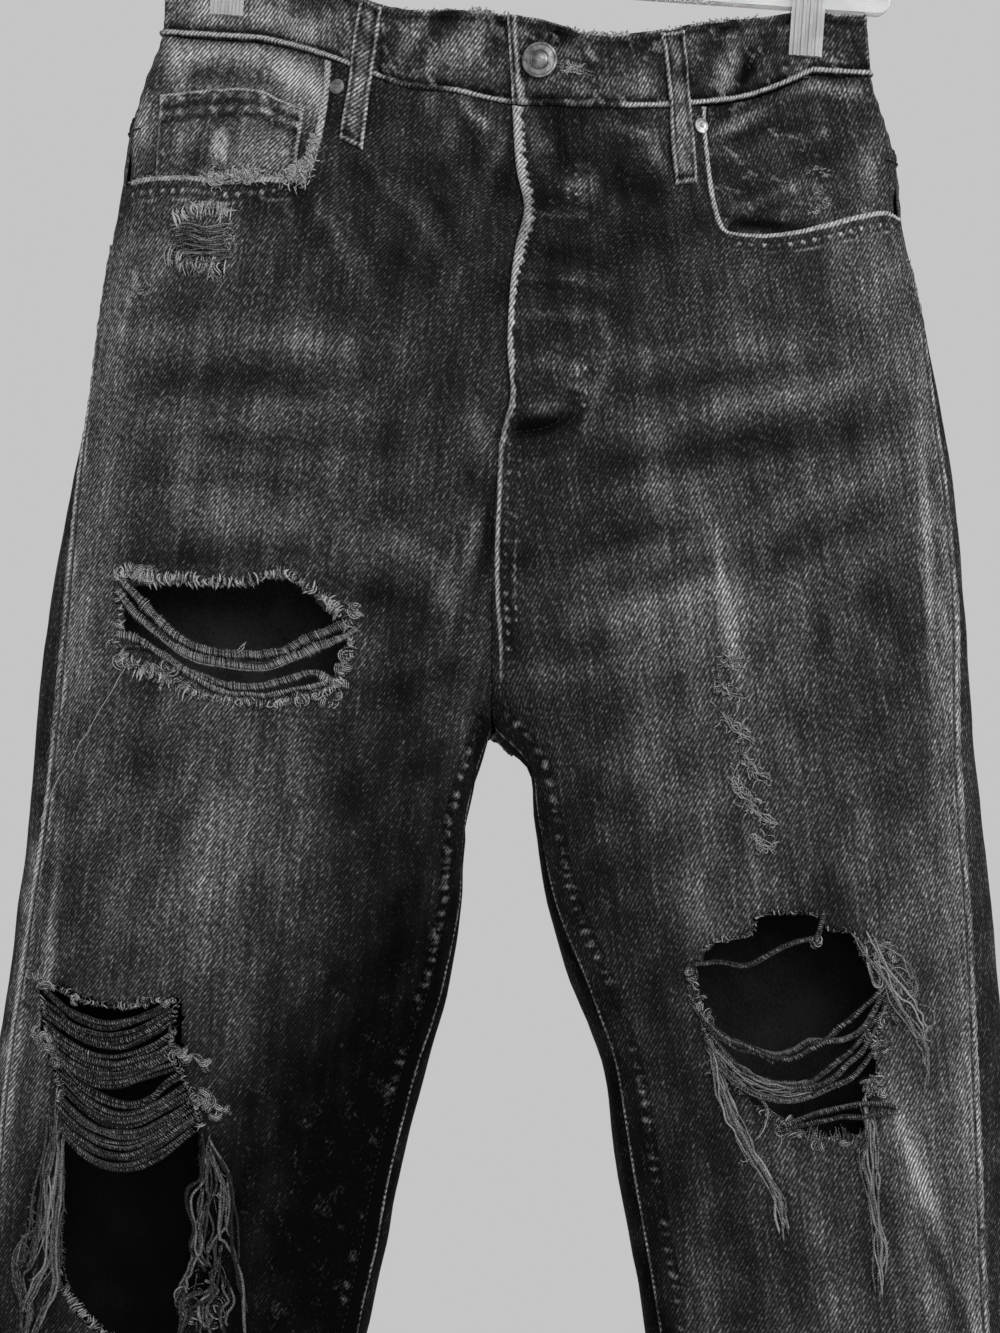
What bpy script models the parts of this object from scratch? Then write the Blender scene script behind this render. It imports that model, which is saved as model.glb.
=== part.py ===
"""Ripped high-rise jeans, clipped by the waistband to a plastic trouser hanger.

Sizes are in millimetres and MM turns them into metres. +X is the wearer's left, -Y is the
front, +Z is up, and the origin is the inside top of the hanger's hook.

The cloth is one closed skin, cut along its seams. A place on the skin has a down value, the
distance below the waistband seam, and a turn, the angle round its leg: 0 at the outer edge,
90 degrees at the middle, 180 at the inner edge. Above the crotch each half of the hips stops
at the centre seam, and the turn of that seam runs from 90 degrees to 180 as the two halves
part into legs.
"""

import math

import bmesh
import bpy
import numpy as np

MM = 0.001
SEAM_GAP = 0.3  # cut pieces stop this far apart
DENIM = 1.2  # one layer of cloth
BAND_CLOTH = 2.2  # the waistband, two layers and its core
LOOP_CLOTH = 1.6
HEM_CLOTH = 2.4
POCKET_CLOTH = 0.9
REST = 0.9  # how far the belt loops' ends lie above the cloth under them

# The skin ---------------------------------------------------------------------------------

SEAM_Z = -118.75  # the waistband seam at the side seams, before the garment hangs askew
CENTRE_X = -8.0  # the crotch lies a little to the wearer's right
CROTCH_DOWN = 328.0
CROTCH_RISE = 120.0  # the height over which the two legs merge into the hips
HEM_DOWN = 1004.0
HEM_HEIGHT = 12.0
BAND_PROUD = 0.8  # the band stands out from the panels below it

# Down, then the outer edge of each leg as a distance from x = 0, the inner edges as x, the
# depths of the front and the back, and how far the seams lie in from the outer edges.
SHAPE_COLUMNS = (
    "down", "outer_right", "outer_left", "inner_right", "inner_left",
    "front", "back", "outseam_right", "outseam_left", "inseam_right", "inseam_left",
)
SHAPE = np.array([
    (-45, 171, 178, -8, -8, 28, 30, 1.0, 1.0, 0, 0),
    (0, 172.5, 181, -8, -8, 30, 34, 1.0, 1.0, 0, 0),
    (25, 182, 189, -8, -8, 34, 40, 1.0, 1.0, 0, 0),
    (45, 188, 194, -8, -8, 37, 44, 1.0, 1.0, 0, 0),
    (75, 193, 196.5, -8, -8, 41, 49, 1.0, 1.0, 0, 0),
    (120, 202, 205.5, -8, -8, 44, 54, 1.0, 1.5, 0, 0),
    (170, 209, 215, -8, -8, 46, 58, 1.5, 5.8, 0, 0),
    (220, 218.5, 223, -8, -8, 46, 58, 5.5, 6.8, 0, 0),
    (270, 228, 227.5, -8, -8, 45, 55, 11.5, 7.6, 0, 0),
    (328, 235, 231.5, -8, -8, 44, 49, 14.0, 12.0, 0, 0),
    (352, 237, 233.5, -14.5, 9.5, 44, 47, 13.5, 14.0, 0.6, 1.0),
    (380, 239, 236.5, -20.5, 13, 43, 46, 12.0, 15.5, 1.0, 2.5),
    (420, 244, 241, -22.8, 18.8, 43, 45, 10.5, 17.0, 1.5, 4.5),
    (460, 249, 244.5, -28.6, 30.3, 42, 44, 9.5, 18.5, 3.0, 8.5),
    (500, 255, 247, -39, 46, 41, 43, 9.5, 19.5, 5.0, 7.0),
    (550, 259.5, 249.5, -52.3, 53.2, 40, 42, 9.0, 20.0, 5.0, 8.0),
    (595, 262.6, 251.2, -61, 61.5, 39, 41, 9.0, 20.0, 5.0, 7.8),
    (638, 266, 253, -70.5, 68.8, 38, 40, 9.0, 19.5, 5.0, 7.5),
    (760, 275, 262, -95, 89.5, 36, 38, 9.0, 18.5, 5.0, 7.0),
    (900, 287, 273, -117, 108, 34, 36, 9.0, 17.0, 5.0, 7.0),
    (1020, 296, 282, -133, 122, 33, 34, 9.0, 16.0, 5.0, 7.0),
], float)

# The waist, held flat at two clips and bulging between them.
TILT = 0.058  # the wearer's left side hangs lower
TILT_REACH = 190.0  # the tilt dies out this far down
FRONT_SAG = 31.0
BACK_SAG = 17.0
SAG_REACH = 150.0
CLIP_X = (-139.0, 149.0)
CLIP_WIDTH = 16.5
PINCH_FLAT = 18.0
PINCH_REACH = 44.0
PINCH_DOWN = 78.0
PINCH_Y = 3.2  # the outer face of the band under a clip, from the middle plane
WAIST_TIP = 6.0  # the radius of the fold at each side of the waist
WAIST_REACH = 120.0  # below this the plan is a plain oval

SADDLE_DROP = 20.0  # the back of the crotch hangs this much lower
SADDLE_WIDTH = 26.0
SADDLE_REACH = 55.0

# Edges of the pieces, as places x and down on the skin ------------------------------------

# The folded edge of the fly, then the centre seam below it.
FLY_COLUMNS = ("down", "x")
FLY_EDGE = (
    (0, 2.8), (36, 4.8), (64, 8.4), (92, 4.2), (130, 1.0), (153, 0.4), (176, 1.6),
    (192, -2.4), (208, -4.2), (226, -6.5), (250, -8.0),
)
FLY_PLACKET = (
    (-30, -6), (38, -6), (38, 160), (36, 176), (30, 187), (20, 193), (6, 196), (-30, 200),
)

POCKET_COLUMNS = ("x", "down")
POCKET_MOUTH_RIGHT = (
    (-89, -6), (-90, 12), (-93, 37), (-96, 52), (-99, 63), (-106, 69), (-122, 72),
    (-138, 73), (-157, 71), (-175, 71), (-186, 72), (-200, 76), (-215, 76), (-215, -6),
)
POCKET_MOUTH_LEFT = (
    (96, -6), (96.5, 12), (98.5, 42), (100.5, 62), (104, 77), (110, 82.5), (129, 86),
    (151, 84.5), (171, 77.5), (186, 73), (194, 75), (197, 81), (220, 84), (220, -6),
)
COIN_POCKET = ((-173, 29), (-135, 24), (-122, 24.5), (-115, 27), (-101, 28), (-105, 82), (-175, 84))

BAND_COLUMNS = ("x", "height")
BAND_FRONT = (
    (-190, 34.5), (-120, 34.5), (-60, 37.5), (-20, 42), (0, 44), (15, 42), (40, 35.5),
    (75, 38.5), (110, 41), (140, 35.5), (158, 31), (195, 31),
)
BAND_BACK = (
    (-190, 34.5), (-120, 34.5), (-60, 37.5), (60, 37.5), (110, 35), (140, 32), (158, 31),
    (195, 31),
)
BAND_END = (-0.6, 2.3)  # x of the upper end, at its top and at the seam
BAND_UNDER_END = 34.0  # x of the end that lies under it

YOKE_CENTRE, YOKE_SIDE = 82.0, 48.0
BACK_POCKET = {"x": 84.0, "top": 96.0, "half": 70.0, "height": 150.0}
BACK_POCKET_CUT = ((-1, 0.04), (1, -0.04), (0.94, 0.84), (0, 1), (-0.94, 0.88))
BUTTON = {"x": 16.0, "down": -21.5, "radius": 8.9}
RIVETS = (("rivet_right", -83.5, 12.8), ("rivet_left", 94.2, 11.0))
RIVET_REST = 0.9

LOOP_COLUMNS = ("name", "face", "x0", "down0", "x1", "down1")
LOOPS = (
    ("belt_loop_front_right", "front", -66.8, -36, -76.8, 41.5),
    ("belt_loop_front_left", "front", 79.7, -37, 86.7, 46),
    ("belt_loop_back_right", "back", -82, -35, -82, 42),
    ("belt_loop_back_centre", "back", -8, -36, -8, 40),
    ("belt_loop_back_left", "back", 84, -35, 84, 42),
)
LOOP_WIDTH = 11.0

# The holes worn through the fronts.
THIGH_HOLE = (
    (-187, 272.5), (-184.5, 265.8), (-162, 264.8), (-144, 266), (-127, 266), (-118, 262.8),
    (-108, 262.3), (-100.5, 266.3), (-93, 272), (-86, 279.5), (-76, 284.5), (-79, 293.5),
    (-81.5, 302), (-85, 309.5), (-95, 314.5), (-111, 320), (-127, 319), (-144, 317),
    (-157.5, 308), (-168, 300.5), (-180, 295.5), (-186.5, 288),
)
RIGHT_KNEE_HOLE = (
    (-229, 463), (-219, 460), (-204, 466), (-183, 469), (-160, 466), (-158, 485),
    (-156, 504), (-151, 524), (-149, 543), (-148, 572), (-151, 607), (-159, 631),
    (-178, 634), (-200, 628), (-210, 618), (-217, 607), (-218, 584), (-217, 554),
    (-218, 521), (-224, 497), (-228, 482),
)
LEFT_KNEE_HOLE = (
    (91, 456), (93, 447.5), (96, 441.5), (103, 437.5), (117, 434.5), (120.5, 426),
    (132, 424), (149, 425.5), (155, 432.5), (166, 434), (172.5, 447.5), (179.5, 461),
    (181.5, 470), (178.5, 479), (175.5, 488), (178, 498), (176.5, 510), (174, 524),
    (169, 531.5), (153, 532.5), (141, 530.5), (134, 524.5), (117, 514), (104, 496),
    (96, 478), (93, 468),
)

# Threads left across the holes, and the frayed tassels that hang at their sides. Each is a
# strap of so many threads: its width, its thickness, how far its ends rest above the cloth
# and its middle stands out from there, and the places that it runs through.
STRAP_COLUMNS = ("name", "width", "thick", "rest", "out", "places")
STRAPS = (
    ("thigh_threads_upper", 9, 1.6, 0.6, 1.0,
     ((-190, 266), (-173, 285), (-150, 300), (-122, 304), (-98, 297), (-72, 285))),
    ("thigh_threads_lower", 7, 1.5, 0.6, -1.0,
     ((-190, 296), (-167, 299), (-140, 313), (-116, 315.5), (-95, 310), (-77, 312))),
    ("right_knee_threads_1", 10, 1.5, 0.6, 1.5,
     ((-233, 468), (-214, 478), (-192, 484), (-172, 479), (-155, 468))),
    ("right_knee_threads_2", 11, 1.5, 0.6, 3.0,
     ((-233, 486), (-215, 497), (-192, 504), (-170, 500), (-151, 489))),
    ("right_knee_threads_3", 11, 1.5, 0.6, 4.5,
     ((-231, 502), (-214, 515), (-190, 522.5), (-169, 519), (-147, 506))),
    ("right_knee_threads_4", 13, 1.6, 0.6, 6.0,
     ((-227, 519), (-211, 533), (-188, 541), (-165, 536), (-145, 521))),
    ("right_knee_tassel_outer", 15, 2.4, 0.6, 4.0,
     ((-224, 534), (-229, 560), (-232, 595), (-234, 628))),
    ("right_knee_tassel_inner", 10, 2.4, 0.6, 5.0,
     ((-146, 534), (-141, 562), (-142, 594), (-148, 628))),
    ("right_knee_tassel_short", 7, 2.0, 0.6, 3.0, ((-134, 560), (-131, 590), (-130, 624))),
    ("left_knee_strand_top", 4, 1.6, 0.6, 1.0,
     ((89, 450), (104, 450), (116, 447.5), (128, 440), (142, 437), (148, 432), (151.5, 423))),
    ("left_knee_threads_1", 7, 1.6, 0.6, 3.0,
     ((90, 467), (112, 484), (131, 494), (146, 490), (165, 478), (184, 456))),
    ("left_knee_threads_2", 8, 1.6, 0.6, 2.0,
     ((95, 479), (108, 503), (128, 512.5), (148, 510), (164, 501), (186, 484))),
    ("left_knee_threads_3", 6, 1.6, 2.6, 2.0, ((127, 528), (146, 521), (168, 517), (187, 517))),
    ("left_knee_tassel_inner", 6, 2.2, 0.6, 4.5,
     ((100, 500), (104.5, 514), (113, 531), (122, 548), (129, 559), (135, 577))),
    ("left_knee_tassel_outer", 8, 2.2, 0.6, 4.5,
     ((188, 462), (196, 472), (203, 486), (205, 508))),
    ("left_knee_tassel_drop", 4, 2.0, 0.6, 4.0,
     ((174, 526), (174, 540), (176.5, 564), (179, 600))),
)

# The hanger: its own upright axis is turned about the hook, so its left end hangs lower --
HANGER_TURN = math.radians(4.05)
BAR_HALF, BAR_DEPTH, BAR_HEIGHT, BAR_DOWN = 196.5, 8.0, 13.0, 78.0
JAW_TOP, JAW_BOTTOM, JAW_THICK = 62.0, 109.0, 2.6
HOOK_INNER, HOOK_WIRE = 17.0, 1.75

# Large soft folds: face, start x and down, end x and down, half width, height.
FOLD_COLUMNS = ("face", "x0", "down0", "x1", "down1", "width", "height")
FOLDS = (
    ("front", 176, 520, 212, 640, 9, 5.0),
    ("front", 212, 640, 190, 800, 14, 6.0),
    ("front", -215, 400, -200, 520, 9, 3.5),
    ("front", 201, 185, 203, 300, 6, 2.5),
    ("front", -150, 690, -205, 800, 14, 5.0),
    ("front", 120, 745, 170, 830, 16, -5.0),
    ("front", -165, 150, -60, 165, 10, -2.5),
    ("front", 70, 195, 175, 215, 10, -2.5),
    ("back", -150, 250, -40, 320, 14, -6.0),
    ("back", 150, 250, 40, 320, 14, -6.0),
    ("back", -190, 620, -110, 655, 16, 5.0),
    ("back", 100, 610, 190, 650, 16, 5.0),
    ("back", -200, 760, -130, 800, 16, -5.0),
    ("back", 120, 780, 190, 815, 16, -5.0),
)


def ease(t):
    """0 below 0, 1 above 1, and a smooth S between."""
    t = np.clip(t, 0.0, 1.0)
    return t * t * (3 - 2 * t)


def read_shape(column, down):
    """A column of SHAPE at any down, on smooth curves through its rows."""
    knots = SHAPE[:, 0]
    values = SHAPE[:, SHAPE_COLUMNS.index(column)]
    slopes = np.gradient(values, knots)
    down = np.clip(down, knots[0], knots[-1])
    i = np.clip(np.searchsorted(knots, down) - 1, 0, len(knots) - 2)
    step = knots[i + 1] - knots[i]
    t = (down - knots[i]) / step
    rise = t * t * (3 - 2 * t)
    lead = t * (1 - t) ** 2 * step
    trail = t * t * (t - 1) * step
    return values[i] * (1 - rise) + values[i + 1] * rise + slopes[i] * lead + slopes[i + 1] * trail


def leg_frame(side, down):
    """Mid x, half width and centre turn of one side's oval at each down. side is -1 or 1."""
    name = "left" if side > 0 else "right"
    outer = side * read_shape("outer_" + name, down)
    inner = np.where(down > CROTCH_DOWN, read_shape("inner_" + name, down), CENTRE_X)
    inner = inner + side * SEAM_GAP / 2
    height = np.clip((CROTCH_DOWN - down) / CROTCH_RISE, 0, 1)
    cosine = -((1 - height) ** 2)
    half = (outer - inner) * side / (1 - cosine)
    middle = outer - side * half
    return middle, half, np.arccos(cosine)


def seam_turns(side, down):
    """The turns, on the front half, of the outseam and of the centre seam or inseam."""
    name = "left" if side > 0 else "right"
    middle, half, centre = leg_frame(side, down)
    outseam = np.arccos(1 - read_shape("outseam_" + name, down) / half)
    inseam = np.arccos(1 - np.maximum(read_shape("inseam_" + name, down), 0) / half)
    return outseam, centre, np.where(down > CROTCH_DOWN, math.pi - inseam, centre)


def pinch(x, down):
    """1 where a clip holds the two layers together, falling to 0 round it."""
    across = sum(1 - ease((abs(x - clip) - PINCH_FLAT) / PINCH_REACH) for clip in CLIP_X)
    return np.clip(across, 0, 1) * (1 - ease((down + 8) / PINCH_DOWN))


def fold_height(face, x, down):
    """The large folds' height above the skin, each a soft ridge along its own line."""
    total = np.zeros(np.broadcast(x, down).shape)
    for row in FOLDS:
        fold = dict(zip(FOLD_COLUMNS, row))
        if fold["face"] != face:
            continue
        along = np.array((fold["x1"] - fold["x0"], fold["down1"] - fold["down0"]), float)
        length = np.hypot(*along)
        along = along / length
        run = ((x - fold["x0"]) * along[0] + (down - fold["down0"]) * along[1]) / length
        off = (x - fold["x0"]) * along[1] - (down - fold["down0"]) * along[0]
        ends = ease(run / 0.3 + 0.3) * ease((1 - run) / 0.3 + 0.3)
        total = total + fold["height"] * ends * np.exp(-((off / fold["width"]) ** 2))
    return total


def skin(side, turn, down):
    """Points of the outer skin. turn is positive on the back and negative on the front."""
    turn, down = np.broadcast_arrays(np.asarray(turn, float), np.asarray(down, float))
    turn = (turn + math.pi) % (2 * math.pi) - math.pi
    middle, half, _ = leg_frame(side, down)
    cosine = np.cos(turn)
    x = middle + side * half * cosine
    blend = ease((down + 10) / WAIST_REACH)
    tip = WAIST_TIP + (half - WAIST_TIP) * blend
    from_edge = half * (1 - cosine)
    rounded = np.sqrt(1 - np.clip(1 - from_edge / tip, 0, 1) ** 2)
    swell = np.where(cosine > 0, rounded, np.abs(np.sin(turn)))
    open_waist = 1 - np.clip(np.abs(x) / 150, 0, 1) ** 2
    waist_front = 7 + 20 * open_waist + 10 * np.exp(-(((x - 45) / 38) ** 2))
    waist_back = 7 + 24 * open_waist
    front = waist_front + (read_shape("front", down) - waist_front) * blend
    back = waist_back + (read_shape("back", down) - waist_back) * blend
    front = front + fold_height("front", x, down) * np.minimum(1, swell * 1.3)
    back = back + fold_height("back", x, down) * np.minimum(1, swell * 1.3)
    held = pinch(x, down)
    depth = np.where(turn > 0, back, front) * swell * (1 - held)
    depth = depth + PINCH_Y * held * np.minimum(1, swell / 0.3)
    y = np.where(turn > 0, depth, -depth)
    climb = 0.82 * ease((x + 128) / 90) + 0.18 * ease((x + 34) / 40)
    sag_shape = climb * (1 - np.clip((x - 37) / 115, 0, 1) ** 2)
    sag = np.where(turn > 0, BACK_SAG, FRONT_SAG) * sag_shape * (1 - ease(down / SAG_REACH))
    z = SEAM_Z - down - sag - TILT * x * (1 - ease(down / TILT_REACH))
    near = np.exp(-(((x - CENTRE_X) / SADDLE_WIDTH) ** 2) - ((down - CROTCH_DOWN) / SADDLE_REACH) ** 2)
    z = z - SADDLE_DROP * near * ease((y + 14) / 40)
    return np.stack([x, y, z], axis=-1)


def skin_normal(side, turn, down):
    """Outward unit normals of the skin, from two small steps across it."""
    step_turn, step_down = 1e-4, 0.05
    turn, down = np.broadcast_arrays(np.asarray(turn, float), np.asarray(down, float))
    across = skin(side, turn + step_turn, down) - skin(side, turn - step_turn, down)
    along = skin(side, turn, down + step_down) - skin(side, turn, down - step_down)
    normal = np.cross(along, across) * side
    return normal / np.maximum(np.linalg.norm(normal, axis=-1, keepdims=True), 1e-12)


def turn_at(side, x, down, face):
    """The turn that has this x at this down. face is 'front' or 'back'."""
    middle, half, _ = leg_frame(side, down)
    turn = np.arccos(np.clip((x - middle) / half * side, -1, 1))
    return turn if face == "back" else -turn


def skin_at(x, down, face, lift=0.0):
    """The skin's point over x and down, moved out by lift, with its normal."""
    x, down = np.broadcast_arrays(np.asarray(x, float), np.asarray(down, float))
    sides = np.where(x > CENTRE_X, 1.0, -1.0)
    if face == "front":
        legs_apart = down > CROTCH_DOWN
        sides = np.where(legs_apart, np.sign(x + 1e-9), sides)
    points, normals = np.zeros(x.shape + (3,)), np.zeros(x.shape + (3,))
    for side in (-1, 1):
        here = sides == side
        if here.any():
            turn = turn_at(side, x[here], down[here], face)
            normals[here] = skin_normal(side, turn, down[here])
            points[here] = skin(side, turn, down[here])
    return points + normals * lift, normals


# Building blocks --------------------------------------------------------------------------


def look(name, colour, roughness, metallic=0.0, clear=0.0):
    """One Principled material. colour is a grey, or red, green and blue, in linear light."""
    rgb = (colour,) * 3 if isinstance(colour, float) else colour
    material = bpy.data.materials.new(name)
    material.use_nodes = True
    shader = material.node_tree.nodes["Principled BSDF"]
    shader.inputs["Base Color"].default_value = (*rgb, 1.0)
    shader.inputs["Roughness"].default_value = roughness
    shader.inputs["Metallic"].default_value = metallic
    shader.inputs["Transmission Weight"].default_value = clear
    material.diffuse_color = (*rgb, 1.0)
    material.roughness = roughness
    material.metallic = metallic
    return material


def add_object(name, points, faces, shade):
    """An object of these points, in millimetres, with its faces turned outwards."""
    mesh = bpy.data.meshes.new(name)
    mesh.from_pydata((np.asarray(points) * MM).tolist(), [], faces)
    shape = bmesh.new()
    shape.from_mesh(mesh)
    bmesh.ops.recalc_face_normals(shape, faces=shape.faces[:])
    if shape.calc_volume(signed=True) < 0:
        bmesh.ops.reverse_faces(shape, faces=shape.faces[:])
    shape.to_mesh(mesh)
    shape.free()
    mesh.shade_smooth()
    mesh.set_sharp_from_angle(angle=math.radians(40))
    obj = bpy.data.objects.new(name, mesh)
    bpy.context.scene.collection.objects.link(obj)
    if shade is not None:
        mesh.materials.append(shade)
    return obj


def wall(name, outer, inner, shade, ring=False):
    """A closed wall between two grids of points. A ring's last column meets its first."""
    rows, cols = outer.shape[:2]
    points = np.concatenate([outer.reshape(-1, 3), inner.reshape(-1, 3)])
    index = np.arange(rows * cols).reshape(rows, cols)
    if ring:
        index = np.concatenate([index, index[:, :1]], axis=1)
    under = index + rows * cols
    faces = []
    for grid, order in ((index, (0, 1, 2)), (under, (0, 2, 1))):
        corners = grid[:-1, :-1], grid[:-1, 1:], grid[1:, 1:], grid[1:, :-1]
        for half in ((0, 1, 2), (0, 2, 3)):
            picked = [corners[half[k]].ravel() for k in order]
            faces += np.stack(picked, axis=-1).tolist()
    edges = [(index[0], under[0]), (index[-1][::-1], under[-1][::-1])]
    if not ring:
        edges += [(index[:, 0][::-1], under[:, 0][::-1]), (index[:, -1], under[:, -1])]
    for a, b in edges:
        faces += np.stack([a[1:], a[:-1], b[:-1], b[1:]], axis=-1).tolist()
    return add_object(name, points, faces, shade)


def smooth_path(places, count):
    """Points along a Catmull-Rom curve through places, evenly numbered between them."""
    places = np.asarray(places, float)
    ends = np.vstack([2 * places[0] - places[1], places, 2 * places[-1] - places[-2]])
    t = np.linspace(0, len(places) - 1, count)
    i = np.minimum(t.astype(int), len(places) - 2)
    t = (t - i)[:, None]
    a, b, c, d = ends[i], ends[i + 1], ends[i + 2], ends[i + 3]
    return 0.5 * (
        2 * b + (c - a) * t + (2 * a - 5 * b + 4 * c - d) * t**2 + (3 * (b - c) + d - a) * t**3
    )


def turned(name, profile, centre, axis, shade, sides=20):
    """A solid turned about an axis: each row of profile is a radius and a height."""
    axis = axis / np.linalg.norm(axis)
    first = np.cross(axis, (0, 0, 1.0))
    first = first / np.linalg.norm(first)
    second = np.cross(axis, first)
    angles = np.linspace(0, 2 * math.pi, sides, endpoint=False)
    spokes = np.cos(angles)[:, None] * first + np.sin(angles)[:, None] * second
    points, faces = [], []
    for radius, height in profile:
        points.append(centre + axis * height + spokes * radius)
    points = np.concatenate(points)
    for k in range(len(profile) - 1):
        for j in range(sides):
            n = (j + 1) % sides
            faces.append((k * sides + j, k * sides + n, (k + 1) * sides + n, (k + 1) * sides + j))
    faces.append(tuple(range(sides)))
    faces.append(tuple(range((len(profile) - 1) * sides, len(profile) * sides)))
    return add_object(name, points, faces, shade)


# The cut ----------------------------------------------------------------------------------


def table_curve(table, value):
    """The second column of a short table, smoothly read at value in its first."""
    table = np.asarray(table, float)
    value = np.clip(value, table[0, 0], table[-1, 0])
    i = np.clip(np.searchsorted(table[:, 0], value) - 1, 0, len(table) - 2)
    slopes = np.gradient(table[:, 1], table[:, 0])
    step = table[i + 1, 0] - table[i, 0]
    t = (value - table[i, 0]) / step
    rise = t * t * (3 - 2 * t)
    lead, trail = t * (1 - t) ** 2 * step, t * t * (t - 1) * step
    return table[i, 1] * (1 - rise) + table[i + 1, 1] * rise + slopes[i] * lead + slopes[i + 1] * trail


def turn_gap(side, turn, down):
    """How much turn is half a seam gap here."""
    step = 1e-3
    run = np.linalg.norm(skin(side, turn + step, down) - skin(side, turn - step, down), axis=-1)
    return SEAM_GAP / 2 / (run / (2 * step))


def front_points(side, share, down, lift):
    """Points of a front panel. share is 0 at the outseam, 1 at the fly, centre or inseam."""
    share, down = np.broadcast_arrays(np.asarray(share, float), np.asarray(down, float))
    middle, half, _ = leg_frame(side, down)
    outseam, _, inner = seam_turns(side, down)
    start = outseam + turn_gap(side, -outseam, down)
    fly = table_curve(FLY_EDGE, down) + side * SEAM_GAP / 2
    fly_turn = np.arccos(np.clip((fly - middle) / half * side, -1, 1))
    stop = np.where(down < FLY_EDGE[-1][0], fly_turn, inner)
    legs = down > CROTCH_DOWN - 1
    stop = np.where(legs, inner - turn_gap(side, -inner, down), stop)
    x = middle + side * half * np.cos(start + (stop - start) * share)
    points, normals = np.zeros(x.shape + (3,)), np.zeros(x.shape + (3,))
    beyond = (down < FLY_EDGE[-1][0]) & ((x - CENTRE_X) * side < 0)
    for here, owner in ((~beyond, side), (beyond, -side)):
        if here.any():
            turn = turn_at(owner, x[here], down[here], "front")
            points[here] = skin(owner, turn, down[here])
            normals[here] = skin_normal(owner, turn, down[here])
    return points + normals * lift


def yoke_down(x):
    """The yoke seam's down, lowest at the centre back."""
    return YOKE_CENTRE + (YOKE_SIDE - YOKE_CENTRE) * np.abs(x - CENTRE_X) / 185


def back_points(side, share, down, lift):
    """Points of a back panel. share is 0 at the outseam, 1 at the centre seam or inseam."""
    share, down = np.broadcast_arrays(np.asarray(share, float), np.asarray(down, float))
    outseam, centre, inner = seam_turns(side, down)
    start = -outseam + turn_gap(side, -outseam, down)
    stop = np.where(down > CROTCH_DOWN, 2 * math.pi - inner, centre)
    stop = np.where(down > CROTCH_DOWN - 1, stop - turn_gap(side, -inner, down), stop)
    turn = start + (stop - start) * share
    return skin(side, turn, down) + skin_normal(side, turn, down) * lift


# The panels' grids. What lies on a panel takes the same shares and downs, so that their
# facets match.
SHARES = np.linspace(0, 1, 12)
LEG_DOWNS = np.concatenate([
    np.linspace(220, 328, 5), (339,), np.linspace(352, 640, 7),
    np.linspace(715, HEM_DOWN - HEM_HEIGHT - SEAM_GAP / 2, 4),
])
HIP_DOWNS = np.linspace(SEAM_GAP / 2, 196, 11)
FRONT_DOWNS = np.concatenate([HIP_DOWNS, LEG_DOWNS])[:, None]


def make_fronts(shades):
    """The two fronts, from the waistband seam to the hem, with mouths and holes cut out."""
    cuts = {
        -1: (POCKET_MOUTH_RIGHT, THIGH_HOLE, RIGHT_KNEE_HOLE),
        1: (POCKET_MOUTH_LEFT, LEFT_KNEE_HOLE),
    }
    for side, name in ((-1, "front_right"), (1, "front_left")):
        panel = wall(
            name, front_points(side, SHARES, FRONT_DOWNS, 0.0),
            front_points(side, SHARES, FRONT_DOWNS, -DENIM), shades[name],
        )
        for number, outline in enumerate(cuts[side]):
            trim(panel, f"{name}_cutter_{number}", outline, "front", "DIFFERENCE")


def trim(piece, name, outline, face, operation):
    """Cut a piece to an outline, or an outline out of it, square to the front."""
    x, down = np.array(outline, float).T
    places, _ = skin_at(x, np.maximum(down, 0), face)
    z = places[:, 2] + np.where(down < 0, 60, 0)
    count = len(x)
    near, far = (20.0, -90.0) if face == "front" else (-20.0, 90.0)
    points = [np.stack([x, np.full(count, y), z], axis=-1) for y in (near, far)]
    faces = [tuple(range(count)), tuple(range(count, 2 * count))]
    faces += [(i, (i + 1) % count, count + (i + 1) % count, count + i) for i in range(count)]
    cutter = add_object(name, np.concatenate(points), faces, None)
    cutter.hide_render = True
    cutter.display_type = "WIRE"
    cut = piece.modifiers.new(name, "BOOLEAN")
    cut.operation = operation
    cut.solver = "EXACT"
    cut.object = cutter


def yoke_seam(side):
    """The yoke seam's down at each share of a back."""
    x = back_points(side, SHARES, np.full(SHARES.shape, 60.0), 0.0)[:, 0]
    return yoke_down(x)


def back_downs(side):
    """The rows of a back panel, from the yoke seam to the hem."""
    seam = yoke_seam(side)
    first, last = seam + SEAM_GAP / 2, HIP_DOWNS[6]
    steps = np.append(first[0], HIP_DOWNS[3:7])[:, None]
    upper = first + (last - first) * (steps - first[0]) / (last - first[0])
    fixed = np.concatenate([HIP_DOWNS[7:], LEG_DOWNS])[:, None]
    return np.concatenate([upper, np.broadcast_to(fixed, (len(fixed), len(SHARES)))])


def make_backs(shades):
    """The two backs and the yokes above them."""
    for side, name in ((-1, "right"), (1, "left")):
        last = yoke_seam(side) - SEAM_GAP / 2
        steps = np.append(HIP_DOWNS[:3], last[0])[:, None] - HIP_DOWNS[0]
        downs = HIP_DOWNS[0] + (last - HIP_DOWNS[0]) * steps / steps[-1]
        wall(
            "yoke_" + name, back_points(side, SHARES, downs, 0.0),
            back_points(side, SHARES, downs, -DENIM), shades["yoke_" + name],
        )
        downs = back_downs(side)
        wall(
            "back_" + name, back_points(side, SHARES, downs, 0.0),
            back_points(side, SHARES, downs, -DENIM), shades["back_" + name],
        )


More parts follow.
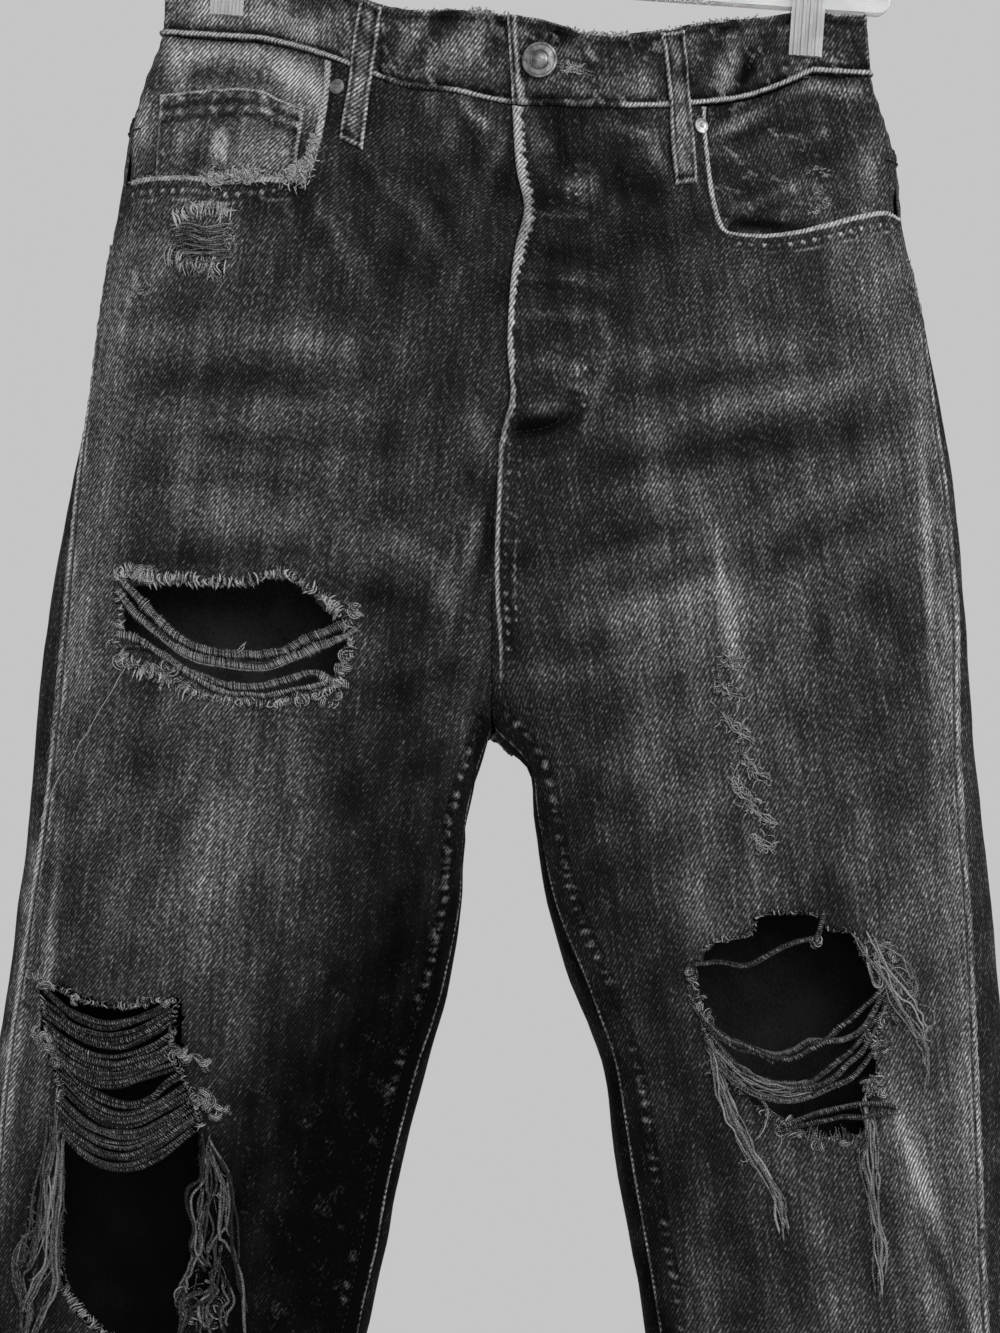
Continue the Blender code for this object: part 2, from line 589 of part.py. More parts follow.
def make_hems(shades):
    """The turned-up hem round each leg opening."""
    turns = np.linspace(0, 2 * math.pi, 24, endpoint=False)
    downs = np.array([HEM_DOWN - HEM_HEIGHT + SEAM_GAP / 2, HEM_DOWN])[:, None]
    for side, name in ((-1, "hem_right"), (1, "hem_left")):
        points, out = skin(side, turns, downs), skin_normal(side, turns, downs)
        wall(name, points + out * 0.5, points + out * (0.5 - HEM_CLOTH), shades[name], ring=True)


def make_band(shades):
    """The waistband, one strip from its upper end at the front round to its lower end."""
    rows = np.array([0.0, 0.5, 1.0])[:, None]
    end = BAND_END[0] + (BAND_END[1] - BAND_END[0]) * rows
    middle, half, _ = leg_frame(1, np.zeros(1))
    outseam, _, _ = seam_turns(1, np.zeros(1))
    first, last = outseam, np.arccos((FLY_EDGE[0][1] - middle) / half)
    over = (np.arccos((end - middle) / half) - first) / (last - first)
    under = (math.acos((BAND_UNDER_END - middle[0]) / half[0]) - first) / (last - first)
    stretches = (
        (1, front_points, np.hstack([over, np.tile(SHARES[::-1], (3, 1))])),
        (1, back_points, np.tile(SHARES, (3, 1))),
        (-1, back_points, np.tile(SHARES[-2::-1], (3, 1))),
        (-1, front_points, np.tile(SHARES, (3, 1))),
        (1, front_points, np.tile(np.append(SHARES[-2], under), (3, 1))),
    )
    outer, inner = [], []
    step = (BAND_CLOTH + SEAM_GAP) / 2
    for number, (side, points, shares) in enumerate(stretches):
        x = points(side, shares, np.full(shares.shape, -18.0), 0.0)[..., 0]
        height = table_curve(BAND_BACK if points is back_points else BAND_FRONT, x)
        down = -height + (height - SEAM_GAP / 2) * rows
        lift = np.full(x.shape, BAND_PROUD)
        if number == 0:
            lift = lift + step * (1 - ease((x - 38) / 30))
        elif number > 2:
            lift = lift - step * ease((x + 48) / 34)
        outer.append(points(side, shares, down, lift[..., None]))
        inner.append(points(side, shares, down, lift[..., None] - BAND_CLOTH))
    wall("waistband", np.concatenate(outer, 1), np.concatenate(inner, 1), shades["waistband"])


def patch(name, face, x, down, lift, thick, shade):
    """A piece of cloth over a grid of places, its outside at lift."""
    top, out = skin_at(x, down, face)
    lift = np.broadcast_to(np.asarray(lift, float), x.shape)[..., None]
    return wall(name, top + out * lift, top + out * (lift - thick), shade)


def make_pockets(shades):
    """The facings behind the front pocket mouths, the coin pocket and the back pockets."""
    deep = -(DENIM + SEAM_GAP + POCKET_CLOTH + SEAM_GAP)
    for side, name in ((-1, "pocket_facing_right"), (1, "pocket_facing_left")):
        shares, downs = SHARES[:9], FRONT_DOWNS[:6]
        wall(
            name, front_points(side, shares, downs, deep),
            front_points(side, shares, downs, deep - POCKET_CLOTH), shades[name],
        )
    coin = wall(
        "coin_pocket", front_points(-1, SHARES[:9], FRONT_DOWNS[:6], deep + SEAM_GAP + POCKET_CLOTH),
        front_points(-1, SHARES[:9], FRONT_DOWNS[:6], deep + SEAM_GAP), shades["coin_pocket"],
    )
    trim(coin, "coin_pocket_outline", COIN_POCKET, "front", "INTERSECT")
    size = BACK_POCKET
    for side, name in ((-1, "back_pocket_right"), (1, "back_pocket_left")):
        downs = back_downs(side)[:12]
        piece = wall(
            name, back_points(side, SHARES, downs, SEAM_GAP + POCKET_CLOTH),
            back_points(side, SHARES, downs, SEAM_GAP), shades[name],
        )
        outline = [
            (CENTRE_X + side * (size["x"] + u * size["half"]), size["top"] + v * size["height"])
            for u, v in BACK_POCKET_CUT
        ]
        trim(piece, name + "_outline", outline, "back", "INTERSECT")


def make_fly(shades):
    """The placket that backs the left front along the fly."""
    piece = wall(
        "fly_placket", front_points(1, SHARES[7:], FRONT_DOWNS[:12], -(DENIM + SEAM_GAP)),
        front_points(1, SHARES[7:], FRONT_DOWNS[:12], -(2 * DENIM + SEAM_GAP)),
        shades["fly_placket"],
    )
    trim(piece, "fly_placket_outline", FLY_PLACKET, "front", "INTERSECT")


def make_loops(shades):
    """The belt loops, tacked to the band above and to the panel below."""
    run = np.linspace(0, 1, 8)[:, None]
    for row in LOOPS:
        loop = dict(zip(LOOP_COLUMNS, row))
        across = np.linspace(-0.5, 0.5, 2) * LOOP_WIDTH
        lean = (loop["x1"] - loop["x0"]) / (loop["down1"] - loop["down0"])
        x = loop["x0"] + (loop["x1"] - loop["x0"]) * run + across
        down = loop["down0"] + (loop["down1"] - loop["down0"]) * run - across * lean
        lift = REST + LOOP_CLOTH + BAND_PROUD * (1 - ease((down - 1) / 9))
        lift = lift + 1.6 * np.sin(math.pi * run) ** 0.7
        patch(loop["name"], loop["face"], x, down, lift, LOOP_CLOTH, shades[loop["name"]])


def make_straps(shades):
    """The loose threads: straps across the holes, resting on the cloth at their ends."""
    for row in STRAPS:
        strap = dict(zip(STRAP_COLUMNS, row))
        path = smooth_path(strap["places"], 2 * len(strap["places"]) - 1)
        away = np.gradient(path, axis=0)
        away = away / np.linalg.norm(away, axis=1, keepdims=True)
        run = np.linspace(0, 1, len(path))[:, None]
        width = strap["width"] * (0.6 + 0.4 * np.sin(math.pi * np.clip(run, 0.08, 0.92)))
        across = np.array([-0.5, 0.5]) * width
        x = path[:, :1] - away[:, 1:] * across
        down = path[:, 1:] + away[:, :1] * across
        lift = strap["rest"] + strap["thick"] + strap["out"] * np.sin(math.pi * run) ** 0.8
        patch(strap["name"], "front", x, down, lift + 0 * x, strap["thick"], shades[strap["name"]])


def make_studs(shades):
    """The shank button's head and the pocket rivets."""
    centre, out = skin_at(np.array(BUTTON["x"]), np.array(BUTTON["down"]), "front")
    r = BUTTON["radius"]
    base = BAND_PROUD + (BAND_CLOTH + SEAM_GAP) / 2 + SEAM_GAP
    turned("waist_button", (
        (r * 0.62, base), (r * 0.95, base + 0.5), (r, base + 1.1), (r * 0.96, base + 1.8),
        (r * 0.86, base + 1.9), (r * 0.80, base + 1.5), (r * 0.56, base + 1.7),
        (r * 0.50, base + 2.3), (r * 0.44, base + 1.9), (r * 0.32, base + 2.3),
        (r * 0.14, base + 2.6),
    ), centre, out, shades["waist_button"], sides=28)
    for name, x, down in RIVETS:
        centre, out = skin_at(np.array(x), np.array(down), "front")
        turned(name, (
            (3.4, RIVET_REST), (4.0, RIVET_REST + 0.4), (3.7, RIVET_REST + 0.9),
            (2.4, RIVET_REST + 1.2), (1.2, RIVET_REST + 1.3), (0.9, RIVET_REST + 1.7),
        ), centre, out, shades[name], sides=16)


# The hanger -------------------------------------------------------------------------------


def hang(u, y, w):
    """A place on the hanger: u along its bar, w down from the crook of its hook."""
    u, y, w = np.broadcast_arrays(*(np.asarray(v, float) for v in (u, y, w)))
    cosine, sine = math.cos(HANGER_TURN), math.sin(HANGER_TURN)
    return np.stack([u * cosine - w * sine, y, -u * sine - w * cosine], axis=-1)


def clip_u(x):
    """Where along the bar a clip at x sits, at the height of the waistband."""
    return (x + 92 * math.sin(HANGER_TURN)) / math.cos(HANGER_TURN)


def extrude(name, loop, place, ends, shade):
    """A prism: loop's points, as pairs, placed at each of the ends by place."""
    loop = np.asarray(loop, float)
    count = len(loop)
    points = np.concatenate([place(loop[:, 0], loop[:, 1], end) for end in ends])
    faces = [tuple(range(count)), tuple(range((len(ends) - 1) * count, len(ends) * count))]
    for k in range(len(ends) - 1):
        for i in range(count):
            n = (i + 1) % count
            faces.append((k * count + i, k * count + n, (k + 1) * count + n, (k + 1) * count + i))
    return add_object(name, points, faces, shade)


def rounded_box(half_a, half_b, radius, steps=3):
    """A rectangle's outline with round corners."""
    corners = []
    for index, (a, b) in enumerate(((1, 1), (-1, 1), (-1, -1), (1, -1))):
        for k in range(steps + 1):
            angle = math.pi / 2 * (index + k / steps)
            corners.append((
                a * (half_a - radius) + radius * math.cos(angle),
                b * (half_b - radius) + radius * math.sin(angle),
            ))
    return corners


def make_hanger(shades):
    """The bar, the hook in its collar, and a spring clip at each side of the waist."""
    extrude(
        "hanger_bar", rounded_box(BAR_HALF, BAR_HEIGHT / 2, 5.5, 4),
        lambda a, b, y: hang(a, y, b + BAR_DOWN), (-BAR_DEPTH / 2, BAR_DEPTH / 2),
        shades["hanger_bar"],
    )
    top = BAR_DOWN - BAR_HEIGHT / 2
    axis = hang(0, 0, -1.0)
    turned("hook_collar", ((6, SEAM_GAP), (6, 6), (4, 9), (2.6, 9)), hang(0, 0, top), axis,
           shades["hook_collar"], sides=20)
    radius = HOOK_INNER + HOOK_WIRE
    centre = np.array([0.0, HOOK_INNER])
    start = np.array([0.0, top - 9 - SEAM_GAP])
    join = math.radians(-58)
    first = centre + radius * np.array([math.cos(join), -math.sin(join)])
    t = np.linspace(0, 1, 12)[:, None]
    bend = np.array([0.0, start[1] - 14]), first + 9 * np.array([math.sin(join), math.cos(join)])
    lead = (1 - t) ** 3 * start + 3 * (1 - t) ** 2 * t * bend[0] + 3 * (1 - t) * t**2 * bend[1]
    lead = lead + t**3 * first
    arc = np.linspace(join, math.radians(202), 26)[1:, None]
    crook = centre + radius * np.concatenate([np.cos(arc), -np.sin(arc)], axis=1)
    path = np.concatenate([lead, crook])
    ahead = np.gradient(path, axis=0)
    ahead = ahead / np.linalg.norm(ahead, axis=1, keepdims=True)
    angles = np.linspace(0, 2 * math.pi, 10, endpoint=False)
    u = path[:, :1] - ahead[:, 1:] * HOOK_WIRE * np.cos(angles)
    w = path[:, 1:] + ahead[:, :1] * HOOK_WIRE * np.cos(angles)
    points = hang(u, HOOK_WIRE * np.sin(angles) + 0 * u, w).reshape(-1, 3)
    count, sides = len(path), len(angles)
    faces = [tuple(range(sides)), tuple(range((count - 1) * sides, count * sides))]
    for k in range(count - 1):
        for j in range(sides):
            n = (j + 1) % sides
            faces.append((k * sides + j, k * sides + n, (k + 1) * sides + n, (k + 1) * sides + j))
    add_object("hanger_hook", points, faces, shades["hanger_hook"])

    near = PINCH_Y + BAND_PROUD + SEAM_GAP
    half = CLIP_WIDTH / 2
    ribs = [(-half, near), (-half, near + JAW_THICK - 0.5)]
    for middle in (-5.4, -1.8, 1.8, 5.4):
        ribs += [
            (middle - 1.2, near + JAW_THICK - 0.5), (middle - 0.8, near + JAW_THICK + 0.3),
            (middle + 0.8, near + JAW_THICK + 0.3), (middle + 1.2, near + JAW_THICK - 0.5),
        ]
    ribs += [(half, near + JAW_THICK - 0.5), (half, near)]
    for x, name in zip(CLIP_X, ("right", "left")):
        u0 = clip_u(x)
        for sign, face in ((-1, "front"), (1, "back")):
            extrude(
                f"clip_{name}_jaw_{face}", ribs,
                lambda a, b, w, s=sign: hang(u0 + a, s * b, w), (JAW_TOP, JAW_BOTTOM),
                shades[f"clip_{name}_jaw_{face}"],
            )
        outer = near + JAW_THICK + 0.3 + SEAM_GAP
        angles = np.linspace(0, math.pi, 13)
        arch = [(outer + 0.9, JAW_TOP + 14)]
        arch += [((outer + 0.9) * math.cos(a), JAW_TOP - 2 - 5 * math.sin(a)) for a in angles]
        arch += [(-outer - 0.9, JAW_TOP + 14), (-outer, JAW_TOP + 14)]
        arch += [(-outer * math.cos(a), JAW_TOP - 2 - 4.1 * math.sin(a)) for a in angles]
        arch += [(outer, JAW_TOP + 14)]
        extrude(
            f"clip_{name}_spring", arch, lambda a, b, u: hang(u0 + u, a, b), (-4.5, 4.5),
            shades[f"clip_{name}_spring"],
        )


def main():
    for obj in list(bpy.data.objects):
        bpy.data.objects.remove(obj, do_unlink=True)
    shades = {}
    greys = {
        "front_right": 0.050, "front_left": 0.046, "back_right": 0.040, "back_left": 0.042,
        "yoke_right": 0.038, "yoke_left": 0.044, "waistband": 0.034, "fly_placket": 0.030,
        "pocket_facing_right": 0.044, "pocket_facing_left": 0.036, "coin_pocket": 0.054,
        "back_pocket_right": 0.046, "back_pocket_left": 0.048, "hem_right": 0.034,
        "hem_left": 0.036,
    }
    for name, grey in greys.items():
        shades[name] = look(name, grey, 0.9)
    for number, row in enumerate(LOOPS):
        shades[row[0]] = look(row[0], 0.050 + 0.003 * number, 0.9)
    for number, row in enumerate(STRAPS):
        shades[row[0]] = look(row[0], 0.090 + 0.004 * number, 0.95)
    shades["waist_button"] = look("waist_button", 0.20, 0.38, 1.0)
    for name, _, _ in RIVETS:
        shades[name] = look(name, 0.42, 0.40, 1.0)
    shades["hanger_bar"] = look("hanger_bar", 0.80, 0.10, clear=0.9)
    shades["hook_collar"] = look("hook_collar", 0.78, 0.12, clear=0.9)
    shades["hanger_hook"] = look("hanger_hook", 0.60, 0.22, 1.0)
    for side in ("right", "left"):
        for face in ("front", "back"):
            name = f"clip_{side}_jaw_{face}"
            shades[name] = look(name, 0.79, 0.12, clear=0.9)
        shades[f"clip_{side}_spring"] = look(f"clip_{side}_spring", 0.58, 0.25, 1.0)
    make_fronts(shades)
    make_backs(shades)
    make_hems(shades)
    make_band(shades)
    make_pockets(shades)
    make_fly(shades)
    make_loops(shades)
    make_straps(shades)
    make_studs(shades)
    make_hanger(shades)


if __name__ == "__main__":
    main()
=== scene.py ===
"""Ripped high-rise jeans on a clip hanger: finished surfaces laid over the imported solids.

Lengths inside the functions are millimetres, and MM turns them into metres. +X is the
wearer's left, -Y is the front, +Z is up, and the origin is the top of the hanger's hook.

A place on the cloth is a side (-1 or 1), a turn round that leg and a down value below the
waistband seam, as in the solids. Its grain coordinates are u, the distance across the cloth
from the grain line, and v, which is down.
"""

import math

import bpy
import numpy as np
from bpy.props import FloatProperty, FloatVectorProperty, PointerProperty
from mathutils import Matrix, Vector


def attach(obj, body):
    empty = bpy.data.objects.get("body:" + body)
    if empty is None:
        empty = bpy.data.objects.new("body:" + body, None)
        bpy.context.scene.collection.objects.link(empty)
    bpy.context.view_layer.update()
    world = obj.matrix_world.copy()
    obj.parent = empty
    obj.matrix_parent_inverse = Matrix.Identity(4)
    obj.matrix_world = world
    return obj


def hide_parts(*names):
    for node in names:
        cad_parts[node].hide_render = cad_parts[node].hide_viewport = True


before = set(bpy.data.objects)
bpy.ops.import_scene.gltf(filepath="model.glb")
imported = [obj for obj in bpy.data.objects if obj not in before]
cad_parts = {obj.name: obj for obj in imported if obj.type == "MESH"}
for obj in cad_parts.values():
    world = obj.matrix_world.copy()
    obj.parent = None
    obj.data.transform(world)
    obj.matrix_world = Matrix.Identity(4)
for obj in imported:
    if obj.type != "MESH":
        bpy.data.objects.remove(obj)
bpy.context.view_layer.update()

bl_info = {
    "name": "Ripped jeans on a clip hanger",
    "version": (1, 0, 0),
    "blender": (4, 5, 0),
    "location": "3D View > Sidebar > Jeans",
    "description": "Worn denim, torn holes, seams, trims and hanger over the jeans' solids",
    "category": "Add Mesh",
}

MM = 0.001
SEAM_GAP = 0.3
HALF_GAP = SEAM_GAP / 2
BAND_CLOTH = 2.2
POCKET_CLOTH = 0.9
BAND_PROUD = 0.8
SEAM_Z = -118.75
CENTRE_X = -8.0
CROTCH_DOWN = 328.0
CROTCH_RISE = 120.0
HEM_DOWN = 1004.0
HEM_HEIGHT = 12.0
PANEL_END = HEM_DOWN - HEM_HEIGHT - HALF_GAP

# Down, the outer edges as distances from x = 0, the inner edges as x, the depths of front
# and back, and how far the seams lie in from the outer edges.
SHAPE_COLUMNS = (
    "down", "outer_right", "outer_left", "inner_right", "inner_left",
    "front", "back", "outseam_right", "outseam_left", "inseam_right", "inseam_left",
)
SHAPE = np.array([
    (-45, 171, 178, -8, -8, 28, 30, 1.0, 1.0, 0, 0),
    (0, 172.5, 181, -8, -8, 30, 34, 1.0, 1.0, 0, 0),
    (25, 182, 189, -8, -8, 34, 40, 1.0, 1.0, 0, 0),
    (45, 188, 194, -8, -8, 37, 44, 1.0, 1.0, 0, 0),
    (75, 193, 196.5, -8, -8, 41, 49, 1.0, 1.0, 0, 0),
    (120, 202, 205.5, -8, -8, 44, 54, 1.0, 1.5, 0, 0),
    (170, 209, 215, -8, -8, 46, 58, 1.5, 5.8, 0, 0),
    (220, 218.5, 223, -8, -8, 46, 58, 5.5, 6.8, 0, 0),
    (270, 228, 227.5, -8, -8, 45, 55, 11.5, 7.6, 0, 0),
    (328, 235, 231.5, -8, -8, 44, 49, 14.0, 12.0, 0, 0),
    (352, 237, 233.5, -14.5, 9.5, 44, 47, 13.5, 14.0, 0.6, 1.0),
    (380, 239, 236.5, -20.5, 13, 43, 46, 12.0, 15.5, 1.0, 2.5),
    (420, 244, 241, -22.8, 18.8, 43, 45, 10.5, 17.0, 1.5, 4.5),
    (460, 249, 244.5, -28.6, 30.3, 42, 44, 9.5, 18.5, 3.0, 8.5),
    (500, 255, 247, -39, 46, 41, 43, 9.5, 19.5, 5.0, 7.0),
    (550, 259.5, 249.5, -52.3, 53.2, 40, 42, 9.0, 20.0, 5.0, 8.0),
    (595, 262.6, 251.2, -61, 61.5, 39, 41, 9.0, 20.0, 5.0, 7.8),
    (638, 266, 253, -70.5, 68.8, 38, 40, 9.0, 19.5, 5.0, 7.5),
    (760, 275, 262, -95, 89.5, 36, 38, 9.0, 18.5, 5.0, 7.0),
    (900, 287, 273, -117, 108, 34, 36, 9.0, 17.0, 5.0, 7.0),
    (1020, 296, 282, -133, 122, 33, 34, 9.0, 16.0, 5.0, 7.0),
], float)

TILT = 0.058
TILT_REACH = 190.0

# The waist sags between the clips, climbing in steps (share, x where it starts, width) to
# SAG_X and ending SAG_WIDTH past it.
FRONT_SAG = 31.0
BACK_SAG = 17.0
SAG_REACH = 150.0
SAG_STEPS = ((0.82, -128.0, 90.0), (0.18, -34.0, 40.0))
SAG_X = 37.0
SAG_WIDTH = 115.0

# The clips hold both layers together, fully over PINCH_FLAT and fading over PINCH_REACH.
CLIP_X = (-139.0, 149.0)
PINCH_FLAT = 18.0
PINCH_REACH = 44.0
PINCH_START = -8.0
PINCH_DOWN = 78.0
PINCH_Y = 3.2

# The open waist: its depths at the sides, and in front and behind at its middle, and a bulge
# in front (height, x, half width). It goes over into the hips from WAIST_START down.
WAIST_TIP = 6.0
WAIST_START = -10.0
WAIST_REACH = 120.0
WAIST_HALF = 150.0
WAIST_SIDE = 7.0
WAIST_FRONT = 20.0
WAIST_BACK = 24.0
WAIST_BULGE = (10.0, 45.0, 38.0)

# Between the legs the skin drops into a saddle, more behind SADDLE_FRONT than before it.
SADDLE_DROP = 20.0
SADDLE_WIDTH = 26.0
SADDLE_REACH = 55.0
SADDLE_FRONT = -14.0
SADDLE_DEPTH = 40.0

# Edges of the pieces, as places x and down on the skin ------------------------------------

# The folded edge of the fly, then the centre seam below it: down, x.
FLY_EDGE = (
    (0, 2.8), (36, 4.8), (64, 8.4), (92, 4.2), (130, 1.0), (153, 0.4), (176, 1.6),
    (192, -2.4), (208, -4.2), (226, -6.5), (250, -8.0),
)
FLY_END = FLY_EDGE[-1][0]

# The front pockets' mouths: x, down. The last two places close the cut above the panel.
POCKET_MOUTH_RIGHT = (
    (-89, -6), (-90, 12), (-93, 37), (-96, 52), (-99, 63), (-106, 69), (-122, 72),
    (-138, 73), (-157, 71), (-175, 71), (-186, 72), (-200, 76), (-215, 76), (-215, -6),
)
POCKET_MOUTH_LEFT = (
    (96, -6), (96.5, 12), (98.5, 42), (100.5, 62), (104, 77), (110, 82.5), (129, 86),
    (151, 84.5), (171, 77.5), (186, 73), (194, 75), (197, 81), (220, 84), (220, -6),
)

# The waistband's height over its seam, in front and behind: x, height.
BAND_FRONT = (
    (-190, 34.5), (-120, 34.5), (-60, 37.5), (-20, 42), (0, 44), (15, 42), (40, 35.5),
    (75, 38.5), (110, 41), (140, 35.5), (158, 31), (195, 31),
)
BAND_BACK = (
    (-190, 34.5), (-120, 34.5), (-60, 37.5), (60, 37.5), (110, 35), (140, 32), (158, 31),
    (195, 31),
)
BAND_END = (-0.6, 2.3)  # x of the upper end, at its top and at the seam
BAND_UNDER_END = 34.0  # x of the end that lies under it

# The yoke seam's down at the centre and at the sides, and the width between them.
YOKE_CENTRE, YOKE_SIDE, YOKE_WIDTH = 82.0, 48.0, 185.0
YOKE_MIDDLE = 60.0
BACK_POCKET = {"x": 84.0, "top": 96.0, "half": 70.0, "height": 150.0}

LOOP_COLUMNS = ("name", "face", "x0", "down0", "x1", "down1")
LOOPS = (
    ("belt_loop_front_right", "front", -66.8, -36, -76.8, 41.5),
    ("belt_loop_front_left", "front", 79.7, -37, 86.7, 46),
    ("belt_loop_back_right", "back", -82, -35, -82, 42),
    ("belt_loop_back_centre", "back", -8, -36, -8, 40),
    ("belt_loop_back_left", "back", 84, -35, 84, 42),
)

# The holes worn through the fronts: x, down.
THIGH_HOLE = (
    (-187, 272.5), (-184.5, 265.8), (-162, 264.8), (-144, 266), (-127, 266), (-118, 262.8),
    (-108, 262.3), (-100.5, 266.3), (-93, 272), (-86, 279.5), (-76, 284.5), (-79, 293.5),
    (-81.5, 302), (-85, 309.5), (-95, 314.5), (-111, 320), (-127, 319), (-144, 317),
    (-157.5, 308), (-168, 300.5), (-180, 295.5), (-186.5, 288),
)
RIGHT_KNEE_HOLE = (
    (-229, 463), (-219, 460), (-204, 466), (-183, 469), (-160, 466), (-158, 485),
    (-156, 504), (-151, 524), (-149, 543), (-148, 572), (-151, 607), (-159, 631),
    (-178, 634), (-200, 628), (-210, 618), (-217, 607), (-218, 584), (-217, 554),
    (-218, 521), (-224, 497), (-228, 482),
)
LEFT_KNEE_HOLE = (
    (91, 456), (93, 447.5), (96, 441.5), (103, 437.5), (117, 434.5), (120.5, 426),
    (132, 424), (149, 425.5), (155, 432.5), (166, 434), (172.5, 447.5), (179.5, 461),
    (181.5, 470), (178.5, 479), (175.5, 488), (178, 498), (176.5, 510), (174, 524),
    (169, 531.5), (153, 532.5), (141, 530.5), (134, 524.5), (117, 514), (104, 496),
    (96, 478), (93, 468),
)

# Large soft folds: face, start x and down, end x and down, half width, height.
FOLD_COLUMNS = ("face", "x0", "down0", "x1", "down1", "width", "height")
FOLDS = (
    ("front", 176, 520, 212, 640, 9, 5.0),
    ("front", 212, 640, 190, 800, 14, 6.0),
    ("front", -215, 400, -200, 520, 9, 3.5),
    ("front", 201, 185, 203, 300, 6, 2.5),
    ("front", -150, 690, -205, 800, 14, 5.0),
    ("front", 120, 745, 170, 830, 16, -5.0),
    ("front", -165, 150, -60, 165, 10, -2.5),
    ("front", 70, 195, 175, 215, 10, -2.5),
    ("back", -150, 250, -40, 320, 14, -6.0),
    ("back", 150, 250, 40, 320, 14, -6.0),
    ("back", -190, 620, -110, 655, 16, 5.0),
    ("back", 100, 610, 190, 650, 16, 5.0),
    ("back", -200, 760, -130, 800, 16, -5.0),
    ("back", 120, 780, 190, 815, 16, -5.0),
)


# The skin --------------------------------------------------------------------------------


def ease(t):
    """0 below 0, 1 above 1, and a smooth S between."""
    t = np.clip(t, 0.0, 1.0)
    return t * t * (3 - 2 * t)


def bell(value, middle, width):
    """1 at the middle, falling away over the width on both sides."""
    return np.exp(-(((value - middle) / width) ** 2))


def smooth_read(knots, values, at):
    """The values that stand at the knots, read anywhere by smooth cubics between them."""
    slopes = np.gradient(values, knots)
    at = np.clip(at, knots[0], knots[-1])
    i = np.clip(np.searchsorted(knots, at) - 1, 0, len(knots) - 2)
    step = knots[i + 1] - knots[i]
    t = (at - knots[i]) / step
    rise = t * t * (3 - 2 * t)
    lead, trail = t * (1 - t) ** 2 * step, t * t * (t - 1) * step
    return values[i] * (1 - rise) + values[i + 1] * rise + slopes[i] * lead + slopes[i + 1] * trail


def read_shape(column, down):
    """A column of SHAPE at any down."""
    return smooth_read(SHAPE[:, 0], SHAPE[:, SHAPE_COLUMNS.index(column)], down)


def leg_frame(side, down):
    """Mid x, half width and centre turn of one side's oval at each down. side is -1 or 1."""
    name = "left" if side > 0 else "right"
    outer = side * read_shape("outer_" + name, down)
    inner = np.where(down > CROTCH_DOWN, read_shape("inner_" + name, down), CENTRE_X)
    inner = inner + side * SEAM_GAP / 2
    height = np.clip((CROTCH_DOWN - down) / CROTCH_RISE, 0, 1)
    cosine = -((1 - height) ** 2)
    half = (outer - inner) * side / (1 - cosine)
    middle = outer - side * half
    return middle, half, np.arccos(cosine)


def seam_turns(side, down):
    """The turns, on the front half, of the outseam and of the centre seam or inseam."""
    name = "left" if side > 0 else "right"
    _, half, centre = leg_frame(side, down)
    outseam = np.arccos(1 - read_shape("outseam_" + name, down) / half)
    inseam = np.arccos(1 - np.maximum(read_shape("inseam_" + name, down), 0) / half)
    return outseam, centre, np.where(down > CROTCH_DOWN, math.pi - inseam, centre)


def pinch(x, down):
    """1 where a clip holds the two layers together, falling to 0 round it."""
    across = sum(1 - ease((abs(x - clip) - PINCH_FLAT) / PINCH_REACH) for clip in CLIP_X)
    return np.clip(across, 0, 1) * (1 - ease((down - PINCH_START) / PINCH_DOWN))


def fold_height(face, x, down):
    """The large folds' height above the skin, each a soft ridge along its own line."""
    total = np.zeros(np.broadcast(x, down).shape)
    for row in FOLDS:
        fold = dict(zip(FOLD_COLUMNS, row))
        if fold["face"] != face:
            continue
        along = np.array((fold["x1"] - fold["x0"], fold["down1"] - fold["down0"]), float)
        length = np.hypot(*along)
        along = along / length
        run = ((x - fold["x0"]) * along[0] + (down - fold["down0"]) * along[1]) / length
        off = (x - fold["x0"]) * along[1] - (down - fold["down0"]) * along[0]
        ends = ease(run / 0.3 + 0.3) * ease((1 - run) / 0.3 + 0.3)
        total = total + fold["height"] * ends * bell(off, 0, fold["width"])
    return total


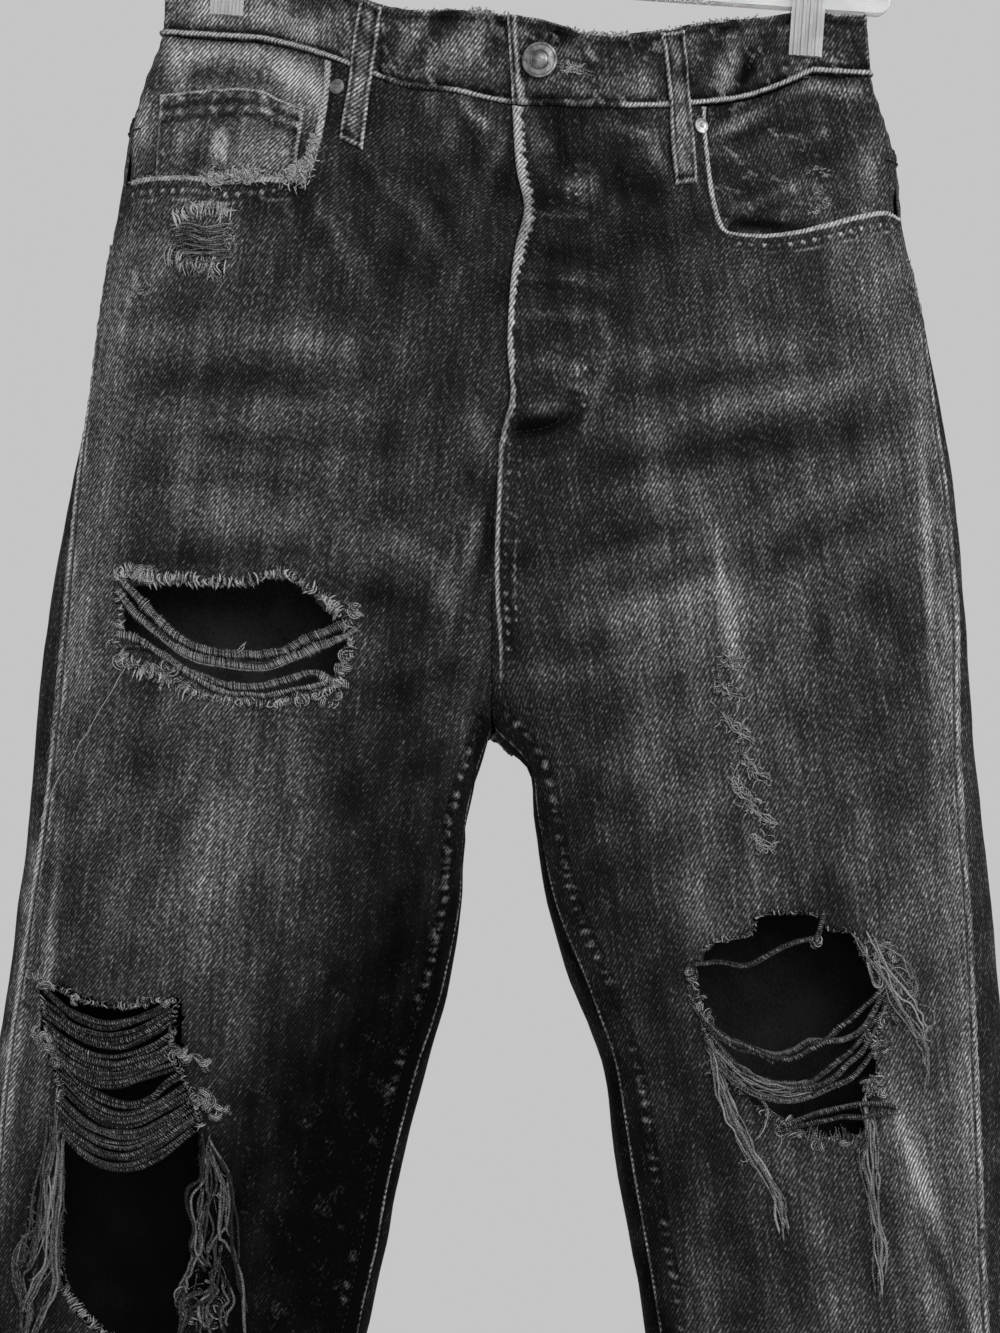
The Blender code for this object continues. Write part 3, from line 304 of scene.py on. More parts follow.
def skin(side, turn, down):
    """Points of the outer skin. turn is positive on the back and negative on the front."""
    turn, down = np.broadcast_arrays(np.asarray(turn, float), np.asarray(down, float))
    turn = (turn + math.pi) % (2 * math.pi) - math.pi
    middle, half, _ = leg_frame(side, down)
    cosine = np.cos(turn)
    x = middle + side * half * cosine
    blend = ease((down - WAIST_START) / WAIST_REACH)
    tip = WAIST_TIP + (half - WAIST_TIP) * blend
    from_edge = half * (1 - cosine)
    rounded = np.sqrt(1 - np.clip(1 - from_edge / tip, 0, 1) ** 2)
    swell = np.where(cosine > 0, rounded, np.abs(np.sin(turn)))
    open_waist = 1 - np.clip(np.abs(x) / WAIST_HALF, 0, 1) ** 2
    bulge, bulge_x, bulge_width = WAIST_BULGE
    waist_front = WAIST_SIDE + WAIST_FRONT * open_waist + bulge * bell(x, bulge_x, bulge_width)
    waist_back = WAIST_SIDE + WAIST_BACK * open_waist
    front = waist_front + (read_shape("front", down) - waist_front) * blend
    back = waist_back + (read_shape("back", down) - waist_back) * blend
    front = front + fold_height("front", x, down) * np.minimum(1, swell * 1.3)
    back = back + fold_height("back", x, down) * np.minimum(1, swell * 1.3)
    held = pinch(x, down)
    depth = np.where(turn > 0, back, front) * swell * (1 - held)
    depth = depth + PINCH_Y * held * np.minimum(1, swell / 0.3)
    y = np.where(turn > 0, depth, -depth)
    climb = sum(share * ease((x - start) / width) for share, start, width in SAG_STEPS)
    sag_shape = climb * (1 - np.clip((x - SAG_X) / SAG_WIDTH, 0, 1) ** 2)
    sag = np.where(turn > 0, BACK_SAG, FRONT_SAG) * sag_shape * (1 - ease(down / SAG_REACH))
    z = SEAM_Z - down - sag - TILT * x * (1 - ease(down / TILT_REACH))
    near = np.exp(-(((x - CENTRE_X) / SADDLE_WIDTH) ** 2) - ((down - CROTCH_DOWN) / SADDLE_REACH) ** 2)
    z = z - SADDLE_DROP * near * ease((y - SADDLE_FRONT) / SADDLE_DEPTH)
    return np.stack([x, y, z], axis=-1)


def skin_normal(side, turn, down):
    """Outward unit normals of the skin, from two small steps across it."""
    step_turn, step_down = 1e-4, 0.05
    turn, down = np.broadcast_arrays(np.asarray(turn, float), np.asarray(down, float))
    across = skin(side, turn + step_turn, down) - skin(side, turn - step_turn, down)
    along = skin(side, turn, down + step_down) - skin(side, turn, down - step_down)
    normal = np.cross(along, across) * side
    return normal / np.maximum(np.linalg.norm(normal, axis=-1, keepdims=True), 1e-12)


def turn_at(side, x, down, face):
    """The turn that has this x at this down. face is 'front' or 'back'."""
    middle, half, _ = leg_frame(side, down)
    turn = np.arccos(np.clip((x - middle) / half * side, -1, 1))
    return turn if face == "back" else -turn


def skin_at(x, down, face):
    """The skin's points over x and down, and the normals there."""
    x, down = np.broadcast_arrays(np.asarray(x, float), np.asarray(down, float))
    sides = np.where(x > CENTRE_X, 1.0, -1.0)
    if face == "front":
        sides = np.where(down > CROTCH_DOWN, np.sign(x + 1e-9), sides)
    points, normals = np.zeros(x.shape + (3,)), np.zeros(x.shape + (3,))
    for side in (-1, 1):
        here = sides == side
        if here.any():
            turn = turn_at(side, x[here], down[here], face)
            normals[here] = skin_normal(side, turn, down[here])
            points[here] = skin(side, turn, down[here])
    return points, normals


# Grain coordinates ------------------------------------------------------------------------


def fly_x(down):
    """The x of the folded edge of the fly, read smoothly down its table."""
    return table_curve(FLY_EDGE, down)


def table_curve(table, value):
    """The second column of a short table, read at value in its first."""
    table = np.asarray(table, float)
    return smooth_read(table[:, 0], table[:, 1], value)


def grain_x(side, down):
    """The grain line: x of a straight line from the hip to the middle of the hem."""
    return side * (90 + 0.118 * down)


def make_grain(side):
    """Tables of arc length along each row, and of the turn at each distance from the grain.

    The arc is the running sum of the distances between close points of the row.
    """
    downs = np.linspace(-46, HEM_DOWN, 264)
    turns = np.linspace(-math.pi, math.pi, 721)
    points = skin(side, np.clip(turns, -math.pi + 1e-6, math.pi - 1e-6)[None, :], downs[:, None])
    steps = np.linalg.norm(np.diff(points, axis=1), axis=2)
    arc = np.concatenate([np.zeros((len(downs), 1)), np.cumsum(steps, axis=1)], axis=1)
    grain = {"downs": downs, "turns": turns, "arc": arc}
    for face, sign in (("front", -1), ("back", 1)):
        start = turn_at(side, grain_x(side, downs), downs, face)
        zero = np.array([np.interp(t, turns, row) for t, row in zip(start, arc)])
        us = np.linspace(-330, 330, 661)
        there = [np.interp(zero[k] + side * us, turns_of(row), turns) for k, row in enumerate(arc)]
        grain[face] = {"zero": zero, "us": us, "turns": np.array(there), "sign": sign}
    return grain


def turns_of(row):
    """A row of arc lengths, made strictly rising so that it can be read backwards."""
    return row + np.arange(len(row)) * 1e-9


def read_grid(rows, cols, grid, row, col):
    """grid read between its nodes at any row and col, by straight lines both ways."""
    r = np.clip((row - rows[0]) / (rows[1] - rows[0]), 0, len(rows) - 1.001)
    c = np.clip((col - cols[0]) / (cols[1] - cols[0]), 0, len(cols) - 1.001)
    i, j = r.astype(int), c.astype(int)
    r, c = r - i, c - j
    top = grid[i, j] * (1 - c) + grid[i, j + 1] * c
    low = grid[i + 1, j] * (1 - c) + grid[i + 1, j + 1] * c
    return top * (1 - r) + low * r


def grain_u(face, side, turn, down):
    """u of a place: its arc length from the grain line, rising to the wearer's left in front."""
    grain = GRAIN[side]
    turn, down = np.broadcast_arrays(np.asarray(turn, float), np.asarray(down, float))
    zero = np.interp(down, grain["downs"], grain[face]["zero"])
    return side * (read_grid(grain["downs"], grain["turns"], grain["arc"], down, turn) - zero)


def turn_of(face, side, u, down):
    """The turn at distance u from the grain line."""
    grain = GRAIN[side]
    u, down = np.broadcast_arrays(np.asarray(u, float), np.asarray(down, float))
    return read_grid(grain["downs"], grain[face]["us"], grain[face]["turns"], down, u)


GRAIN = {side: make_grain(side) for side in (-1, 1)}


def place_u(face, side, x, down):
    """u of the place with this x and down."""
    return grain_u(face, side, turn_at(side, np.asarray(x, float), np.asarray(down, float), face), down)


def cloth_at(face, side, u, down):
    """Points of the skin at u and down, and their normals.

    Above the crotch a place past the centre front belongs to the other side's skin.
    """
    u, down = np.broadcast_arrays(np.asarray(u, float), np.asarray(down, float))
    turn = turn_of(face, side, u, down)
    middle, half, _ = leg_frame(side, down)
    x = middle + side * half * np.cos(turn)
    beyond = (down < FLY_END) & ((x - CENTRE_X) * side < 0) & (np.abs(turn) > 0.5)
    points, normals = skin(side, turn, down), skin_normal(side, turn, down)
    if beyond.any():
        other = turn_at(-side, x[beyond], down[beyond], face)
        points[beyond] = skin(-side, other, down[beyond])
        normals[beyond] = skin_normal(-side, other, down[beyond])
    return points, normals


# Wear and creases -------------------------------------------------------------------------


WAVE_COUNT = 11


def waves(u, v, size, seed):
    """Smooth unevenness, mostly between -1 and 1: sine waves of about this size, added up.

    Each wave has its own direction, start and length, drawn from a seeded generator.
    """
    rng = np.random.default_rng(seed)
    total = np.zeros(np.broadcast(u, v).shape)
    for _ in range(WAVE_COUNT):
        angle, start, scale = rng.uniform(0, 2 * math.pi), rng.uniform(0, 7), rng.uniform(0.7, 1.6)
        pull = 2 * math.pi / (size * scale)
        total = total + np.sin(pull * (u * math.cos(angle) + v * math.sin(angle)) + start)
    return total / math.sqrt(WAVE_COUNT)


def spots(face, x, down):
    """The sum of soft oval spots: strength times exp(-(across/rx)^2 - (down/ry)^2), turned."""
    total = np.zeros(np.broadcast(x, down).shape)
    for sx, sd, rx, ry, angle, strength in WASH_AND_SHADE[face]:
        cosine, sine = math.cos(math.radians(angle)), math.sin(math.radians(angle))
        a = ((x - sx) * cosine + (down - sd) * sine) / rx
        b = (-(x - sx) * sine + (down - sd) * cosine) / ry
        total = total + strength * np.exp(-(a**2) - b**2)
    return total * bpy.context.scene.jeans_cloth.fading


# Where the dye has washed out, and where shade is painted as darker spots, on each face: x, down, half width, half
# height, degrees, strength.
WASH_AND_SHADE = {
    "front": (
        (-176, 101, 8, 1.5, 0, 0.35), (-184, 118, 2, 5, 0, 0.5), (-187, 127, 2, 5, 0, 0.5),
        (-190, 139, 2, 5, 0, 0.45), (-108, 84, 2, 12, -16, 0.25), (-74, 96, 3, 26, -20, 0.14),
        (-132, 228, 50, 20, 4, 0.2), (-138, 385, 30, 84, 4, 0.3), (-128, 150, 80, 60, 0, 0.14),
        (-206, 120, 16, 90, 0, 0.14), (-232, 330, 16, 160, 4, 0.3), (-246, 480, 12, 90, 4, 0.22),
        (-100, 250, 40, 60, 0, 0.1), (-205, 300, 20, 60, 0, 0.12), (92, 280, 56, 28, -12, 0.26),
        (82, 276, 26, 14, -10, 0.1), (104, 368, 48, 60, 0, 0.22), (105, 190, 75, 90, 0, 0.09),
        (175, 100, 30, 30, 0, 0.16), (185, 165, 30, 70, 0, 0.16), (225, 330, 17, 200, -3, 0.4),
        (238, 560, 16, 120, -3, 0.4), (205, 567, 4, 55, -19, 0.42), (130, 620, 36, 80, 0, 0.1),
        (150, 720, 34, 160, 0, 0.16), (-190, 740, 34, 150, 0, 0.18), (-150, 104, 40, 22, 0, 0.16),
        (-186, 96, 20, 20, 0, 0.14), (-30, 110, 40, 70, 0, -0.06), (-40, 250, 30, 120, 0, 0.02),
        # The dark spots at (-60, 500), (-96, 650), (-150, 600) and (-236, 620) are painted shade, the light falling
        # off over the lower part of the wearer's right leg.
        (-60, 500, 36, 130, 6, -0.3), (-96, 650, 56, 150, 10, -0.36), (-150, 600, 30, 60, 0, -0.2),
        (-236, 620, 26, 60, 0, -0.22), (-100, 90, 22, 40, 0, -0.12), (24, 110, 34, 90, 0, -0.14),
        (44, 300, 14, 60, 0, -0.06), (70, 600, 30, 150, 0, -0.1), (30, 450, 24, 160, 0, -0.06),
        (60, 60, 30, 34, 0, -0.08), (-118, 148, 58, 5, 3, 0.12), (-112, 163, 60, 4, 4, -0.12),
        (-112, 178, 64, 5, 5, 0.14), (-125, 194, 74, 5, 5, -0.14), (-138, 206, 44, 5, 4, 0.1),
        (-148, 250, 50, 6, -2, -0.12), (92, 152, 56, 5, -6, 0.12), (96, 166, 60, 4, -8, -0.12),
        (104, 180, 60, 5, -10, 0.14), (100, 197, 72, 5, -12, -0.16), (96, 213, 56, 5, -12, 0.14),
        (80, 236, 70, 5, -14, -0.14), (70, 252, 56, 6, -14, 0.12), (-104, 340, 4, 60, -3, 0.14),
        (104, 268, 3, 26, -8, 0.34), (110, 302, 3, 16, -14, 0.24), (118, 398, 3, 34, -8, 0.22),
        (-224, 440, 3, 50, 5, 0.34), (-238, 420, 2.4, 70, 5, 0.34), (-246, 520, 3, 60, 4, 0.24),
        (206, 250, 2.4, 60, -2, 0.4), (232, 640, 4, 50, -12, 0.34), (-200, 985, 90, 12, 0, 0.34),
        (190, 985, 90, 12, 0, 0.34), (-86, 84, 16, 20, 0, -0.12), (60, 84, 14, 20, 0, -0.1),
        (-196, 135, 14, 30, 0, 0.11), (-192, 190, 18, 40, 0, 0.16), (-200, 235, 16, 30, 0, 0.16),
        (-130, 135, 50, 24, 0, -0.07), (-66, 135, 20, 24, 0, -0.08), (-100, 235, 60, 22, 0, -0.1),
        (-215, 290, 14, 40, 4, 0.13), (-218, 330, 14, 40, 4, 0.1), (-160, 325, 30, 20, 0, 0.08),
        (-50, 330, 14, 24, 0, -0.12), (40, 330, 40, 24, 0, 0.06), (18, 380, 14, 24, 0, 0.08),
        (70, 380, 16, 20, 0, -0.11), (122, 380, 16, 20, 0, -0.08), (200, 380, 18, 40, -3, 0.1),
        (-150, 425, 40, 30, 0, 0.07), (80, 428, 20, 20, 0, 0.08), (195, 430, 30, 34, 0, 0.1),
        # The dark spots at (-120, 480), (-92, 545) and (-140, 570) are painted shade for the same falling light.
        (185, 490, 26, 40, 0, 0.11), (190, 530, 28, 30, 0, 0.16), (-120, 480, 30, 30, 0, -0.05),
        (-92, 545, 34, 60, 8, -0.12), (-140, 570, 20, 60, 0, -0.08), (214, 600, 5, 50, -19, -0.3),
        (11, 14, 3, 6, 0, 0.25), (15, 23, 3, 7, 20, 0.3), (19, 21, 2, 5, -30, 0.25),
        (17, 35, 3, 3, 0, 0.25), (30, 47, 4, 6, 0, 0.35), (36, 43, 4, 5, 0, 0.4), (37, 54, 3, 6, 0, 0.35),
        (42, 46, 2.5, 9, 0, 0.35), (36, 33, 3, 3, 0, 0.25), (48, 33, 3, 6, 0, 0.15),
        (17, 67, 5, 2, 0, 0.28), (27, 67, 8, 2.5, 0, 0.16), (36, 67, 3, 3, 0, 0.3), (18, 79, 2, 8, 0, 0.15),
        (52, 67, 2, 14, 0, 0.14), (23, 57, 12, 8, 0, -0.14), (10, 112, 9, 1.6, 0, 0.22),
        (28, 112, 4, 2, 0, 0.3), (34, 113, 3, 2, 0, 0.25), (45, 116, 6, 3, 0, 0.2), (50, 113, 3, 5, 0, 0.2),
        (18, 135, 14, 2, 0, 0.24), (33, 134, 4, 4, 0, 0.3), (44, 134, 3, 4, 0, 0.25),
        (48, 145, 2.4, 9, -10, 0.28), (26, 150, 5, 2, 0, 0.2), (20, 159, 12, 2.4, 0, 0.2),
        (33, 162, 4, 4, 0, 0.45), (31, 169, 5, 2.5, 0, 0.35), (37, 172, 2.5, 5, 0, 0.4),
        (42, 172, 2.5, 6, 0, 0.4), (46, 167, 3, 10, 0, 0.25), (18, 181, 9, 3, -12, 0.42),
        (16, 189, 12, 5, -8, -0.3), (38, 187, 2.5, 9, 15, 0.35), (-4, 24, 3, 10, 14, 0.36),
        (-20, 5, 3, 6, -20, 0.4), (-13, 11, 8, 2.6, 28, 0.35), (-38, 6, 3, 7, 0, 0.3),
        (-11, 39, 3, 12, 5, 0.16), (-14, 190, 4, 18, -18, 0.25), (-40, 137, 14, 10, 0, 0.15),
        (66, 13, 8, 3, 10, 0.3), (72, 25, 3, 9, -14, 0.38), (59, 11, 6, 3, 20, 0.25),
        (48, 9, 8, 2, 0, 0.15), (61, 53, 3, 7, 0, 0.14), (-84, 92, 3, 18, -28, 0.26),
        (-60, 60, 3, 20, -24, 0.12), (-92, 86, 3, 6, 0, 0.3), (-20, 252, 3, 26, 14, 0.3),
        (-30, 262, 3, 20, 18, 0.22), (204, 590, 12, 90, -8, 0.28), (-20, 45, 36, 24, 0, -0.08),
        (60, 45, 20, 20, 0, -0.12), (-137, 345, 20, 20, 0, -0.12), (57, 345, 20, 20, 0, 0.08),
        (81, 394, 18, 20, 0, -0.1), (-210, 442, 14, 24, 0, 0.16), (130, 600, 24, 60, 0, -0.12),
    ),
    "band": (
        (-150, -17, 40, 16, 0, 0.36), (-96, -20, 30, 14, 0, 0.14), (-105, -9, 20, 9, 8, 0.3),
        (-150, -16, 14, 10, 0, 0.19), (-46, -26, 4, 16, 30, 0.36), (-34, -18, 4, 18, 34, 0.32),
        (-22, -22, 6, 16, 24, 0.34), (-14, -28, 4, 16, 10, 0.28), (-9, -12, 8, 8, 0, 0.36),
        (-52, -14, 6, 8, 0, 0.24), (27, -26, 7, 4, -18, 0.36), (19, -34, 1.4, 6, 40, 0.41),
        (54, -9, 5, 8, 24, 0.36), (66, -12, 6, 9, 10, 0.41), (108, -12, 5, 9, -24, 0.36),
        (117, -12, 3.4, 9, 20, -0.36), (128, -14, 4, 8, 16, 0.19), (60, -30, 20, 5, 0, -0.14),
        (90, -34, 60, 3, 0, 0.12), (160, -8, 20, 6, 0, 0.14), (-118, -28, 18, 5, 20, 0.24),
        (-132, -12, 26, 5, 0, 0.26), (-84, -14, 12, 12, 20, 0.2), (-150, -30, 16, 4, 0, -0.2),
        (-100, -34, 12, 4, 0, -0.25), (47, -13, 5, 9, -12, 0.3), (36, -8, 8, 7, 0, 0.22),
        (80, -24, 10, 4, 0, 0.2), (112, -22, 3, 10, -24, 0.3), (140, -26, 6, 3, 0, 0.2),
    ),
    "band_back": (
        (0, -18, 120, 14, 0, 0.1),
    ),
    "facing": (
        (-140, 20, 60, 40, 0, 0.32), (-150, 62, 30, 16, 0, 0.19), (-108, 10, 18, 7, 22, 0.49),
        (-94, 24, 6, 12, 0, 0.46), (-158, 9, 11, 6, 0, 0.46), (-140, 4, 24, 5, 0, 0.27),
        (-184, 44, 7, 12, 0, 0.35), (114, 12, 12, 4, -16, 0.59), (108, 26, 12, 5, 8, 0.27),
        # The dark spot at (126, 76) is a painted shadow in the fold between the left pocket's mouth and its facing.
        (158, 6, 18, 3.4, 6, 0.54), (128, 74, 22, 5, 14, 0.27), (126, 76, 22, 4, 18, -0.54),
        (150, 60, 20, 16, 0, 0.14), (182, 40, 10, 30, 0, 0.3), (-174, 24, 8, 10, 0, -0.14),
        (140, 40, 34, 14, 0, -0.14), (-150, 34, 50, 22, 0, 0.12), (-146, 17, 16, 6, 0, -0.3),
        (-106, 24, 5, 12, -20, 0.3), (-164, 18, 6, 9, -30, 0.3), (-190, 64, 7, 9, 0, 0.22),
        (-120, 12, 34, 5, 14, 0.22), (140, 34, 30, 14, 0, 0.1), (130, 42, 14, 18, 0, 0.12),
    ),
    "back": (
        (-95, 190, 60, 60, 0, 0.4), (80, 190, 60, 60, 0, 0.4), (-120, 300, 50, 40, 0, 0.22),
        (105, 300, 50, 40, 0, 0.22), (-150, 420, 34, 110, 0, 0.24), (135, 420, 34, 110, 0, 0.24),
        # The two dark bands at down 610 and 612 are painted shadow in the hollows of the creases behind the knees.
        (-160, 610, 44, 18, 8, -0.07), (140, 612, 44, 18, -8, -0.07), (-160, 640, 48, 12, 6, 0.2),
        (140, 642, 48, 12, -6, 0.2), (-175, 760, 40, 110, 0, 0.22), (160, 760, 40, 110, 0, 0.22),
        (-8, 240, 20, 80, 0, -0.14), (-200, 980, 90, 14, 0, 0.3), (190, 980, 90, 14, 0, 0.3),
    ),
}

# Small creases on each face: start x and down, end x and down, half width, height.
CREASES = {
    "front": (
        (-78, 50, -30, 120, 5, -0.9), (-66, 52, -22, 128, 4, 0.9), (-52, 44, -16, 118, 4, -0.8),
        (-38, 26, -10, 92, 4, 0.9), (-26, 6, -12, 56, 3.5, -1), (-17, 2, -9, 44, 3, 1),
        (-36, 2, -28, 34, 3, 0.7), (-93, 72, -82, 108, 3.5, 0.9), (-60, 90, -18, 190, 6, -0.8),
        (-86, 96, -40, 200, 7, 0.7), (-200, 146, -70, 158, 7, 1), (-200, 172, -60, 184, 7, -1.3),
        (-205, 190, -66, 206, 7, 1.3), (-210, 214, -80, 224, 8, -1), (-150, 238, -16, 262, 8, 1),
        (-110, 262, -14, 292, 7, -1.1), (-70, 230, -13, 300, 6, 0.9), (-64, 322, -14, 306, 6, -1),
        (-18, 206, -13, 270, 3.5, -2.2), (-21, 190, -17, 262, 3, 1.8), (200, 150, 60, 176, 7, 1),
        (200, 178, 50, 206, 7, -1.3), (205, 198, 50, 232, 7, 1.2), (190, 226, 30, 262, 8, -1),
        (120, 252, 6, 284, 7, 0.9), (80, 280, 4, 300, 6, -0.9), (50, 306, 2, 304, 5, 0.9),
        (60, 10, 84, 70, 5, 0.8), (44, 8, 60, 60, 4, -0.8), (140, 60, 100, 78, 5, -1.6),
        (150, 50, 104, 66, 4, 1.6), (186, 10, 176, 60, 6, 0.9), (110, 6, 150, 20, 4, 0.8),
        (116, 16, 160, 30, 4, -0.8), (112, 92, 122, 128, 3.5, 0.9), (-196, 12, -178, 40, 5, 0.8),
        (-214, 250, -216, 420, 5, 1.2), (-190, 330, -205, 450, 7, 1), (-232, 400, -240, 560, 4, 1.2),
        (-246, 380, -252, 560, 4, -1), (-104, 328, -92, 420, 6, 0.8), (-84, 330, -80, 430, 7, -0.8),
        (-160, 330, -150, 420, 8, 0.7), (214, 240, 218, 400, 5, 1.4), (60, 330, 84, 430, 8, 0.8),
        (84, 400, 96, 440, 5, 0.9), (160, 330, 170, 420, 9, 0.8), (140, 540, 152, 640, 6, 1),
        (104, 560, 110, 660, 8, -1), (80, 560, 96, 700, 9, 1), (-200, 640, -130, 660, 8, 1.2),
        (-190, 676, -120, 700, 9, -1.4), (-130, 560, -104, 660, 8, 0.9), (110, 690, 190, 706, 9, 1.3),
        (100, 730, 180, 742, 9, -1.3), (-230, 800, -160, 830, 10, 1.2), (130, 850, 220, 872, 10, 1.2),
        (-220, 900, -150, 930, 11, -1.2), (-4, 4, -8, 40, 4, 0.8), (10, 60, 60, 66, 4, 0.6),
        (6, 106, 52, 114, 3.5, 0.7), (4, 118, 40, 121, 4, -0.8), (6, 132, 50, 137, 3, 0.6),
        (8, 158, 52, 160, 3.5, 0.7), (4, 182, 30, 176, 3.5, 1), (0, 192, 34, 184, 4.5, -1.5),
    ),
    "band": (
        (111, -26, 120, -6, 3.4, -0.9), (104, -24, 112, -4, 3, 0.8), (-60, -34, -36, -6, 4, 0.7),
        (-44, -36, -22, -8, 4, -0.7), (50, -20, 62, -4, 4, 0.6), (150, -26, 140, -4, 6, 0.6),
        (-130, -26, -96, -8, 6, 0.6), (60, -30, 78, -8, 4, -0.7),
    ),
    "facing": (
        (104, 72, 146, 86, 5, -1.6), (108, 60, 150, 74, 5, 0.9), (-112, 2, -96, 26, 4, 0.7),
        (108, 6, 128, 20, 3, 0.5),
    ),
    "back": (
        (-180, 604, -70, 618, 8, -2.2), (-186, 626, -80, 646, 8, 2), (60, 612, 176, 600, 8, -2.2),
        (70, 640, 184, 624, 8, 2), (-150, 262, -30, 296, 9, -1.8), (134, 262, 16, 296, 9, -1.8),
        (-120, 300, -22, 316, 8, 1.6), (104, 300, 8, 316, 8, 1.6), (-210, 690, -120, 716, 10, 1.6),
        (200, 684, 110, 714, 10, 1.6), (-214, 770, -130, 790, 11, -1.6), (206, 764, 120, 790, 11, -1.6),
        (-190, 120, -176, 220, 8, 1), (176, 120, 164, 220, 8, 1), (-230, 880, -170, 900, 12, 1.4),
        (220, 876, 160, 900, 12, 1.4),
    ),
}


def creases(face, x, down):
    """The sum of the small creases, each a bell across its own line, fading at its ends."""
    total = np.zeros(np.broadcast(x, down).shape)
    for x0, d0, x1, d1, width, height in CREASES.get(face, ()):
        length = math.hypot(x1 - x0, d1 - d0)
        ax, ad = (x1 - x0) / length, (d1 - d0) / length
        run = ((x - x0) * ax + (down - d0) * ad) / length
        bow = 0.07 * length * (1 - (2 * run - 1) ** 2)
        off = (x - x0) * ad - (down - d0) * ax - bow
        ends = ease(run / 0.35 + 0.2) * ease((1 - run) / 0.35 + 0.2)
        total = total + height * ends * bell(off, 0, width)
    return total * bpy.context.scene.jeans_cloth.creasing


def washed_and_shaded(face, x, down, u):
    """How far the dye has washed out, with painted shade: spots, wandering unevenness, streaks down the grain, and
    the small creases, worn paler on their ridges and painted darker in their hollows.
    """
    cloud = waves(u, down, 60, 3) * 0.05 + waves(u, down, 22, 4) * 0.035
    streak = waves(u, down * 0.05, 9, 5) * 0.035
    # The creases' ridges are worn paler, and their hollows are painted darker as shade.
    ridges = 0.10 * creases(face, x, down)
    return 0.05 + spots(face, x, down) + cloud + streak + ridges


def relief(face, x, down, u):
    """Height of the cloth above the skin: its creases and a faint unevenness."""
    calm = waves(u, down, 34, 8) * 0.22 + waves(u, down, 13, 9) * 0.07
    low = 0.5 + 0.5 * ease(down / 60)
    return creases(face, x, down) + calm * low


# Outlines ---------------------------------------------------------------------------------


def smooth_path(places, count, closed=False):
    """Points along a Catmull-Rom curve through places."""
    places = np.asarray(places, float)
    if closed:
        ends = np.vstack([places[-1], places, places[0], places[1]])
        t = np.linspace(0, len(places), count, endpoint=False)
    else:
        ends = np.vstack([2 * places[0] - places[1], places, 2 * places[-1] - places[-2]])
        t = np.linspace(0, len(places) - 1, count)
    i = np.minimum(t.astype(int), len(ends) - 4)
    t = (t - i)[:, None]
    a, b, c, d = ends[i], ends[i + 1], ends[i + 2], ends[i + 3]
    return 0.5 * (
        2 * b + (c - a) * t + (2 * a - 5 * b + 4 * c - d) * t**2 + (3 * (b - c) + d - a) * t**3
    )


def even_path(places, step, closed=False):
    """A smooth path, its points about step apart."""
    path = smooth_path(places, 40 * len(places), closed)
    if closed:
        path = np.vstack([path, path[:1]])
    run = np.concatenate([[0], np.cumsum(np.linalg.norm(np.diff(path, axis=0), axis=1))])
    marks = np.linspace(0, run[-1], max(4, int(run[-1] / step) + 1))
    if closed:
        marks = marks[:-1]
    return np.stack([np.interp(marks, run, path[:, k]) for k in range(path.shape[1])], axis=1)


TORN_WANDER = 1.1  # how far a torn edge wanders off its outline


def ragged(outline, seed):
    """A torn outline: the smooth one, moved in and out by waves of two lengths."""
    path = even_path(outline, 1.2, closed=True)
    ahead = np.roll(path, -1, axis=0) - np.roll(path, 1, axis=0)
    ahead = ahead / np.linalg.norm(ahead, axis=1, keepdims=True)
    out = np.stack([ahead[:, 1], -ahead[:, 0]], axis=1)
    shift = waves(path[:, 0], path[:, 1], 9, seed) * 0.6 + waves(path[:, 0], path[:, 1], 3.5, seed + 1) * 0.4
    return path + out * (TORN_WANDER * shift)[:, None]


def outline_gap(x, y, outline):
    """Signed distance to a closed outline, positive outside, and the nearest place on it.

    The distance is the least over the outline's straight pieces; the sign is from how many
    times a line to the side crosses it.
    """
    a = outline
    b = np.roll(outline, -1, axis=0)
    best = np.full(x.shape, 1e9)
    near = np.stack([x, y], axis=-1)
    inside = np.zeros(x.shape, bool)
    for (ax, ay), (bx, by) in zip(a, b):
        dx, dy = bx - ax, by - ay
        t = np.clip(((x - ax) * dx + (y - ay) * dy) / (dx * dx + dy * dy + 1e-12), 0, 1)
        px, py = ax + dx * t, ay + dy * t
        gap = np.hypot(x - px, y - py)
        closer = gap < best
        best = np.where(closer, gap, best)
        near[closer, 0], near[closer, 1] = px[closer], py[closer]
        crosses = (ay > y) != (by > y)
        with np.errstate(divide="ignore", invalid="ignore"):
            inside ^= crosses & (x < (bx - ax) * (y - ay) / (by - ay + 1e-30) + ax)
    return np.where(inside, -best, best), near


def mouth(table):
    """A pocket mouth's cut: its smooth edge, closed round above the panel."""
    return np.vstack([even_path(table[:-2], 2.0), np.array(table[-2:], float)])


# Meshes -----------------------------------------------------------------------------------


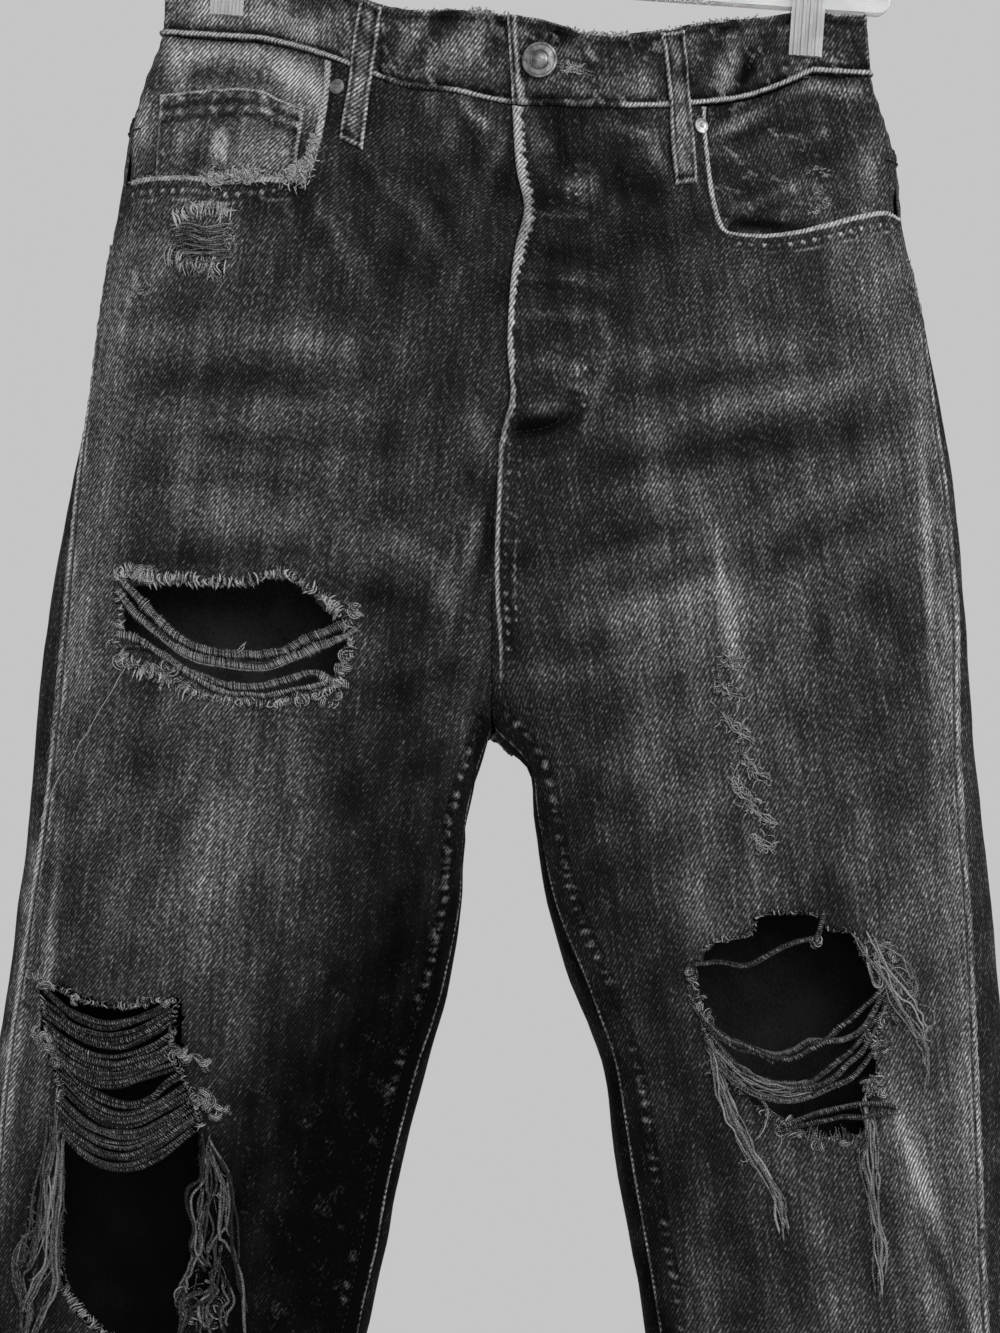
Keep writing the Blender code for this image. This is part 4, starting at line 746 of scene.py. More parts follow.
def add_piece(name, points, faces, shades, stands_for, uv, marks):
    """A smooth mesh object that rides on the root body.

    points are millimetres, faces an array of quads, stands_for the solids that it replaces,
    uv one pair a point in millimetres, and marks a value a point for each named attribute.
    """
    faces = np.asarray(faces, dtype=np.int32)
    points = np.asarray(points, dtype=np.float64).reshape(-1, 3)
    used = np.zeros(len(points), bool)
    used[faces.ravel()] = True
    renumber = np.cumsum(used) - 1
    faces = renumber[faces].astype(np.int32)
    count, corners = faces.shape
    mesh = bpy.data.meshes.new(name)
    mesh.vertices.add(int(used.sum()))
    mesh.vertices.foreach_set("co", (points[used] * MM).astype(np.float32).ravel())
    mesh.loops.add(count * corners)
    mesh.loops.foreach_set("vertex_index", faces.ravel())
    mesh.polygons.add(count)
    mesh.polygons.foreach_set("loop_start", np.arange(0, count * corners, corners, dtype=np.int32))
    mesh.polygons.foreach_set("loop_total", np.full(count, corners, dtype=np.int32))
    mesh.update(calc_edges=True)
    layer = mesh.uv_layers.new(name="grain")
    pairs = (np.asarray(uv, float).reshape(-1, 2)[used] * MM).astype(np.float32)
    layer.data.foreach_set("uv", pairs[faces.ravel()].ravel())
    for key, values in marks.items():
        layer = mesh.attributes.new(key, "FLOAT", "POINT")
        layer.data.foreach_set("value", np.ravel(values)[used].astype(np.float32))
    mesh.shade_smooth()
    for shade in shades:
        mesh.materials.append(shade)
    obj = bpy.data.objects.new(name, mesh)
    bpy.context.scene.collection.objects.link(obj)
    if stands_for:
        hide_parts(*stands_for)
    stands_for[0] if stands_for else SLOTS[name]
    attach(obj, "root")
    return obj


def grid_faces(rows, cols, ring=False):
    """Quads between the points of a grid, the last column met to the first on a ring."""
    index = np.arange(rows * cols).reshape(rows, cols)
    if ring:
        index = np.concatenate([index, index[:, :1]], axis=1)
    return quads_of(index)


def quads_of(index):
    """The quads between a grid's points, given as their numbers."""
    corners = (index[:-1, :-1], index[1:, :-1], index[1:, 1:], index[:-1, 1:])
    return np.stack([corner.ravel() for corner in corners], axis=-1)


def faces_out(points, faces, normals):
    """The faces, turned over if most of them point against the surface's own normals."""
    flat = np.asarray(points).reshape(-1, 3)
    a, b, d = flat[faces[:, 0]], flat[faces[:, 1]], flat[faces[:, -1]]
    side = np.einsum("ij,ij->i", np.cross(b - a, d - a), np.asarray(normals).reshape(-1, 3)[faces[:, 0]])
    return faces[:, ::-1] if np.median(side) < 0 else faces


def thicken(obj, thickness):
    """A live Solidify that gives the cloth its thickness, inwards.

    The inner side has the piece's second finish and the cut edge its third.
    """
    solid = obj.modifiers.new("cloth thickness", "SOLIDIFY")
    solid.thickness = thickness * MM
    solid.offset = -1.0
    solid.use_even_offset = False
    solid.material_offset = 1
    solid.material_offset_rim = 2


TUBE_SIDES = 4
TUBE_TIP = 0.05  # an end's radius, as a share of the thread's


def tubes(paths, radius):
    """Points, faces and uv of round threads, one along each path of places.

    Each ring is the path's point plus radius times (cos a, sin a) in the two directions
    square to the path; the ends taper and are capped.
    """
    paths = np.asarray(paths, float)
    if paths.ndim == 2:
        paths = paths[None]
    count, steps = paths.shape[:2]
    radius = np.broadcast_to(np.asarray(radius, float), (count, steps)).copy()
    radius[:, [0, -1]] *= TUBE_TIP
    ahead = np.gradient(paths, axis=1)
    ahead = ahead / np.maximum(np.linalg.norm(ahead, axis=2, keepdims=True), 1e-9)
    across = np.cross(ahead, np.array([0.12, 1.0, 0.07]))
    across = across / np.maximum(np.linalg.norm(across, axis=2, keepdims=True), 1e-9)
    up = np.cross(across, ahead)
    angles = np.arange(TUBE_SIDES) / TUBE_SIDES * 2 * math.pi
    ring = (
        across[:, :, None] * np.cos(angles)[:, None] + up[:, :, None] * np.sin(angles)[:, None]
    ) * radius[:, :, None, None]
    points = paths[:, :, None] + ring
    index = np.arange(count * steps * TUBE_SIDES).reshape(count, steps, TUBE_SIDES)
    turned = np.roll(index, -1, axis=2)
    quads = np.stack([
        index[:, :-1].ravel(), turned[:, :-1].ravel(), turned[:, 1:].ravel(), index[:, 1:].ravel(),
    ], axis=-1)
    quads = np.concatenate([quads, index[:, 0, ::-1], index[:, -1]])
    run = np.concatenate([
        np.zeros((count, 1)), np.cumsum(np.linalg.norm(np.diff(paths, axis=1), axis=2), axis=1),
    ], axis=1)
    uv = np.stack(np.broadcast_arrays(
        angles[None, None] * np.maximum(radius, 0.1)[:, :, None], run[:, :, None]
    ), axis=-1)
    return points.reshape(-1, 3), quads, uv.reshape(-1, 2), (steps * TUBE_SIDES, count)


def thread_piece(name, bunches, shades, stands_for=(), share=None):
    """One piece from bunches of threads: paths, radius, and how pale each thread is.

    share makes every thread thicker or thinner.
    """
    share = bpy.context.scene.jeans_threads.yarn_thickness if share is None else share
    points, faces, uvs, tones, start = [], [], [], [], 0
    for paths, radius, tone in bunches:
        p, f, uv, (per, count) = tubes(paths, np.asarray(radius, float) * share)
        points.append(p)
        faces.append(f + start)
        uvs.append(uv)
        tones.append(np.repeat(np.broadcast_to(np.asarray(tone, float), (count,)), per))
        start += len(p)
    add_piece(
        name, np.concatenate(points), np.concatenate(faces), shades, stands_for,
        np.concatenate(uvs), {"tone": np.concatenate(tones)},
    )


# Finishes ---------------------------------------------------------------------------------


def new_look(name, **settings):
    """A node material, with constants set on the shader's own sockets."""
    material = bpy.data.materials.new(name)
    material.use_nodes = True
    tree = material.node_tree
    shader = tree.nodes["Principled BSDF"]
    for key, value in settings.items():
        shader.inputs[key.replace("_", " ")].default_value = value
    return material, tree, shader


def put(tree, socket, value):
    """Sets a socket to a number or joins it to another node's output."""
    if isinstance(value, bpy.types.NodeSocket):
        tree.links.new(value, socket)
    else:
        socket.default_value = value


def calc(tree, operation, *terms):
    """A Math node over sockets and numbers."""
    node = tree.nodes.new("ShaderNodeMath")
    node.operation = operation
    for socket, term in zip(node.inputs, terms):
        put(tree, socket, term)
    return node.outputs[0]


def mapped(tree, vector, scale, turn=0.0):
    """The vector, scaled and turned in its own plane."""
    node = tree.nodes.new("ShaderNodeMapping")
    node.inputs["Rotation"].default_value = (0, 0, math.radians(turn))
    node.inputs["Scale"].default_value = (*scale, 1.0)
    put(tree, node.inputs["Vector"], vector)
    return node.outputs[0]


def noise(tree, vector, scale, turn, detail, rough=0.5):
    """Noise about 0, from -1 to 1, whose grains measure 1 over scale."""
    lean = mapped(tree, vector, (1, 1), turn) if turn else vector
    node = tree.nodes.new("ShaderNodeTexNoise")
    node.noise_dimensions = "2D"
    node.inputs["Scale"].default_value = 1.0
    node.inputs["Detail"].default_value = detail
    node.inputs["Roughness"].default_value = rough
    put(tree, node.inputs["Vector"], mapped(tree, lean, scale))
    return calc(tree, "MULTIPLY_ADD", node.outputs["Fac"], 3.2, -1.6)


def ramp(tree, value, low, high, from_value=0.0, to_value=1.0):
    """A smooth rise from from_value to to_value as value goes from low to high."""
    node = tree.nodes.new("ShaderNodeMapRange")
    node.interpolation_type = "SMOOTHSTEP"
    put(tree, node.inputs["Value"], value)
    put(tree, node.inputs["From Min"], low)
    put(tree, node.inputs["From Max"], high)
    put(tree, node.inputs["To Min"], from_value)
    put(tree, node.inputs["To Max"], to_value)
    return node.outputs["Result"]


def tinted(tree, value, colour):
    """The colour times a number."""
    node = tree.nodes.new("ShaderNodeVectorMath")
    node.operation = "SCALE"
    node.inputs[0].default_value = tuple(colour)
    put(tree, node.inputs["Scale"], value)
    return node.outputs[0]


def blend(tree, factor, a, b):
    """Colour a, going over to colour b as the factor rises from 0 to 1."""
    node = tree.nodes.new("ShaderNodeMix")
    node.data_type = "VECTOR"
    for key, value in (("Factor_Float", factor), ("A_Vector", a), ("B_Vector", b)):
        put(tree, next(s for s in node.inputs if s.identifier == key), value)
    return next(s for s in node.outputs if s.identifier == "Result_Vector")


def summed(tree, a, b):
    """Two colours added."""
    node = tree.nodes.new("ShaderNodeVectorMath")
    put(tree, node.inputs[0], a)
    put(tree, node.inputs[1], b)
    return node.outputs[0]


def mark(tree, name):
    """A painted attribute of the mesh."""
    node = tree.nodes.new("ShaderNodeAttribute")
    node.attribute_name = name
    return node.outputs["Fac"]


def grain_plane(tree):
    """The piece's own grain coordinates, in millimetres."""
    node = tree.nodes.new("ShaderNodeUVMap")
    node.uv_map = "grain"
    return mapped(tree, node.outputs["UV"], (1000, 1000))


def bump(tree, shader, height, distance, strength):
    """Fine relief in the shader's normal; distance is in millimetres."""
    node = tree.nodes.new("ShaderNodeBump")
    node.inputs["Strength"].default_value = strength
    node.inputs["Distance"].default_value = distance * MM
    put(tree, node.inputs["Height"], height)
    tree.links.new(node.outputs["Normal"], shader.inputs["Normal"])


WAVE_SCALE = 0.3142  # the Scale at which a wave texture repeats once a unit


def denim(name, mottle):
    """Washed black denim.

    Twill lines are a sine wave across the grain's slant. On them, noise drawn out along the
    slant bares single floats of the pale weft, and the mark of fading and painted shade says
    how many and how grey the warp between them is, so painted shade darkens the warp too.
    Slubs are noise drawn out down the grain. rub blends in cloth that is worn pale all over,
    and mottle says how much of that is in every blotch.
    """
    cloth = bpy.context.scene.jeans_cloth
    material, tree, shader = new_look(name, Roughness=0.93, Specular_IOR_Level=0.05)
    plane = grain_plane(tree)
    twill = tree.nodes.new("ShaderNodeTexWave")
    twill.wave_profile = "SIN"
    twill.inputs["Scale"].default_value = WAVE_SCALE / (cloth.twill / MM)
    twill.inputs["Distortion"].default_value = 1.6
    twill.inputs["Detail"].default_value = 1.0
    twill.inputs["Detail Scale"].default_value = 1.3
    put(tree, twill.inputs["Vector"], mapped(tree, plane, (1, 1), -33))
    line = calc(tree, "MULTIPLY_ADD", twill.outputs["Fac"], 2.0, -1.0)
    ridge = ramp(tree, line, -0.7, 0.9, 0.30, 1.60)
    floats = noise(tree, plane, (0.70, 0.42), -31, 2.0, 0.6)
    slub = noise(tree, plane, (0.6, 0.03), 0, 2.0, 0.55)
    cloud = noise(tree, plane, (0.06, 0.05), 0, 3.0, 0.6)
    blotch = noise(tree, plane, (0.11, 0.07), 40, 3.0, 0.65)
    # The mark read here holds the dye's fading and also painted shade, darker in crease hollows, stitched grooves
    # and other places where shade falls.
    faded = calc(tree, "MULTIPLY_ADD", cloud, 0.09, mark(tree, "fade_and_shade"))
    worn = calc(tree, "MULTIPLY_ADD", ramp(tree, blotch, 0.05, 0.75), mottle, mark(tree, "rub"))
    level = calc(tree, "MULTIPLY_ADD", slub, 0.22, calc(tree, "MULTIPLY", floats, 0.50))
    level = calc(tree, "MULTIPLY_ADD", faded, 1.35, level)
    shown = calc(tree, "POWER", ramp(tree, level, -0.60, 1.55), 2.7)
    even = ramp(tree, faded, -0.42, 0.45, 0.046, 1)
    even = calc(tree, "MULTIPLY", even, ramp(tree, line, -1, 1, 0.7, 1.3))
    base = summed(tree, tinted(tree, calc(tree, "MULTIPLY", shown, ridge), cloth.weft_colour),
                  tinted(tree, even, cloth.warp_colour))
    soft = calc(tree, "MULTIPLY_ADD", floats, 0.36, calc(tree, "MULTIPLY_ADD", line, 0.36, 0.62))
    soft = tinted(tree, calc(tree, "MAXIMUM", soft, 0.05), cloth.rubbed_colour)
    edge = ramp(tree, calc(tree, "MULTIPLY_ADD", floats, 0.12, worn), 0.04, 1.05)
    put(tree, shader.inputs["Base Color"], blend(tree, edge, base, soft))
    height = calc(tree, "MULTIPLY_ADD", line, 0.6, calc(tree, "MULTIPLY", floats, 0.5))
    bump(tree, shader, height, 0.22, 0.45)
    return material


def lining():
    """The cloth's inner side, dark grey; deep is painted light, how much paler than black it is made where light
    comes in through the holes.
    """
    material, tree, shader = new_look("denim inside", Roughness=0.95, Specular_IOR_Level=0.1)
    plane = grain_plane(tree)
    speckle = noise(tree, plane, (0.8, 0.5), 30, 2.0)
    cloud = noise(tree, plane, (0.05, 0.04), 0, 3.0)
    shade = ramp(tree, calc(tree, "ADD", speckle, cloud), -1.4, 1.4, 0.41, 1)
    # deep paints light: the inner side is made paler where light comes in through the holes.
    shade = calc(tree, "MULTIPLY", shade, calc(tree, "ADD", mark(tree, "deep"), 1.1))
    colour = bpy.context.scene.jeans_cloth.inside_colour
    put(tree, shader.inputs["Base Color"], tinted(tree, shade, colour))
    bump(tree, shader, speckle, 0.2, 0.3)
    return material


def yarn(name, colour, low):
    """Loose cotton yarn: pale turns of the twist round each thread, and a tone of its own.

    low is how pale the darkest yarn is, as a share of the colour.
    """
    material, tree, shader = new_look(name, Roughness=0.95, Specular_IOR_Level=0.12)
    plane = grain_plane(tree)
    twist = tree.nodes.new("ShaderNodeTexWave")
    twist.inputs["Scale"].default_value = WAVE_SCALE / 1.1
    twist.inputs["Distortion"].default_value = 1.5
    put(tree, twist.inputs["Vector"], mapped(tree, plane, (1, 1), 50))
    fuzz = noise(tree, plane, (1.2, 0.5), 0, 2.0)
    level = calc(tree, "MULTIPLY_ADD", twist.outputs["Fac"], 0.45, calc(tree, "MULTIPLY", fuzz, 0.40))
    level = calc(tree, "ADD", level, mark(tree, "tone"))
    put(tree, shader.inputs["Base Color"], tinted(tree, ramp(tree, level, 0.0, 1.4, low, 1), colour))
    bump(tree, shader, twist.outputs["Fac"], 0.2, 0.5)
    return material


def torn():
    """The cut edge of torn cloth: ends of yarn, light and dark."""
    material, tree, shader = new_look("torn edge", Roughness=0.95, Specular_IOR_Level=0.1)
    ends = noise(tree, grain_plane(tree), (0.9, 0.9), 0, 2.0)
    shade = ramp(tree, ends, -0.8, 0.9, 0.036, 0.29)
    colour = bpy.context.scene.jeans_cloth.weft_colour
    put(tree, shader.inputs["Base Color"], tinted(tree, shade, colour))
    return material


# Panels -----------------------------------------------------------------------------------


def front_x(side, share, down):
    """x across a front: an even share of the turn from the outseam to the fly or inseam."""
    middle, half, _ = leg_frame(side, down)
    outseam, _, inner = seam_turns(side, down)
    fly = fly_x(down) + side * HALF_GAP
    fly_turn = np.arccos(np.clip((fly - middle) / half * side, -1, 1))
    stop = np.where(down < FLY_END, fly_turn, inner)
    start = outseam + HALF_GAP / half
    stop = np.where(down > CROTCH_DOWN - 1, inner - HALF_GAP / half, stop)
    return middle + side * half * np.cos(start + (stop - start) * share)


def front_skin(side, x, down):
    """Points and normals of the front, past the centre on the other side's skin."""
    points, normals = np.zeros(x.shape + (3,)), np.zeros(x.shape + (3,))
    beyond = (down < FLY_END) & ((x - CENTRE_X) * side < 0)
    for here, owner in ((~beyond, side), (beyond, -side)):
        if here.any():
            turn = turn_at(owner, x[here], down[here], "front")
            points[here] = skin(owner, turn, down[here])
            normals[here] = skin_normal(owner, turn, down[here])
    return points, normals


def front_cuts(side):
    """The outlines cut out of a front: its pocket's mouth and its torn holes."""
    if side < 0:
        return [mouth(POCKET_MOUTH_RIGHT), ragged(THIGH_HOLE, 21), ragged(RIGHT_KNEE_HOLE, 23)]
    return [mouth(POCKET_MOUTH_LEFT), ragged(LEFT_KNEE_HOLE, 25)]


def fly_lift(side, x, down):
    """The left front lies over the right one along the fly."""
    gap = side * (x - fly_x(down))
    over = 1.2 * (1 - ease(gap / 14)) if side > 0 else -0.9 * (1 - ease(gap / 8))
    return over * (down < 262) * (1 - ease((down - 225) / 37))


# A front's grid: square cells as far as the knees' holes reach, long ones below them.
FRONT_WIDTH = 290.0
FINE_END = 647
COARSE_START = 650
COARSE_ROWS = 48
LEG_START = 335  # from here down the inseam is pressed and rubbed


def make_front(side, name, shades, cell):
    """One front, its grid moved on to the torn outlines, as thin as denim.

    A point within about half a cell of an outline moves on to it, and the faces inside the
    outlines go.
    """
    downs = np.concatenate([
        np.arange(HALF_GAP, FINE_END, cell), np.linspace(COARSE_START, PANEL_END, COARSE_ROWS),
    ])
    share, down = np.meshgrid(np.linspace(0, 1, int(FRONT_WIDTH / cell)), downs)
    x = front_x(side, share, down)
    keep = np.ones(x.shape, bool)
    for outline in front_cuts(side):
        low, high = outline.min(0) - 4, outline.max(0) + 4
        box = (x > low[0]) & (x < high[0]) & (down > low[1]) & (down < high[1])
        gap, near = outline_gap(x[box], down[box], outline)
        close = (np.abs(gap) < cell * 0.52) & (near[:, 1] > 0.2)
        x[box] = np.where(close, near[:, 0], x[box])
        down[box] = np.where(close, near[:, 1], down[box])
        keep[box] &= (gap > 0) | close
    u = grain_u("front", side, turn_at(side, x, down, "front"), down)
    points, normals = front_skin(side, x, down)
    lift, from_in = cloth_lift("front", side, x, down, u)
    if side < 0:
        lift = lift - 0.5 * bell(from_in, 0, 2) * (down > LEG_START)
    rub = 0.30 * bell(from_in, 0, 2.2) * (down > LEG_START)
    points = points + normals * lift[..., None]
    faces = faces_out(points, grid_faces(*x.shape), normals)
    faces = faces[keep.ravel()[faces].all(axis=1)]
    obj = add_piece(
        name, points, faces, shades, (name.replace("denim_", ""),), np.stack([u, down], axis=-1),
        {"fade_and_shade": washed_and_shaded("front", x, down, u), "rub": rub},
    )
    thicken(obj, bpy.context.scene.jeans_cloth.thickness / MM)


def yoke_down(x):
    """The yoke seam's down, lowest at the centre back."""
    return YOKE_CENTRE + (YOKE_SIDE - YOKE_CENTRE) * np.abs(x - CENTRE_X) / YOKE_WIDTH


def back_turn(side, share, down):
    """The turn across a back: an even share from the outseam to the centre seam or inseam."""
    outseam, centre, inner = seam_turns(side, down)
    _, half, _ = leg_frame(side, down)
    start = -outseam + HALF_GAP / half
    stop = np.where(down > CROTCH_DOWN, 2 * math.pi - inner, centre)
    stop = np.where(down > CROTCH_DOWN - 1, stop - HALF_GAP / half, stop)
    return start + (stop - start) * share


BACK_WIDTH = 260.0


def make_back(side, name, shades, rows, share, node):
    """A back or a yoke. rows gives each column's downs."""
    share, down = np.broadcast_arrays(share, rows)
    turn = back_turn(side, share, down)
    wrapped = (turn + math.pi) % (2 * math.pi) - math.pi
    middle, half, _ = leg_frame(side, down)
    x = middle + side * half * np.cos(turn)
    u = grain_u("back", side, np.where(turn > math.pi, math.pi, turn), down)
    u = u + side * np.where(turn > math.pi, (turn - math.pi) * half * 0.5, 0)
    points, normals = skin(side, wrapped, down), skin_normal(side, wrapped, down)
    edge = np.minimum(share, 1 - share) * BACK_WIDTH
    pull = np.sin(down * 2 * math.pi / 9 + waves(u, down, 30, 33)) * 0.3
    lift = relief("back", x, down, u) * ease(edge / 12 + 0.1) + pull * bell(edge, 9, 6)
    # inner paints shade: below the crotch the back is made darker and less rubbed along its inseam edge, its side
    # turned away between the legs.
    inner = (share > 0.5) * ease((down - CROTCH_DOWN) / 20) * bell(edge, 0, 16)
    rub = 0.5 * bell(edge, 0, 3.5) * (0.6 + 0.4 * np.sin(down * 0.7)) * (1 - inner)
    outer = (share < 0.5) * (side < 0) * ease((down - 330) / 60) * bell(edge, 0, 16)
    fade_and_shade = washed_and_shaded("back", x, down, u) - 0.34 * inner + 0.26 * outer * (1 + waves(u, down, 26, 34))
    points = points + normals * lift[..., None]
    # deep carries painted light for the inner side, paler behind the holes.
    obj = add_piece(
        name, points, faces_out(points, grid_faces(*x.shape), normals), shades, (node,),
        np.stack([u, down], axis=-1), {"fade_and_shade": fade_and_shade, "rub": rub, "deep": painted_hole_light(x, down)},
    )
    thicken(obj, bpy.context.scene.jeans_cloth.thickness / MM)


def painted_hole_light(x, down):
    """Painted light on the back's inner side: how much paler it is made behind the thigh's and the left knee's
    holes, where light comes in through them.
    """
    thigh = bell(x, -130, 80) * bell(down, 290, 60)
    knee = bell(x, 140, 70) * bell(down, 480, 60)
    return 11.0 * thigh + 3.8 * knee


BACK_COLUMNS = 64
YOKE_ROWS = 28
SEAT_ROWS = 46  # from the yoke to SEAT_DEEP below its seam, following it
SEAT_DEEP = 300.0
THIGH_START = 305.6  # below here a back's rows are level
THIGH_ROWS = 106


def make_panels():
    """The fronts, the yokes and the backs."""
    cell = bpy.context.scene.jeans_cloth.grid / MM
    shades = [look("panel"), look("inside"), look("torn")]
    share = np.linspace(0, 1, BACK_COLUMNS)
    yoke_steps = np.linspace(0, 1, YOKE_ROWS)[:, None]
    seat_steps = np.linspace(0, 1, SEAT_ROWS)[:, None]
    legs = np.repeat(np.linspace(THIGH_START, PANEL_END, THIGH_ROWS)[:, None], BACK_COLUMNS, 1)
    for side, name in ((-1, "right"), (1, "left")):
        make_front(side, "denim_front_" + name, shades, cell)
        seam = yoke_down(at_share_x(side, share))
        make_back(side, "denim_yoke_" + name, shades, HALF_GAP + (seam - SEAM_GAP) * yoke_steps,
                  share, "yoke_" + name)
        seat = seam + HALF_GAP + (SEAT_DEEP - seam) * seat_steps
        make_back(side, "denim_back_" + name, shades, np.concatenate([seat, legs]), share,
                  "back_" + name)


def at_share_x(side, share):
    """x along the yoke's seam, at each share of the back."""
    down = np.full(share.shape, YOKE_MIDDLE)
    middle, half, _ = leg_frame(side, down)
    return middle + side * half * np.cos(back_turn(side, share, down))


# Bands of cloth laid along the seams ------------------------------------------------------


def cloth_lift(face, side, x, down, u):
    """Height of a panel's own face above the skin, with the pull of its side seams.

    It also gives the distance from the inseam.
    """
    outseam, _, inner = seam_turns(side, down)
    from_out = np.abs(u - grain_u(face, side, -outseam, down))
    from_in = np.abs(u - grain_u(face, side, -inner if face == "front" else inner, down))
    lift = relief(face, x, down, u) * ease(from_out / 9 + 0.1)
    pull = np.sin(down * 2 * math.pi / 9 + waves(u, down, 30, 31)) * 0.28
    lift = lift + pull * bell(from_out, 9, 6)
    lift = lift - 0.5 * bell(from_out, 0, 2.2) * (down > 90)
    if face == "front":
        lift = lift + fly_lift(side, x, down)
    return lift, from_in


def to_grain(face, side, places):
    """Places given as x and down, as u and down."""
    places = np.asarray(places, float)
    return np.stack([place_u(face, side, places[:, 0], places[:, 1]), places[:, 1]], axis=1)


def run_of(path):
    """The distance gone along a path at each of its points."""
    steps = np.linalg.norm(np.diff(path, axis=0), axis=1)
    return np.concatenate([[0], np.cumsum(steps)])


def sides_of(path):
    """Along and across a path at each of its points, as unit steps."""
    ahead = np.gradient(path, axis=0)
    ahead = ahead / np.maximum(np.linalg.norm(ahead, axis=1, keepdims=True), 1e-6)
    return ahead, np.stack([-ahead[:, 1], ahead[:, 0]], axis=1)


def strip(face, side, path, section, bumps, rub, fade_and_shade, across=1):
    """A band of cloth along a path of (u, down), its cross-section carried along it.

    section is rows of (offset, height): the offset lies square to the path in the cloth, on
    the side that across picks, and the height is above the panel. bumps(run, offset) adds
    height, rub(run, offset) says how worn it is, and the fading argument is added to the
    panel's mark of fading and painted shade. The strip is its points, their normals and grain
    coordinates, its fading with painted shade, and its rub.
    """
    section = np.asarray(section, float)
    ahead, _ = sides_of(path)
    run, offset = np.meshgrid(run_of(path), section[:, 0], indexing="ij")
    u = path[:, :1] - across * ahead[:, 1:] * offset
    down = path[:, 1:] + across * ahead[:, :1] * offset
    bare, normals = cloth_at(face, side, u, down)
    lift = cloth_lift(face, side, bare[..., 0], down, u)[0] + section[:, 1] + bumps(run, offset)
    points = bare + normals * lift[..., None]
    tone = washed_and_shaded(face, bare[..., 0], down, u) + fade_and_shade
    return points, normals, np.stack([u, down], axis=-1), tone, rub(run, offset)


def lay(name, strips, shades):
    """One piece from strips."""
    points, faces, uvs, tones, worn, start = [], [], [], [], [], 0
    for p, n, uv, tone, rub in strips:
        faces.append(faces_out(p, grid_faces(*p.shape[:2]), n) + start)
        start += p.shape[0] * p.shape[1]
        points.append(p.reshape(-1, 3))
        uvs.append(uv.reshape(-1, 2))
        tones.append(tone.ravel())
        worn.append(rub.ravel())
    add_piece(
        name, np.concatenate(points), np.concatenate(faces), shades, (),
        np.concatenate(uvs), {"fade_and_shade": np.concatenate(tones), "rub": np.concatenate(worn)},
    )


def pulses(run, pitch, sharp, seed):
    """Short marks once every pitch, 0 to 1, each of its own strength and a little out of step."""
    rng = np.random.default_rng(seed)
    count = int(np.max(run) / pitch) + 3
    strength, shift = rng.uniform(0.35, 1.0, count), rng.uniform(-0.13, 0.13, count)
    beat = run / pitch
    which = np.clip(np.round(beat).astype(int), 0, count - 1)
    return strength[which] * np.exp(-(((beat - which - shift[which]) * pitch / sharp) ** 2))


STITCHES = []
STITCH_BOW = np.array([-0.2, 0.22, -0.2])  # a stitch's height at its ends and its middle


def sew(face, side, path, lift, tone, seed, share=1.0):
    """Rows of stitches along a path of (u, down), each a short bowed thread on the cloth.

    share of them are left; the others have worn away.
    """
    threads = bpy.context.scene.jeans_threads
    pitch, long = threads.stitch_pitch / MM, threads.stitch_length / MM
    run = run_of(path)
    rng = np.random.default_rng(seed)
    starts = np.arange(pitch / 2, run[-1] - pitch / 2, pitch)
    starts = starts[rng.random(len(starts)) < share]
    if not len(starts):
        return
    along = starts[:, None] + np.linspace(-0.5, 0.5, len(STITCH_BOW)) * long
    u = np.interp(along, run, path[:, 0]) + rng.normal(0, 0.09, len(starts))[:, None]
    down = np.interp(along, run, path[:, 1])
    bare, normals = cloth_at(face, side, u, down)
    height = cloth_lift(face, side, bare[..., 0], down, u)[0] + lift + STITCH_BOW
    STITCHES.append((bare + normals * height[..., None], threads.stitch_radius / MM,
                     tone + rng.uniform(-0.08, 0.1, len(starts))))


def beside(path, offset, across=1):
    """A path moved sideways in the cloth."""
    return path + across * offset * sides_of(path)[1]


# Pocket mouths ----------------------------------------------------------------------------

# Offset into the panel, height: the rolled edge, the doubled cloth and its step down.
MOUTH_SECTION = (
    (0.9, -1.5), (-0.3, -1.2), (-1.0, -0.5), (-1.1, 0.2), (-0.6, 0.95), (0.2, 1.3), (1.1, 1.3),
    (2.0, 1.05), (2.8, 0.8), (3.6, 0.55), (4.3, 0.35), (5.0, 0.6), (5.8, 0.85), (6.6, 0.85),
    (7.4, 0.6), (8.1, 0.35), (8.9, 0.6), (9.7, 0.75), (10.5, 0.6), (11.4, 0.0), (12.6, -0.45),
)


# Each front pocket's mouth: side, name, edge, how far along it the corner lies, the distance
# between its puckers, and how wide the rolled edge is worn above the corner.
MOUTHS = (
    (-1, "right", POCKET_MOUTH_RIGHT, 62.0, 5.7, 2.6),
    (1, "left", POCKET_MOUTH_LEFT, 74.0, 6.2, 1.2),
)


